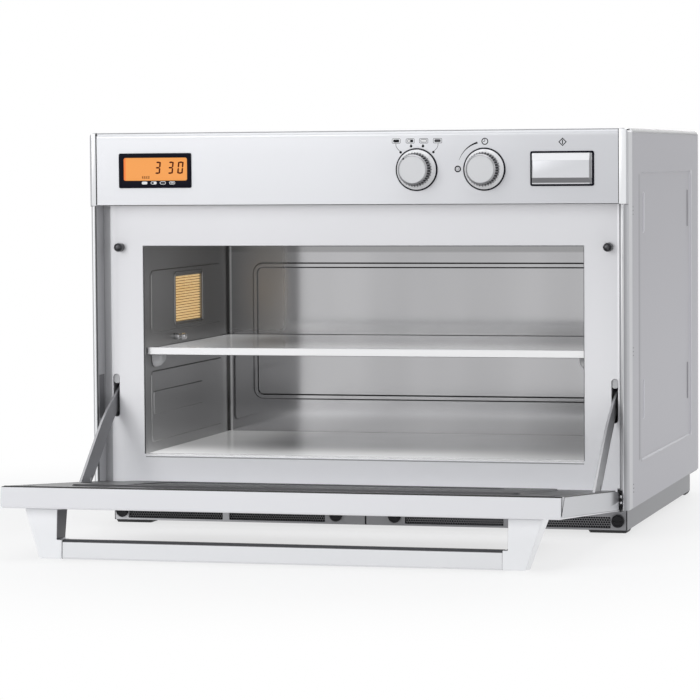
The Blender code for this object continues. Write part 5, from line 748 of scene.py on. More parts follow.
placed = ridges.node("GeometryNodeInstanceOnPoints", {}, Points=ring_points, Instance=one, Rotation=turned_point)
KNURL = brushed("knob_ridges", (0.30, 0.30, 0.315), 0.30, 1, metallic=0.8)
grip_ridges = ridges.grown(placed, KNURL)
grip_ridges.transform(Matrix.Rotation(math.radians(90), 4, "X"))
grip_ridges.transform(Matrix.Translation((0, (GRIP_START + GRIP_END) / 2, 0)))

# %% [markdown]
# The skirt's profile goes from the panel outwards in a shallow hollow curve, because that is what makes the bright
# crescent at the upper left and the dark streak at the right.

# %% Knob bodies
SKIRT_RISE = [(SKIRT, -0.4), (SKIRT, -1.6), (SKIRT - 0.5 * MM, -2.4), (SKIRT - 1.3 * MM, -3.4), (SKIRT - 2.2 * MM, -5.0),
              (SKIRT - 3.0 * MM, -7.0), (SKIRT - 3.4 * MM, -9.0)]
POLISH = brushed("knob_polish", (0.96, 0.96, 0.975), 0.3, 1, 0.002 * MM, 0.12)
GROOVE = lacquer("grip_dark", (0.02, 0.02, 0.022), 0.5, Specular_IOR_Level=0.2)
CAP_FINISH = lacquer("knob_cap", (0.57, 0.575, 0.59), 0.34, 900, 0.01 * MM, metallic=0.3)
RIM = brushed("knob_bevel", (0.40, 0.40, 0.415), 0.30, 1, 0.002 * MM, 0.6)
for name, centre in (("power", POWER), ("timer", TIMER)):
    body, node = name + "_dial", name + "_knob"
    # The ring's black is painted shade for the shadow gap between skirt and panel.
    ring = turned([(RING, 1 * MM), (RING, -0.9 * MM), (RING - 0.4 * MM, -1.3 * MM), (SKIRT - 0.1 * MM, -1.3 * MM),
                   (SKIRT - 1 * MM, -0.3 * MM), (SKIRT - 1 * MM, 1 * MM)], "Y", centre, 72, True)
    piece(node + "_ring", ring, BLACK, body, "silver_moulding", node)
    skirt = [(SKIRT - 1.2 * MM, -0.2 * MM)] + [(r, h * MM) for r, h in SKIRT_RISE] + [(GRIP_LOW - 1 * MM, -9.0 * MM), (GRIP_LOW - 2 * MM, -8 * MM)]
    piece(node + "_skirt", turned(skirt, "Y", centre, 72), POLISH, body, "silver_moulding", angle=40)
    core = [(GRIP_LOW - 0.7 * MM, GRIP_START + 0.4 * MM), (GRIP_HIGH - 0.7 * MM, GRIP_END + 0.2 * MM)]
    piece(node + "_core", turned(core, "Y", centre, 48), GROOVE, body, "silver_moulding")
    mesh = grip_ridges.copy()
    mesh.transform(Matrix.Translation((centre[0], 0, centre[1])))
    piece(node + "_ridges", mesh, KNURL, body, "silver_moulding", angle=50)
    bevel = [(GRIP_HIGH + 0.35 * MM, GRIP_END + 0.7 * MM), (GRIP_HIGH + 0.45 * MM, GRIP_END), (GRIP_HIGH + 0.1 * MM, GRIP_END - 0.6 * MM),
             (CAP_EDGE + 0.45 * MM, CAP_FACE + 0.25 * MM), (CAP_EDGE + 0.1 * MM, CAP_FACE), (CAP_EDGE - 0.1 * MM, CAP_FACE + 0.35 * MM),
             (CAP_EDGE - 0.6 * MM, GRIP_END + 0.7 * MM)]
    piece(node + "_bevel", turned(bevel, "Y", centre, 72, True), RIM, body, "silver_moulding", angle=25)
    cap = [(CAP_EDGE - 0.15 * MM, GRIP_END + 0.5 * MM), (CAP_EDGE - 0.15 * MM, CAP_FACE + 0.45 * MM), (CAP_EDGE - 0.5 * MM, CAP_FACE + 0.2 * MM)]
    piece(node + "_cap", turned(cap, "Y", centre, 72), CAP_FINISH, body, "silver_moulding")
pointer_turn = math.radians(130)
reach = [(POWER[0] + r * math.cos(pointer_turn + t), POWER[1] + r * math.sin(pointer_turn + t))
         for r, t in ((17.4 * MM, 0.0), (16.9 * MM, -0.07), (15.4 * MM, -0.05), (15.4 * MM, 0.05), (16.9 * MM, 0.07))]
piece("power_pointer", prism(reach, "Y", (CAP_FACE - 0.05 * MM, CAP_FACE + 1.2 * MM)), DARK_INK, "power_dial", "silver_moulding")
print("knob reach", round(-CAP_FACE / MM, 1), "mm, pointer at", round(math.degrees(pointer_turn)), "degrees")

# %% [markdown]
# ## Start button
# A wide key in a black surround. Its face stands proud between a broad upper bevel and a lower bevel with a thin bright
# lip under it. The upper bevel gets a painted highlight, and the lower and right bevels get painted shade. Five rounded
# rectangles along its depth make the whole shape.

# %% Start button and its surround
SURROUND_X, SURROUND_Z = (210.9 * MM, 285.4 * MM), (405.1 * MM, 445.3 * MM)
KEY_X, KEY_Z = (212.9 * MM, 283.0 * MM), (407.3 * MM, 443.1 * MM)
piece("button_frame", frame_between((SURROUND_X, SURROUND_Z), ((KEY_X[0] - 0.25 * MM, KEY_X[1] + 0.25 * MM), (KEY_Z[0] - 0.25 * MM, KEY_Z[1] + 0.25 * MM)),
                                    2.4 * MM, 1.2 * MM, 6 * MM, 7 * MM, -1.4 * MM), BLACK, "case", "black_plastic", "button_bezel")


def key_loop(left, right, low, high, radius, height):
    return [spot("Y", a, b, height) for a, b in rounded((KEY_X[0] + left * MM, KEY_X[1] - right * MM), (KEY_Z[0] + low * MM, KEY_Z[1] - high * MM), radius * MM, 4)]


key = loft([key_loop(0, 0, 0, 0, 1.0, 12 * MM), key_loop(0, 0, 0, 0, 1.0, -0.9 * MM), key_loop(0.25, 0.25, 0.3, 0.3, 0.8, -1.2 * MM),
            key_loop(0.5, 0.6, 1.6, 0.5, 0.6, -1.3 * MM), key_loop(1.5, 2.5, 7.2, 8.2, 0.5, -4.3 * MM), key_loop(1.9, 2.9, 7.6, 8.7, 0.4, -4.5 * MM)])
KEY = Finish("key_silver", (0.66, 0.665, 0.69), 0.3, 0.15)
# Painted highlight on the upper bevel; painted shade on the lower and right bevels.
bevel_highlight = KEY.z.ramp(KEY_Z[1] - 8.5 * MM, KEY_Z[1] - 8.1 * MM)
lower_bevel_shade = between(KEY.z, KEY_Z[0] + 1.5 * MM, KEY_Z[0] + 7.3 * MM, 0.15 * MM)
side_bevel_shade = between(KEY.x, KEY_X[1] - 2.7 * MM, KEY_X[1] - 0.5 * MM, 0.15 * MM)
fine, broad = KEY.noise(1500, 3), KEY.noise(9, 2)
silver = KEY.mix(broad, (0.655, 0.66, 0.685, 1), (0.685, 0.69, 0.715, 1))
silver = KEY.mix(bevel_highlight, silver, (0.84, 0.845, 0.86, 1))
silver = KEY.mix(lower_bevel_shade.math("MAXIMUM", side_bevel_shade * 0.9), silver, (0.25, 0.25, 0.26, 1))
KEY.set(Base_Color=silver, Roughness=0.30 + (broad - 0.5) * 0.08 + (fine - 0.5) * 0.05)
KEY.bump(fine, 0.01 * MM)
piece("start_key", key, KEY, "start_key", "silver_moulding", "start_button", angle=20)
print("start button", round((KEY_X[1] - KEY_X[0]) / MM, 1), "x", round((KEY_Z[1] - KEY_Z[0]) / MM, 1), "mm")
# %% [markdown]
# ## Case
# The front frame is one pressing in silver lacquer. Its front lips get painted highlights, with painted dark lines
# along their rounded edges. Painted shade darkens its top edge, the outer edge of the left cap, the recess walls beside
# the door and the crease at their foot. The gutter beside the right post gets painted light, and below it painted black
# shade in the hinge gap. The end caps next to the panel are a brighter moulding. One finish tells these places apart by
# where they are, with soft steps between them, so the frame stays a single softened copy of the CAD shape.

# %% Front frame

FRAME = lacquer("frame_silver", (0.62, 0.625, 0.65), 0.32)
side, across, deep = FRAME.x, abs(FRAME.x), FRAME.y - FRONT
front = 1 - deep.ramp(0.8 * MM, 1.6 * MM)
caps = FRAME.z.ramp(383.9 * MM, 384.3 * MM)
top_edge_shade = FRAME.z.ramp(469.4 * MM, 470.3 * MM)
grain = FRAME.noise(30, 3)
silver = FRAME.mix(grain, (0.49, 0.49, 0.51, 1), (0.53, 0.53, 0.55, 1))
# Painted highlights on the post lips, with painted dark lines along their rounded edges.
left_lip_light_shade = FRAME.mix(between(side, -322.6 * MM, -319.6 * MM, 0.6 * MM), (0.09, 0.09, 0.095, 1), (0.92, 0.925, 0.94, 1))
left_lip_light_shade = FRAME.mix(between(side, -318.4 * MM, -316 * MM, 0.4 * MM), left_lip_light_shade, (0.08, 0.08, 0.085, 1))
right_lip_light_shade = FRAME.mix(side.ramp(320 * MM, 324 * MM), (0.34, 0.34, 0.355, 1), (0.50, 0.50, 0.52, 1))
right_lip_light_shade = FRAME.mix(between(side, 316 * MM, 319 * MM, 0.4 * MM), right_lip_light_shade, (0.95, 0.955, 0.97, 1))
silver = FRAME.mix(front * (1 - caps), silver, FRAME.mix(side.ramp(-1 * MM, 1 * MM), left_lip_light_shade, right_lip_light_shade))
# Painted shade along the top edge and on the outer edge of the left cap.
silver = FRAME.mix(top_edge_shade * deep.ramp(4.5 * MM, 3 * MM), silver, (0.34, 0.34, 0.355, 1))
silver = FRAME.mix(caps * across.ramp(323.5 * MM, 324.3 * MM) * side.ramp(1 * MM, -1 * MM), silver, (0.20, 0.20, 0.21, 1))
# Painted shade on the recess walls and in the crease at their foot.
recess = (1 - across.ramp(317.65 * MM, 317.8 * MM)) * deep.ramp(0.5 * MM, 2 * MM)
crease_shade = between(deep, 25.2 * MM, 27.2 * MM, 0.3 * MM)
shade = FRAME.mix(deep.ramp(26 * MM, 28 * MM), (0.47, 0.47, 0.485, 1), (0.54, 0.54, 0.555, 1))
silver = FRAME.mix(recess, silver, FRAME.mix(crease_shade, shade, (0.30, 0.30, 0.31, 1)))
gutter = across.ramp(309 * MM, 309.4 * MM) * (1 - across.ramp(317.5 * MM, 317.6 * MM)) * deep.ramp(26 * MM, 27 * MM)
# Painted light in the right gutter, where the post shades it; painted black shade low down, in the hinge gap.
gutter_light_paint = gutter * side.ramp(311.0 * MM, 311.6 * MM) * FRAME.z.ramp(90 * MM, 300 * MM)
silver = FRAME.mix(gutter_light_paint, silver, (0.95, 0.955, 0.97, 1))
silver = FRAME.mix(gutter * side.ramp(0.0, 1 * MM) * FRAME.z.ramp(54 * MM, 51 * MM), silver, (0.01, 0.01, 0.011, 1))
FRAME.set(Base_Color=silver, Metallic=0.10 + between(across, 316 * MM, 319 * MM, 0.3 * MM) * front * 0.5 + gutter_light_paint * 0.5, Roughness=0.32 + (grain - 0.5) * 0.1)
soften("front_frame", FRAME, 0.3 * MM)

# %% [markdown]
# Each end cap is a bright moulding that laps over the end of the panel; the right one is painted lighter, as light
# against the shade on that side. On each mirror-like recess wall, a thin dark pad beside the arm is a painted
# reflection of the slot. The seams between caps, posts and panel are fine dark strips let into the joints.

# %% End caps, recess pads and seams
CAP_X, CAP_FRONT = (314.1 * MM, 322.4 * MM), -0.95 * MM
reflection_pads, seams, caps = [], [], []
for side in (-1, 1):
    wall = sorted((side * 317.2 * MM, side * 317.55 * MM))
    # Painted reflection: a dark pad on each recess wall, where the slot mirrors in it.
    reflection_pads.append(pad((4.2 * MM, 21.8 * MM), (130 * MM, 182 * MM), 1 * MM, "X", [(0, wall[0]), (0, wall[1])]))
    inner = CAP_X[0] if side > 0 else 317.3 * MM
    caps.append(pad(sorted((side * inner, side * CAP_X[1])), (384.5 * MM, 470.3 * MM), 0.8 * MM, "Y",
                    [(0, 1 * MM), (0, CAP_FRONT + 0.35 * MM), (0.12 * MM, CAP_FRONT + 0.1 * MM), (0.4 * MM, CAP_FRONT)]))
    seams.append(block(sorted((side * (inner - 0.9 * MM), side * (inner + 0.4 * MM))), (-0.64 * MM if side < 0 else -0.04 * MM, 2 * MM), (385.6 * MM, 470.2 * MM)))
    seams.append(block(sorted((side * 317.6 * MM, side * 324.6 * MM)), (0.2 * MM, 2 * MM), (383.7 * MM, 384.1 * MM)))
SLOT_REFLECTION_GREY = lacquer("slot_reflection_grey", (0.17, 0.17, 0.18), 0.45)
CAP = lacquer("cap_moulding", (0.82, 0.825, 0.84), 0.34, metallic=0.28)
# Painted light: the right cap is lighter, against the shade that falls on the right.
CAP.tint(CAP.x.ramp(-1 * MM, 1 * MM), (0.80, 0.805, 0.82), (0.88, 0.885, 0.90))
piece("end_caps", group(*caps), CAP, "case", "silver_moulding")
piece("recess_pads", group(*reflection_pads), SLOT_REFLECTION_GREY, "case", "silver_paint")
piece("cap_seams", group(*seams), DARK_INK, "case", "silver_paint")
print("case seams", len(seams))

# %% [markdown]
# The cover is one sheet bent over the oven. Each side has a pressed panel with beads, which stiffen it. Near the front
# edge are small marks of spot welds, in short columns at the foot, the middle and the top. They are dents of a tenth of
# a millimetre, wider than they are tall, so the finish makes them: a height that repeats along Z gives the dots their
# places. Painted shade darkens the sides towards the top and along the top bend, and painted light and shade mark the
# edges of the pressed panels and the beads.

# %% Cover with its weld marks
COVER = Finish("cover_paint", (0.46, 0.45, 0.48), 0.42, Specular_IOR_Level=0.22)
WELD_PITCH, WELD_LINE = 4.4 * MM, 30.6 * MM
step = (COVER.z / WELD_PITCH).math("FRACT") - 0.5
reach = ((step * WELD_PITCH).math("POWER", 2.0) + ((COVER.y - FRONT - WELD_LINE) * 0.25).math("POWER", 2.0)).math("SQRT")
columns = 0.0
for bottom in (48.4 * MM, 206.8 * MM, 369.6 * MM):
    columns = between(COVER.z, bottom, bottom + 3 * WELD_PITCH, 0.05 * MM) + columns
dots = (1 - reach.ramp(0.5 * MM, 1.1 * MM)) * columns * abs(COVER.x).ramp(324 * MM, 324.5 * MM)
fine, broad = COVER.noise(1100, 3), COVER.noise(4, 2)
paint = COVER.mix(broad, (0.425, 0.42, 0.45, 1), (0.455, 0.45, 0.48, 1))
# Painted shade: the sides get darker towards the top.
paint = COVER.mix(COVER.z.ramp(120 * MM, 460 * MM), paint, COVER.mix(broad, (0.355, 0.35, 0.378, 1), (0.38, 0.375, 0.403, 1)))
# Painted shade along the top bend, which tames its highlight.
bend_shade = COVER.z.ramp(464.5 * MM, 467.5 * MM) * abs(COVER.x).ramp(316 * MM, 321 * MM) * (COVER.y - FRONT).ramp(27 * MM, 33 * MM)
paint = COVER.mix(bend_shade, paint, (0.07, 0.069, 0.075, 1))
# Painted shade on the front step of the pressed panel; below, painted light and shade along the other press edges and
# the beads.
press_edge_shade = between(COVER.y - FRONT, 67 * MM, 78 * MM, 2 * MM) * between(COVER.z, 84 * MM, 418 * MM, 2 * MM)
paint = COVER.mix(press_edge_shade * abs(COVER.x).ramp(318 * MM, 320 * MM), paint, (0.30, 0.295, 0.32, 1))
flanks, pressed = abs(COVER.x).ramp(318 * MM, 320 * MM), between(COVER.z, 81 * MM, 421 * MM, 1 * MM)
beads = between(COVER.z, 129 * MM, 177 * MM, 1 * MM) + between(COVER.z, 349 * MM, 397 * MM, 1 * MM)
for span, near, far, grey in ((pressed, 84, 89, 0.32), (pressed, 459, 467, 0.56), (beads, 109, 115, 0.62), (beads, 439, 445, 0.30)):
    press_light_and_shade = between(COVER.y - FRONT, near * MM, far * MM, 1 * MM) * span * flanks
    paint = COVER.mix(press_light_and_shade, paint, (grey, grey * 0.985, grey * 1.05, 1))
joint = between(COVER.y - FRONT, 20 * MM, 26 * MM, 0.8 * MM)
paint = COVER.mix(joint, paint, (0.56, 0.56, 0.58, 1))
COVER.set(Base_Color=COVER.mix(dots, paint, (0.17, 0.17, 0.18, 1)), Roughness=0.42 + (broad - 0.5) * 0.08 + (fine - 0.5) * 0.05)
COVER.bump(fine * 0.3 - dots, 0.1 * MM)
soften("case_cover", COVER, 0.25 * MM)
MARK = lacquer("weld_grey", (0.28, 0.28, 0.295), 0.5)
print("cover painted")
# %% [markdown]
# ## Plate around the opening
# The plate is bare satin steel: pale and even where it meets the studio light, with blurred dark images of the arms.
# That needs some metal in the finish and little roughness. Painted light makes it paler towards the bottom and along
# both side edges, where the door and the posts shade it, and painted shade makes it black low at the right, in the
# hinge gap. A rolled edge closes it around the cavity.

# %% Plate, opening edge and slots
PLATE = Finish("plate_steel", (0.76, 0.76, 0.785), 0.26)
# Painted light: paler towards the bottom, where the door shades the plate.
low = 1 - PLATE.z.ramp(70 * MM, 160 * MM)
hair, cloud = PLATE.noise(2200, 2, (0.03, 1.0, 1.0)), PLATE.noise(5, 2)
satin_and_painted_light = PLATE.mix(PLATE.z.ramp(120 * MM, 350 * MM), (0.90, 0.90, 0.925, 1), PLATE.mix(cloud, (0.73, 0.73, 0.755, 1), (0.76, 0.76, 0.785, 1)))
# Painted light along both side edges, where the posts shade the plate.
post_shadow_lift = PLATE.x.ramp(-301 * MM, -309.5 * MM).math("MAXIMUM", PLATE.x.ramp(306.6 * MM, 307.6 * MM))
satin_and_painted_light = PLATE.mix(low.math("MAXIMUM", post_shadow_lift), satin_and_painted_light, (0.96, 0.96, 0.985, 1))
# Painted shade: black low at the right, in the hinge gap.
gap = PLATE.x.ramp(306.2 * MM, 307 * MM) * PLATE.z.ramp(56 * MM, 53 * MM)
PLATE.set(Base_Color=PLATE.mix(gap, satin_and_painted_light, (0.01, 0.01, 0.011, 1)), Metallic=0.36 - low * 0.35,
          Roughness=0.25 + (cloud - 0.5) * 0.06 + (hair - 0.5) * 0.03)
PLATE.bump(hair, 0.001 * MM)
soften("face_plate", PLATE, 0.3 * MM)
OPENING_X, OPENING_Z = (-267.9 * MM, 267.9 * MM), (84 * MM, 335.5 * MM)
EDGE_LINE = lacquer("edge_shadow", (0.06, 0.06, 0.065), 0.5)
EDGE_GREY = lacquer("edge_grey", (0.36, 0.36, 0.37), 0.5)
piece("opening_sill", block((-267.5 * MM, 267.5 * MM), (27.15 * MM, 28.4 * MM), (81.9 * MM, 83.1 * MM)), EDGE_GREY, "case", "satin_steel")
lines = [block((-268.9 * MM, -267.7 * MM), (27.1 * MM, 28.4 * MM), (86 * MM, 335.5 * MM)),
         block((-268.9 * MM, 267.9 * MM), (27.1 * MM, 28.4 * MM), (335.3 * MM, 336.1 * MM)),
         block((267.7 * MM, 268.3 * MM), (27.1 * MM, 28.4 * MM), (86 * MM, 336 * MM))]
piece("opening_shadow", group(*lines), EDGE_LINE, "case", "satin_steel")
GUIDE = brushed("guide_steel", (0.55, 0.555, 0.57), 0.35, 1, metallic=0.4)
SLOT_HALF, SLOT_TOP, ARM_AT = 3.7 * MM, 181.5 * MM, 303.8 * MM
fillers, rims = [], []
for side in (-1, 1):
    span = sorted((side * (ARM_AT - SLOT_HALF), side * (ARM_AT + SLOT_HALF)))
    fillers.append(pad(span, (170.6 * MM, SLOT_TOP + 0.5 * MM), 3 * MM, "Y", [(0, 28.9 * MM), (0, 30.2 * MM)]))
    low = 130.5 * MM
    outer = rounded((span[0] - 0.35 * MM, span[1] + 0.35 * MM), (low - 0.35 * MM, SLOT_TOP + 0.35 * MM), 4 * MM)
    inner = rounded((span[0] + 0.1 * MM, span[1] - 0.1 * MM), (low + 0.1 * MM, SLOT_TOP - 0.1 * MM), 3.5 * MM)
    rows = [(outer, 27.4 * MM), (outer, 27.15 * MM), (inner, 27.15 * MM), (inner, 28.4 * MM)]
    rims.append(loft([[spot("Y", a, b, h) for a, b in row] for row, h in rows], True))
piece("slot_fillers", group(*fillers), GUIDE, "case", "zinc")
piece("slot_rims", group(*rims), MARK, "case", "satin_steel")
for side in ("left", "right"):
    coat("arm_guide_" + side, GUIDE)
print("slots at", round(ARM_AT / MM, 1), "mm")

# %% [markdown]
# The catch studs are dark burnished pins with a bullet tip. They press the door switches when the door shuts.

# %% Catch studs
STUD = brushed("stud_steel", (0.075, 0.075, 0.08), 0.28, 1, 0.003 * MM, 0.85)
for side in (-1, 1):
    centre = (side * 297 * MM, 334.2 * MM)
    profile = [(0.9 * MM, 13.4 * MM), (2.6 * MM, 14.0 * MM), (4.1 * MM, 15.4 * MM), (5.0 * MM, 17.4 * MM), (5.3 * MM, 19.6 * MM),
               (5.3 * MM, 25.2 * MM), (4.5 * MM, 25.6 * MM), (4.5 * MM, 26.2 * MM), (5.3 * MM, 26.4 * MM), (5.3 * MM, 27.0 * MM)]
    name = "catch_stud_" + ("left" if side < 0 else "right")
    piece(name + "_pin", turned(profile, "Y", centre, 32), STUD, "case", "dark_steel", name, angle=35)
print("studs placed")
# %% [markdown]
# ## Cavity
# The cavity is folded from stainless sheet, with pressed frames that stiffen its walls. The rear wall is almost a
# mirror, so its left part shows the dark side wall. Painted shade makes the side walls darker than the rear wall, less
# so low down; the rear wall gets painted streaks of reflection and painted shade along its top. Above the shelf, beside
# the lamp, a paler and duller patch is painted light. The folds in the corners are painted as a dark line of shade and
# a pale highlight.

# %% Liner
STEEL = Finish("cavity_stainless", (0.40, 0.40, 0.40), 0.3, 1.0)
deep = STEEL.y - FRONT
rear = deep.ramp(365.5 * MM, 366.5 * MM)
hair = STEEL.noise(1500, 2, (1.0, 1.0, 0.03))
cloud, sheen = STEEL.noise(5, 2), STEEL.noise(9, 2, (1.0, 1.0, 0.15))
# Painted shade and a painted highlight along the corner folds.
rear_corner_shade = between(STEEL.x, -268.6 * MM, -265.8 * MM, 0.1 * MM) * rear
rear_corner_highlight = between(STEEL.x, -264.9 * MM, -262.4 * MM, 0.1 * MM) * rear
side_corner_shade = between(deep, 366.6 * MM, 369.9 * MM, 0.3 * MM) * (1 - STEEL.x.ramp(-267.9 * MM, -267.7 * MM))
# Painted shade: the side walls are darker than the rear wall, and lighter low down.
shaded_side_walls = STEEL.mix(cloud, (0.26, 0.257, 0.255, 1), (0.31, 0.307, 0.305, 1))
shaded_side_walls = STEEL.mix(STEEL.z.ramp(230 * MM, 190 * MM), shaded_side_walls, (0.40, 0.40, 0.403, 1))
# Painted reflection streaks on the rear wall, and painted shade along its top.
back = STEEL.mix(sheen, (0.37, 0.37, 0.38, 1), (0.53, 0.53, 0.54, 1))
back = STEEL.mix(STEEL.z.ramp(317 * MM, 320 * MM), back, (0.33, 0.33, 0.335, 1))
steel = STEEL.mix(rear, shaded_side_walls, back)
steel = STEEL.mix(rear_corner_shade, steel, (0.12, 0.12, 0.12, 1))
steel = STEEL.mix(side_corner_shade, steel, (0.14, 0.14, 0.14, 1))
# Painted light: a pale, duller patch above the shelf beside the lamp, which also hides the lamp's image.
painted_pale_patch = rear * STEEL.x.ramp(-178 * MM, -200 * MM) * STEEL.z.ramp(205 * MM, 225 * MM)
steel = STEEL.mix(painted_pale_patch * STEEL.x.ramp(-262 * MM, -225 * MM), steel, (0.50, 0.50, 0.505, 1))
STEEL.set(Base_Color=STEEL.mix(rear_corner_highlight, steel, (0.9, 0.9, 0.9, 1)), Metallic=0.55 + rear * 0.4 - painted_pale_patch * 0.45,
          Roughness=0.30 - rear * 0.21 + painted_pale_patch * 0.25 + (cloud - 0.5) * (0.1 - rear * 0.07) + (hair - 0.5) * (0.05 - rear * 0.03))
STEEL.bump(hair, 0.002 * MM)
soften("cavity_liner", STEEL, 0.4 * MM, 3)
CEILING = lacquer("ceiling_white", (0.66, 0.66, 0.67), 0.3)
coat("ceiling_plate", CEILING)

# %% [markdown]
# ## Oven lamp
# A ribbed glass closes the lamp opening in the left wall. The ribs run from front to rear and repeat, so Geometry Nodes
# stack them: each is a half-round rod. Warm light falls through them, brightest on each crest. A dark brown sheet
# behind them is painted shade for the valleys between the ribs.

# %% Ribbed lamp glass
LAMP_Y, LAMP_Z = (147.8 * MM, 253.8 * MM), (238.5 * MM, 295.0 * MM)
GOLD = Finish("lamp_ribs", (0.62, 0.40, 0.16), 0.25)
wave, drift = GOLD.noise(60, 2, (1.0, 0.15, 1.0)), GOLD.noise(14, 2)
warm = GOLD.mix(wave, (0.86, 0.56, 0.20, 1), (1.0, 0.80, 0.46, 1))
GOLD.set(Emission_Color=warm, Emission_Strength=0.52, Roughness=0.22 + drift * 0.1)
VALLEY_SHADE = lacquer("lamp_valleys", (0.24, 0.085, 0.015), 0.5, Specular_IOR_Level=0.1)
ribs = Pattern("lamp ribs", Count=17, Bottom=LAMP_Z[0], Top=LAMP_Z[1], Length=LAMP_Y[1] - LAMP_Y[0], Fill=0.37)
given = ribs.size
pitch = (given["Top"] - given["Bottom"]) / given["Count"]
first = given["Bottom"] + pitch * 0.5
stack = ribs.node("GeometryNodeMeshLine", {}, given["Count"], Start_Location=ribs.vector(0.0, 0.0, first), Offset=ribs.vector(0.0, 0.0, pitch))
rod = ribs.node("GeometryNodeMeshCylinder", {"fill_type": "NGON"}, 14, 1, 1, pitch * given["Fill"], given["Length"])
laid = ribs.node("FunctionNodeRotateEuler", {}, ribs.vector(0.0, 0.0, 0.0), ribs.vector(math.pi / 2, 0.0, 0.0))
placed = ribs.node("GeometryNodeInstanceOnPoints", {}, Points=stack, Instance=rod, Rotation=laid)
mesh = ribs.grown(placed, GOLD)
mesh.transform(Matrix.Translation((-270.3 * MM, sum(LAMP_Y) / 2, 0)))
piece("lamp_ribs", mesh, GOLD, "case", "lamp_glass", "lamp_cover", angle=40)
# Painted shade: a dark brown sheet behind the ribs for the shade in the valleys between them.
sheet = pad((LAMP_Y[0] - 5 * MM, LAMP_Y[1] + 5 * MM), (LAMP_Z[0] - 5 * MM, LAMP_Z[1] + 5 * MM), 3 * MM, "X",
            [(0, -272.8 * MM), (0, -271.2 * MM)])
piece("lamp_sheet", sheet, VALLEY_SHADE, "case", "lamp_glass")
REFLECTOR = brushed("reflector", (0.85, 0.82, 0.75), 0.2, 0, 0.004 * MM)
coat("oven_lamp", REFLECTOR)

# %% [markdown]
# ## Shelf and floor
# Both are glazed ceramic plates with bright, soft front edges. Their tops mirror the dark walls, so the glaze has
# little roughness. A weak emission paints light onto them: towards the front of each plate, and along the left wall
# beside the lamp, with soft streaks. The white tongues under the shelf are mouldings, the dark pins above it are turned
# steel.

# %% Ceramic plates, tongues and pins
LIP = Finish("glazed_edge", (0.93, 0.93, 0.94), 0.22)
gleam = LIP.noise(7, 2)
LIP.set(Metallic=0.54 + gleam * 0.06, Roughness=0.22 + (gleam - 0.5) * 0.08)
GLAZE = Finish("ceramic_glaze", (0.80, 0.80, 0.80), 0.2, Specular_IOR_Level=0.22)
speck, drift = GLAZE.noise(500, 2), GLAZE.noise(6, 2)
# Painted light: a weak glow on the shelf towards the front and along the left wall.
near = (GLAZE.y - FRONT).ramp(300 * MM, 60 * MM) * GLAZE.z.ramp(211 * MM, 211.8 * MM)
left = GLAZE.x.ramp(-130 * MM, -262 * MM) * GLAZE.z.ramp(211 * MM, 211.8 * MM)
streak = GLAZE.noise(16, 2, (1.0, 0.2, 1.0))
light = GLAZE.mix(near * near * 0.13 + left * 0.21 * (0.5 + streak), (0, 0, 0, 1), WHITE)
GLAZE.set(Base_Color=GLAZE.mix(drift, (0.20, 0.20, 0.205, 1), (0.24, 0.24, 0.245, 1)), Roughness=0.16 + (drift - 0.5) * 0.08,
          Emission_Color=light, Emission_Strength=1.0)
GLAZE.bump(speck, 0.003 * MM)
soften("shelf", GLAZE, 0.5 * MM, 3)
nose = pad((-267.3 * MM, 267.3 * MM), (205.0 * MM, 213.6 * MM), 0.3 * MM, "Y", [(0, 41 * MM), (0, 37.2 * MM), (0.3 * MM, 36.9 * MM)])
piece("shelf_nosing", nose, LIP, "middle_shelf", "ceramic")
TILE = Finish("floor_glaze", (0.80, 0.80, 0.80), 0.2, Specular_IOR_Level=0.25)
speck, drift = TILE.noise(500, 2), TILE.noise(6, 2)
# Painted light: a weak glow on the floor towards the front and along the left wall.
near = (TILE.y - FRONT).ramp(225 * MM, 30 * MM) * TILE.x.ramp(280 * MM, 30 * MM, 0.62, 1.0)
left = TILE.x.ramp(-110 * MM, -240 * MM)
light = TILE.mix(near * (near * 0.34 + 0.06) + left * 0.20 * (0.85 + drift * 0.3), (0, 0, 0, 1), WHITE)
TILE.set(Base_Color=TILE.mix(drift, (0.38, 0.38, 0.385, 1), (0.43, 0.43, 0.435, 1)), Roughness=0.2 + (drift - 0.5) * 0.08,
         Emission_Color=light, Emission_Strength=1.0)
TILE.bump(speck, 0.003 * MM)
soften("ceramic_floor", TILE, 0.8 * MM, 3)
sill = pad((-267.6 * MM, 267.6 * MM), (83.7 * MM, 86.4 * MM), 0.5 * MM, "Y", [(0, 31 * MM), (0, 28.4 * MM), (0.2 * MM, 28.2 * MM)])
piece("floor_nosing", sill, LIP, "case", "ceramic")
TONGUE = lacquer("tongue_white", (0.92, 0.92, 0.93), 0.25)
PIN = brushed("pin_steel", (0.78, 0.78, 0.79), 0.28, 0, 0.004 * MM, 0.8)
for side in ("left", "right"):
    soften("shelf_support_front_" + side, TONGUE, 1.2 * MM, 3)
    soften("shelf_support_rear_" + side, TONGUE, 1.2 * MM, 3)
    sign = -1 if side == "left" else 1
    profile = [(0.9, 253.1), (2.4, 253.3), (3.6, 254.3), (4.0, 255.6), (4.0, 258.6), (3.3, 259.4), (2.5, 260.2), (2.5, 262.4),
               (3.2, 263.2), (4.0, 264.0), (4.0, 267.9), (2.6, 267.95), (2.6, 271.2)]
    mesh = turned([(r * MM, sign * h * MM) for r, h in profile], "X", (147.8 * MM, 221 * MM), 32)
    piece("shelf_pin_" + side + "_turned", mesh, PIN, "case", "satin_steel", "shelf_pin_" + side, angle=25)
print("cavity dressed")
# %% [markdown]
# ## Door
# The door is a deep white pan with a steel inner panel. It is drawn as if shut and then swung open about its hinge
# pins, as the CAD model does. The ends of the pan are painted a little darker than its front, as shade, and near the
# hinge a dark patch of painted shade stands for a hollow.

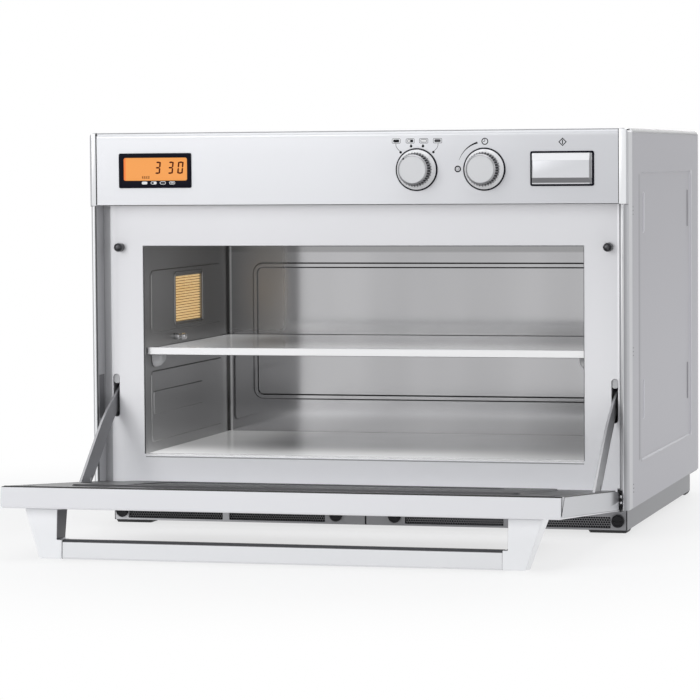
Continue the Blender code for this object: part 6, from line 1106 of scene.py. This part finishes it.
# %% Door pan and inner panel
AJAR = SHIFT @ OPEN
PAN = Finish("pan_white", (0.80, 0.80, 0.82), 0.32, 0.03)
across, deep = abs(PAN.x), PAN.y - FRONT
# Painted shade: the ends are darker than the front, and darker still near the hinge, for a hollow.
ends = across.ramp(312.0 * MM, 312.4 * MM)
hinge_hollow_shade = ends * deep.ramp(-56 * MM, -22 * MM) * PAN.z.ramp(41.2 * MM, 42.4 * MM)
fine, broad = PAN.noise(1500, 3), PAN.noise(5, 2)
white = PAN.mix(broad, (0.735, 0.735, 0.76, 1), (0.77, 0.77, 0.795, 1))
white = PAN.mix(ends, white, (0.54, 0.545, 0.57, 1))
PAN.set(Base_Color=PAN.mix(hinge_hollow_shade, white, (0.13, 0.13, 0.14, 1)), Roughness=0.32 + (broad - 0.5) * 0.08 + (fine - 0.5) * 0.04)
PAN.bump(fine, 0.012 * MM)
soften("door_shell", PAN, 0.6 * MM, 3)
INNER = Finish("inner_steel", (0.08, 0.08, 0.084), 0.32, 0.5, Specular_IOR_Level=0.1)
deep, hair, broad = INNER.y - FRONT, INNER.noise(1800, 2, (0.04, 1.0, 1.0)), INNER.noise(6, 2)
steel = INNER.mix(broad, (0.05, 0.05, 0.053, 1), (0.075, 0.075, 0.079, 1))
steel = INNER.mix(between(deep, -304 * MM, -284 * MM, 2 * MM), steel, (0.19, 0.19, 0.197, 1))
rim = deep.ramp(-318 * MM, -321 * MM)
steel = INNER.mix(rim, steel, (0.006, 0.006, 0.007, 1))
INNER.set(Base_Color=steel, Metallic=0.5 - rim * 0.5, Roughness=0.32 + (hair - 0.5) * 0.12)
INNER.bump(hair, 0.004 * MM)
soften("door_inner_panel", INNER, 0.3 * MM)
coat("door_glass", WINDOW)

# %% [markdown]
# A black seal runs along the upper edge of the inner panel, and a thin one down each end. Where the pan is folded at
# its upper corners, a folded tab fills the corner: a lens between two seam lines that part above and meet below.

# %% Door seal and corner seams
SEAL = lacquer("seal_black", (0.012, 0.012, 0.013), 0.45, 900, 0.02 * MM)
seal = [pad((-309.8 * MM, 305.2 * MM), (377.9 * MM, 380.9 * MM), 0.6 * MM, "Y", [(0, 24.6 * MM), (0, 27.0 * MM), (0.3 * MM, 27.25 * MM)])]
for side in (-1, 1):
    span = sorted((side * 309.5 * MM, side * 310.7 * MM))
    seal.append(pad(span, (52 * MM, 378 * MM), 0.4 * MM, "Y", [(0, 25.6 * MM), (0, 26.7 * MM), (0.2 * MM, 26.9 * MM)]))
piece("door_seal", group(*seal), SEAL, "door", "rubber", place=AJAR)


SEAM_GREY = lacquer("seam_grey", (0.05, 0.05, 0.053), 0.5)
TAB_WHITE = lacquer("tab_white", (0.62, 0.625, 0.65), 0.3)


def lens(side, grow, proud):
    """Closed outline between two curves that meet at the foot of the pan, raised from the pan's end."""
    rise = [k / 12 for k in range(13)]
    near = [((26.4 - 21.0 * t) * MM, (380.9 - 0.6 * (1 - t)) * MM - grow) for t in rise]
    far = [((26.4 - 21.0 * t) * MM, (381.0 - 17.5 * (1 - t) ** 0.75) * MM + grow) for t in rise[:-1]]
    face = sorted((side * 312.2 * MM, side * (312.6 * MM + proud)))
    return prism(near + far[::-1], "X", face)


lines = [lens(side, 0.0, 0.0) for side in (-1, 1)]
tabs = [lens(side, 3.8 * MM, 0.15 * MM) for side in (-1, 1)]
piece("corner_seams", group(*lines), SEAM_GREY, "door", "white_moulding", place=AJAR)
piece("corner_tabs", group(*tabs), TAB_WHITE, "door", "white_moulding", place=AJAR)
print("door seal and corner tabs", len(seal) + len(tabs))

# %% [markdown]
# ## Handle
# Two white brackets hold a long bar of extruded aluminium. The faces that look at each other, and the upper edge of the
# bar, get little light, so they are painted dark as shade. A fine dark gasket closes the joint between bar and bracket.

# %% Handle
BRACE = Finish("bracket_lacquer", (0.84, 0.84, 0.86), 0.3)
across = abs(BRACE.x)
# Painted shade on the brackets' inner faces.
inner = (1 - across.ramp(252.45 * MM, 252.9 * MM)) * BRACE.z.ramp(22.5 * MM, 23.5 * MM)
fine, broad = BRACE.noise(1500, 2), BRACE.noise(8, 2)
white = BRACE.mix(broad, (0.85, 0.855, 0.875, 1), (0.88, 0.885, 0.90, 1))
BRACE.set(Base_Color=BRACE.mix(inner, white, (0.055, 0.055, 0.062, 1)), Roughness=0.32 + (broad - 0.5) * 0.08)
BRACE.bump(fine, 0.01 * MM)
ROD = Finish("bar_aluminium", (0.68, 0.685, 0.70), 0.34, 0.25)
# Painted shade along the bar's upper edge.
upper = ROD.z.ramp(20.1 * MM, 20.7 * MM)
hair, broad = ROD.noise(1800, 2, (0.04, 1.0, 1.0)), ROD.noise(6, 2)
silver = ROD.mix(broad, (0.70, 0.705, 0.725, 1), (0.75, 0.755, 0.77, 1))
ROD.set(Base_Color=ROD.mix(upper, silver, (0.07, 0.07, 0.075, 1)), Roughness=0.34 + (hair - 0.5) * 0.1)
ROD.bump(hair, 0.005 * MM)
soften("handle_bar", ROD, 0.5 * MM, 3)
joints = []
for side in (-1, 1):
    soften("handle_bracket_" + ("left" if side < 0 else "right"), BRACE, 0.3 * MM)
    joints.append(pad((-52.2 * MM, -31.3 * MM), (346.2 * MM, 364.6 * MM), 2.4 * MM, "X", [(0, side * 246.3 * MM), (0, side * 247.2 * MM)]))
piece("handle_joints", group(*joints), SEAL, "door", "white_moulding", place=AJAR)
print("handle dressed")
# %% [markdown]
# ## Door arms
# Each arm is cut from steel sheet, with a round end on the door and a tail that runs into its slot. The broad face is
# calm grey, and the cut edges are lighter. The finish finds the edges by their place across X.

# %% Arms
ARM = Finish("arm_steel", (0.24, 0.24, 0.25), 0.34, 0.4)
offset = abs(abs(ARM.x) - 303.8 * MM)
edge = offset.ramp(1.45 * MM, 1.2 * MM)
hair, cloud = ARM.noise(1900, 2, (1.0, 0.05, 1.0)), ARM.noise(11, 2)
face = ARM.mix(cloud, (0.20, 0.20, 0.212, 1), (0.255, 0.255, 0.268, 1))
ARM.set(Base_Color=ARM.mix(edge, face, (0.40, 0.40, 0.415, 1)), Roughness=0.32 + (cloud - 0.5) * 0.12 + (hair - 0.5) * 0.08)
ARM.bump(hair, 0.004 * MM)
for side in ("left", "right"):
    soften("door_arm_" + side, ARM, 0.35 * MM)

# %% [markdown]
# The hinge brackets stand in the gap beside the door: a plate painted black, as the shade in that gap, and two small
# bright screws, one above the other.

# %% Hinge brackets and their screws
HINGE_STEEL = lacquer("hinge_black", (0.01, 0.01, 0.012), 0.45, Specular_IOR_Level=0.2)
heads = []
for side, word in ((-1, "left"), (1, "right")):
    # The bracket's black is painted shade for the dark gap beside the door.
    soften("hinge_bracket_" + word, HINGE_STEEL, 0.3 * MM)
    for level in (40.6 * MM, 47.4 * MM):
        head = turned([(1.5 * MM, 4.6 * MM), (1.5 * MM, 3.4 * MM), (1.1 * MM, 3.0 * MM), (0.4 * MM, 2.9 * MM)], "Y", (side * 315 * MM, level), 24)
        slot = block(sorted((side * 315 * MM - 2 * MM, side * 315 * MM + 2 * MM)), (2 * MM, 3.2 * MM), (level - 0.2 * MM, level + 0.2 * MM))
        heads.append(boolean("DIFFERENCE", head, slot))
NICKEL = brushed("screw_nickel", (0.85, 0.85, 0.87), 0.25, 1, 0.004 * MM, 0.6)
piece("hinge_screws", group(*heads), NICKEL, "case", "dark_steel")
print("hinge screws", len(heads))
# %% [markdown]
# ## Plinth and air filters
# Under the case stands a recessed grey plinth. Its front is two filter panels, each with two windows, and behind the
# windows lies fine perforated sheet. The holes stand in staggered rows. One cell, a square with a round hole, is made
# by hand; Geometry Nodes set it on a grid and move every second row by half a step.

# %% Perforated sheet
GREY = lacquer("plinth_lacquer", (0.235, 0.235, 0.248), 0.42, 1200, 0.02 * MM, metallic=0.1)
PANEL_GREY = lacquer("filter_lacquer", (0.5, 0.5, 0.5), 0.4, 1200, 0.02 * MM, metallic=0.15)
# Painted light: lighter at the left, where the floor lights the plinth, and a little lighter at the right, against the
# door's shadow.
right_shadow_lift = PANEL_GREY.mix(PANEL_GREY.x.ramp(40 * MM, 290 * MM), (0.28, 0.28, 0.29, 1), (0.34, 0.34, 0.355, 1))
PANEL_GREY.set(Base_Color=PANEL_GREY.mix(PANEL_GREY.x.ramp(-30 * MM, -280 * MM), right_shadow_lift, (0.60, 0.60, 0.62, 1)))
MESH_STEEL = brushed("mesh_steel", (0.33, 0.33, 0.34), 0.4, 0, 0.01 * MM, 0.3)
# Painted shade: the mesh is darker towards the left, where more light falls on it.
MESH_STEEL.tint(MESH_STEEL.x.ramp(-200 * MM, 220 * MM), (0.10, 0.10, 0.103), (0.22, 0.22, 0.227))
HOLE, PITCH, ROWS, CELL_SIDES = 1.27 * MM, 2.85 * MM, 5, 8
SHEET_Y, SHEET_THICK = 48.5 * MM, 0.5 * MM
WINDOWS = ((-297, -177.5), (-169.5, -50), (48, 167.5), (175.5, 295))
GRILLE_Z = (6.0 * MM, 19.2 * MM)


def cell_mesh(width, height):
    """A rectangle with a round hole, as a closed ring."""
    turns = [2 * math.pi * (k + 0.5) / CELL_SIDES for k in range(CELL_SIDES)]
    outer = []
    for t in turns:
        reach = min(width / 2 / abs(math.cos(t)), height / 2 / abs(math.sin(t)))
        outer.append((reach * math.cos(t), reach * math.sin(t)) if abs(math.cos(t)) < 0.8 else (math.copysign(width / 2, math.cos(t)), math.copysign(height / 2, math.sin(t))))
    hole = [(HOLE * math.cos(t), HOLE * math.sin(t)) for t in turns]
    rows = [(outer, 0.0), (outer, SHEET_THICK), (hole, SHEET_THICK), (hole, 0.0)]
    return loft([[Vector((a, b, h)) for a, b in row] for row, h in rows], True)


sheets = []
for x0, x1 in WINDOWS:
    count = int((x1 - x0) * MM / PITCH)
    wide, high = (x1 - x0) * MM / count, (GRILLE_Z[1] - GRILLE_Z[0]) / ROWS
    cell = bpy.data.objects.new("cell", cell_mesh(wide, high))
    scene.collection.objects.link(cell)
    cells = Pattern("perforated sheet", Columns=count, Rows=ROWS, Width=wide, Height=high)
    given = cells.size
    grid = cells.node("GeometryNodeMeshGrid", {}, given["Width"] * (given["Columns"] - 1.0), given["Height"] * (given["Rows"] - 1.0),
                      given["Columns"], given["Rows"])
    row = cells.node("ShaderNodeSeparateXYZ", {}, cells.node("GeometryNodeInputPosition", {}), out=1) / given["Height"]
    odd = (row + (given["Rows"] - 1.0) * 0.5 + 0.25).math("FLOOR").math("MODULO", 2.0)
    moved = cells.node("GeometryNodeSetPosition", {}, Geometry=grid, Offset=cells.vector((odd - 0.5) * given["Width"] * 0.5, 0.0, 0.0))
    shape = cells.node("GeometryNodeObjectInfo", {}, Object=cell, out="Geometry")
    placed = cells.node("GeometryNodeInstanceOnPoints", {}, Points=moved, Instance=shape)
    mesh = cells.grown(placed, MESH_STEEL)
    bpy.data.objects.remove(cell)
    mesh.transform(Matrix.Rotation(math.radians(90), 4, "X"))
    mesh.transform(Matrix.Translation(((x0 + x1) / 2 * MM, SHEET_Y + SHEET_THICK, sum(GRILLE_Z) / 2)))
    sheets.append(mesh)
piece("filter_sheets", group(*sheets), MESH_STEEL, "case", "zinc", angle=60)
# Painted shade: black plates behind the perforated sheets for the dark inside the plinth.
shade_backs = [block((x0 * MM - 3 * MM, x1 * MM + 3 * MM), (SHEET_Y + 2.5 * MM, SHEET_Y + 3.2 * MM), (5 * MM, 21 * MM)) for x0, x1 in WINDOWS]
piece("filter_backs", group(*shade_backs), DARK_INK, "case", "zinc")
print("perforated sheets", len(sheets))

# %% [markdown]
# Each filter panel is a thin lacquered plate. Its windows are cut with a Boolean, and a black line parts the panels
# in the middle of the oven.

# %% Filter panels, plinth and feet
for side, word in ((-1, "left"), (1, "right")):
    span = sorted((side * 0.9 * MM, side * 313.6 * MM))
    plate = pad(span, (3.9 * MM, 30.0 * MM), 2 * MM, "Y", [(0, 48.2 * MM), (0, 45.95 * MM)])
    cuts = [pad((x0 * MM, x1 * MM), (GRILLE_Z[0] - 0.1 * MM, GRILLE_Z[1]), 1.2 * MM, "Y", [(0, 44 * MM), (0, 50 * MM)])
            for x0, x1 in WINDOWS if side * x0 > 0]
    for at in (36, 303):
        cuts.append(turned([(3.4 * MM, 44 * MM), (3.4 * MM, 50 * MM)], "Y", (side * at * MM, 14.6 * MM), 24))
    piece("filter_frame_" + word, boolean("DIFFERENCE", plate, *cuts), PANEL_GREY, "case", "zinc", "filter_panel_" + word, 0.35 * MM)
piece("filter_split", block((-0.7 * MM, 0.7 * MM), (46.3 * MM, 48 * MM), (4.2 * MM, 29.5 * MM)), DARK_INK, "case", "zinc")
soften("base_plinth", GREY, 0.3 * MM)
corner_lines = [block(sorted((side * 313.7 * MM, side * 314.3 * MM)), (45.7 * MM, 48.4 * MM), (3.8 * MM, 31.4 * MM)) for side in (-1, 1)]
piece("plinth_corner_lines", group(*corner_lines), DARK_INK, "case", "zinc")
for place in ("front_left", "front_right", "rear_left", "rear_right"):
    soften("foot_" + place, RUBBER, 0.9 * MM, 3)

# %% [markdown]
# The thumb screws are black mouldings around a steel shank. Their rim is knurled for fingers, and a coin fits the
# slot. Geometry Nodes set the knurls around the rim, the Boolean cuts the slot.

# %% Thumb screws
HEAD_BLACK = lacquer("screw_black", (0.008, 0.008, 0.010), 0.3, 1200, 0.02 * MM, Specular_IOR_Level=0.25)
HEAD, HEAD_FRONT, HEAD_REAR, SCREW_Z = 7.25 * MM, 40.7 * MM, 45.6 * MM, 14.6 * MM
knurls = Pattern("screw knurls", Count=30, Ring=HEAD, Round=0.42 * MM, Depth=HEAD_REAR - HEAD_FRONT - 1.4 * MM)
given = knurls.size
circle = knurls.node("GeometryNodeMeshCircle", {"fill_type": "NONE"}, given["Count"], given["Ring"])
bar = knurls.node("GeometryNodeMeshCylinder", {"fill_type": "NGON"}, 8, 1, 1, given["Round"], given["Depth"])
rim = knurls.grown(knurls.node("GeometryNodeInstanceOnPoints", {}, Points=circle, Instance=bar), HEAD_BLACK)
rim.transform(Matrix.Rotation(math.radians(90), 4, "X"))
for side, word in ((-1, "left"), (1, "right")):
    for at, row in ((36, "inner"), (304, "outer")):
        centre = (side * at * MM, SCREW_Z)
        head = turned([(3 * MM, 52 * MM), (3 * MM, HEAD_REAR), (HEAD, HEAD_REAR), (HEAD, HEAD_FRONT + 0.9 * MM), (HEAD - 0.3 * MM, HEAD_FRONT + 0.35 * MM),
                       (HEAD - 0.9 * MM, HEAD_FRONT), (HEAD - 1.6 * MM, HEAD_FRONT), (HEAD - 2.2 * MM, HEAD_FRONT + 0.5 * MM)], "Y", centre, 48)
        slot = block((centre[0] - 9 * MM, centre[0] + 9 * MM), (HEAD_FRONT - 1 * MM, HEAD_FRONT + 1.9 * MM), (SCREW_Z - 0.8 * MM, SCREW_Z + 0.8 * MM))
        ridges_here = rim.copy()
        ridges_here.transform(Matrix.Translation((centre[0], (HEAD_FRONT + HEAD_REAR) / 2, SCREW_Z)))
        name = "thumb_screw_" + word + "_" + row
        piece(name + "_head", boolean("DIFFERENCE", head, slot), HEAD_BLACK, "screw_" + word + "_" + row, "black_plastic", name, 0.15 * MM)
        piece(name + "_knurls", ridges_here, HEAD_BLACK, "screw_" + word + "_" + row, "black_plastic", angle=50)
print("thumb screws with", knurls.sizes["Count"], "knurls each")
# %% [markdown]
# ## Rear panel
# The rear is galvanised sheet. Zinc freezes on it in flat crystals, so the finish mixes two greys from crystal to
# crystal. Pan-head screws hold the sheet along its edges. One screw is made by hand with a cross cut into its head,
# and Geometry Nodes set it on a grid, once for the long edges and once for the short ones.

# %% Rear panel and its screws
SHEET = Finish("galvanised_sheet", (0.42, 0.43, 0.45), 0.4, 0.7)
crystal = SHEET.node("ShaderNodeTexVoronoi", {}, Vector=SHEET.place, Scale=85.0, out=1)
fine = SHEET.noise(1300, 2)
SHEET.set(Base_Color=SHEET.mix(crystal, (0.37, 0.38, 0.40, 1), (0.47, 0.48, 0.50, 1)), Roughness=0.34 + crystal * 0.14)
SHEET.bump(fine, 0.008 * MM)
soften("rear_panel", SHEET, 0.25 * MM)
SCREW_STEEL = brushed("screw_zinc", (0.66, 0.66, 0.67), 0.28, 2, 0.004 * MM, 0.9)
REAR_FACE, SCREW_REACH = 526 * MM, 312 * MM
head = turned([(3.8 * MM, -0.3 * MM), (3.8 * MM, 0.7 * MM), (3.2 * MM, 1.5 * MM), (1.8 * MM, 2.0 * MM)], "Z", (0, 0), 32)
cross = [block(a, b, (0.9 * MM, 3 * MM)) for a, b in (((-2.3 * MM, 2.3 * MM), (-0.4 * MM, 0.4 * MM)), ((-0.4 * MM, 0.4 * MM), (-2.3 * MM, 2.3 * MM)))]
head = boolean("DIFFERENCE", head, *cross)
screw = bpy.data.objects.new("screw", head)
scene.collection.objects.link(screw)
rows = []
for columns, high, middle in ((4, 410 * MM, 251 * MM), (2, 150 * MM, 255 * MM)):
    pattern = Pattern("rear screws", Columns=columns, Rows=2, Width=2 * SCREW_REACH, Height=high)
    given = pattern.size
    grid = pattern.node("GeometryNodeMeshGrid", {}, given["Width"], given["Height"], given["Columns"], given["Rows"])
    shape = pattern.node("GeometryNodeObjectInfo", {}, Object=screw, out="Geometry")
    mesh = pattern.grown(pattern.node("GeometryNodeInstanceOnPoints", {}, Points=grid, Instance=shape), SCREW_STEEL)
    mesh.transform(Matrix.Rotation(math.radians(-90), 4, "X"))
    mesh.transform(Matrix.Translation((0, REAR_FACE, middle)))
    rows.append(mesh)
bpy.data.objects.remove(screw)
piece("rear_screws", group(*rows), SCREW_STEEL, "case", "zinc", angle=35)
print("rear screws", 4 * 2 + 2 * 2)

# %% [markdown]
# The gland is where the mains lead would enter. Beside it the slots let the fan's air in and the warm air out. Fan and
# gland are black mouldings with a fine spark-eroded skin.

# %% Gland and cooling fan
MOULDING = lacquer("black_eroded", (0.016, 0.016, 0.017), 0.5, 2200, 0.03 * MM)
soften("cable_gland", MOULDING, 0.5 * MM, 3)
soften("fan_frame", MOULDING, 0.5 * MM)
soften("fan_wheel", MOULDING, 0.25 * MM)
print("rear parts", len(("cable_gland", "fan_frame", "fan_wheel")))
# %% [markdown]
# ## Microwave parts
# Two magnetrons feed the cavity through ducts from above and below, and a metal stirrer turns at each mouth. The
# magnetron's cooling fins are plain aluminium inside a zinced yoke. A transformer is a stack of thin laminations, so
# its finish has a fine line for each sheet, and its coils, which bulge out in front and behind, show copper turns.

# %% Ducts, magnetrons and stirrers
coat("waveguide_lower", ZINC)
coat("waveguide_upper", ZINC)
for level in ("lower", "upper"):
    soften("stirrer_" + level, BRIGHT, 0.2 * MM)
YOKE = Finish("magnetron_yoke", (0.42, 0.43, 0.45), 0.38, 0.85)
fins = 1 - abs(YOKE.x).ramp(41.2 * MM, 41.6 * MM)
hair, cloud = YOKE.noise(1700, 2, (0.04, 1.0, 1.0)), YOKE.noise(12, 2)
zinc = YOKE.mix(cloud, (0.40, 0.41, 0.43, 1), (0.47, 0.48, 0.50, 1))
YOKE.set(Base_Color=YOKE.mix(fins, zinc, (0.74, 0.745, 0.76, 1)), Roughness=0.40 - fins * 0.12 + (hair - 0.5) * 0.1)
YOKE.bump(hair, 0.006 * MM)
for level in ("lower", "upper"):
    coat("magnetron_" + level, YOKE)
print("magnetrons dressed")

# %% Transformers
STACK = Finish("transformer_stack", (0.10, 0.10, 0.105), 0.5, 0.4)
deep = STACK.y - FRONT
SHEET_PITCH, WIRE_PITCH = 1.0 * MM, 1.6 * MM
core = between(deep, 397 * MM, 493 * MM)
sheets = abs((deep / SHEET_PITCH).math("FRACT") - 0.5)
turns = abs((STACK.z / WIRE_PITCH).math("FRACT") - 0.5)
soot = STACK.mix(STACK.noise(14, 2), (0.05, 0.05, 0.053, 1), (0.11, 0.11, 0.115, 1))
copper = STACK.mix(turns * 2, (0.20, 0.06, 0.022, 1), (0.50, 0.19, 0.07, 1))
STACK.set(Base_Color=STACK.mix(core, copper, soot), Roughness=0.36 + core * 0.14)
STACK.bump(turns + (sheets - turns) * core, 0.2 * MM)
for side in ("left", "right"):
    coat("transformer_" + side, STACK)
print("transformer sheets", round(96 * MM / SHEET_PITCH))

# %% [markdown]
# The control board hides behind the panel. Solder lacquer makes it green, with paler tracks on a grid of a tenth of an
# inch. The bodies of encoders, switch and display module in front of it are dark grey mouldings.

# %% Control board
BOARD = Finish("circuit_board", (0.03, 0.12, 0.05), 0.4)
TRACK_PITCH = 2.54 * MM
bodies = 1 - (BOARD.y - FRONT).ramp(21.9 * MM, 22.1 * MM)
along = abs((BOARD.z / TRACK_PITCH).math("FRACT") - 0.5).ramp(0.2, 0.14)
patch = BOARD.noise(60, 1, (0.3, 1.0, 1.0)).ramp(0.48, 0.52)
green = BOARD.mix(along * patch, (0.02, 0.10, 0.04, 1), (0.06, 0.22, 0.09, 1))
BOARD.set(Base_Color=BOARD.mix(bodies, green, (0.04, 0.04, 0.042, 1)), Roughness=0.36 + bodies * 0.14)
BOARD.bump(along * patch, 0.04 * MM)
coat("control_board", BOARD)
print("board on a grid of", round(TRACK_PITCH / MM, 2), "mm")

# %% [markdown]
# ## Count the pieces
# The dressed oven has to stay inside the CAD model's box.

# %% Count the pieces
print("pieces", len(made))
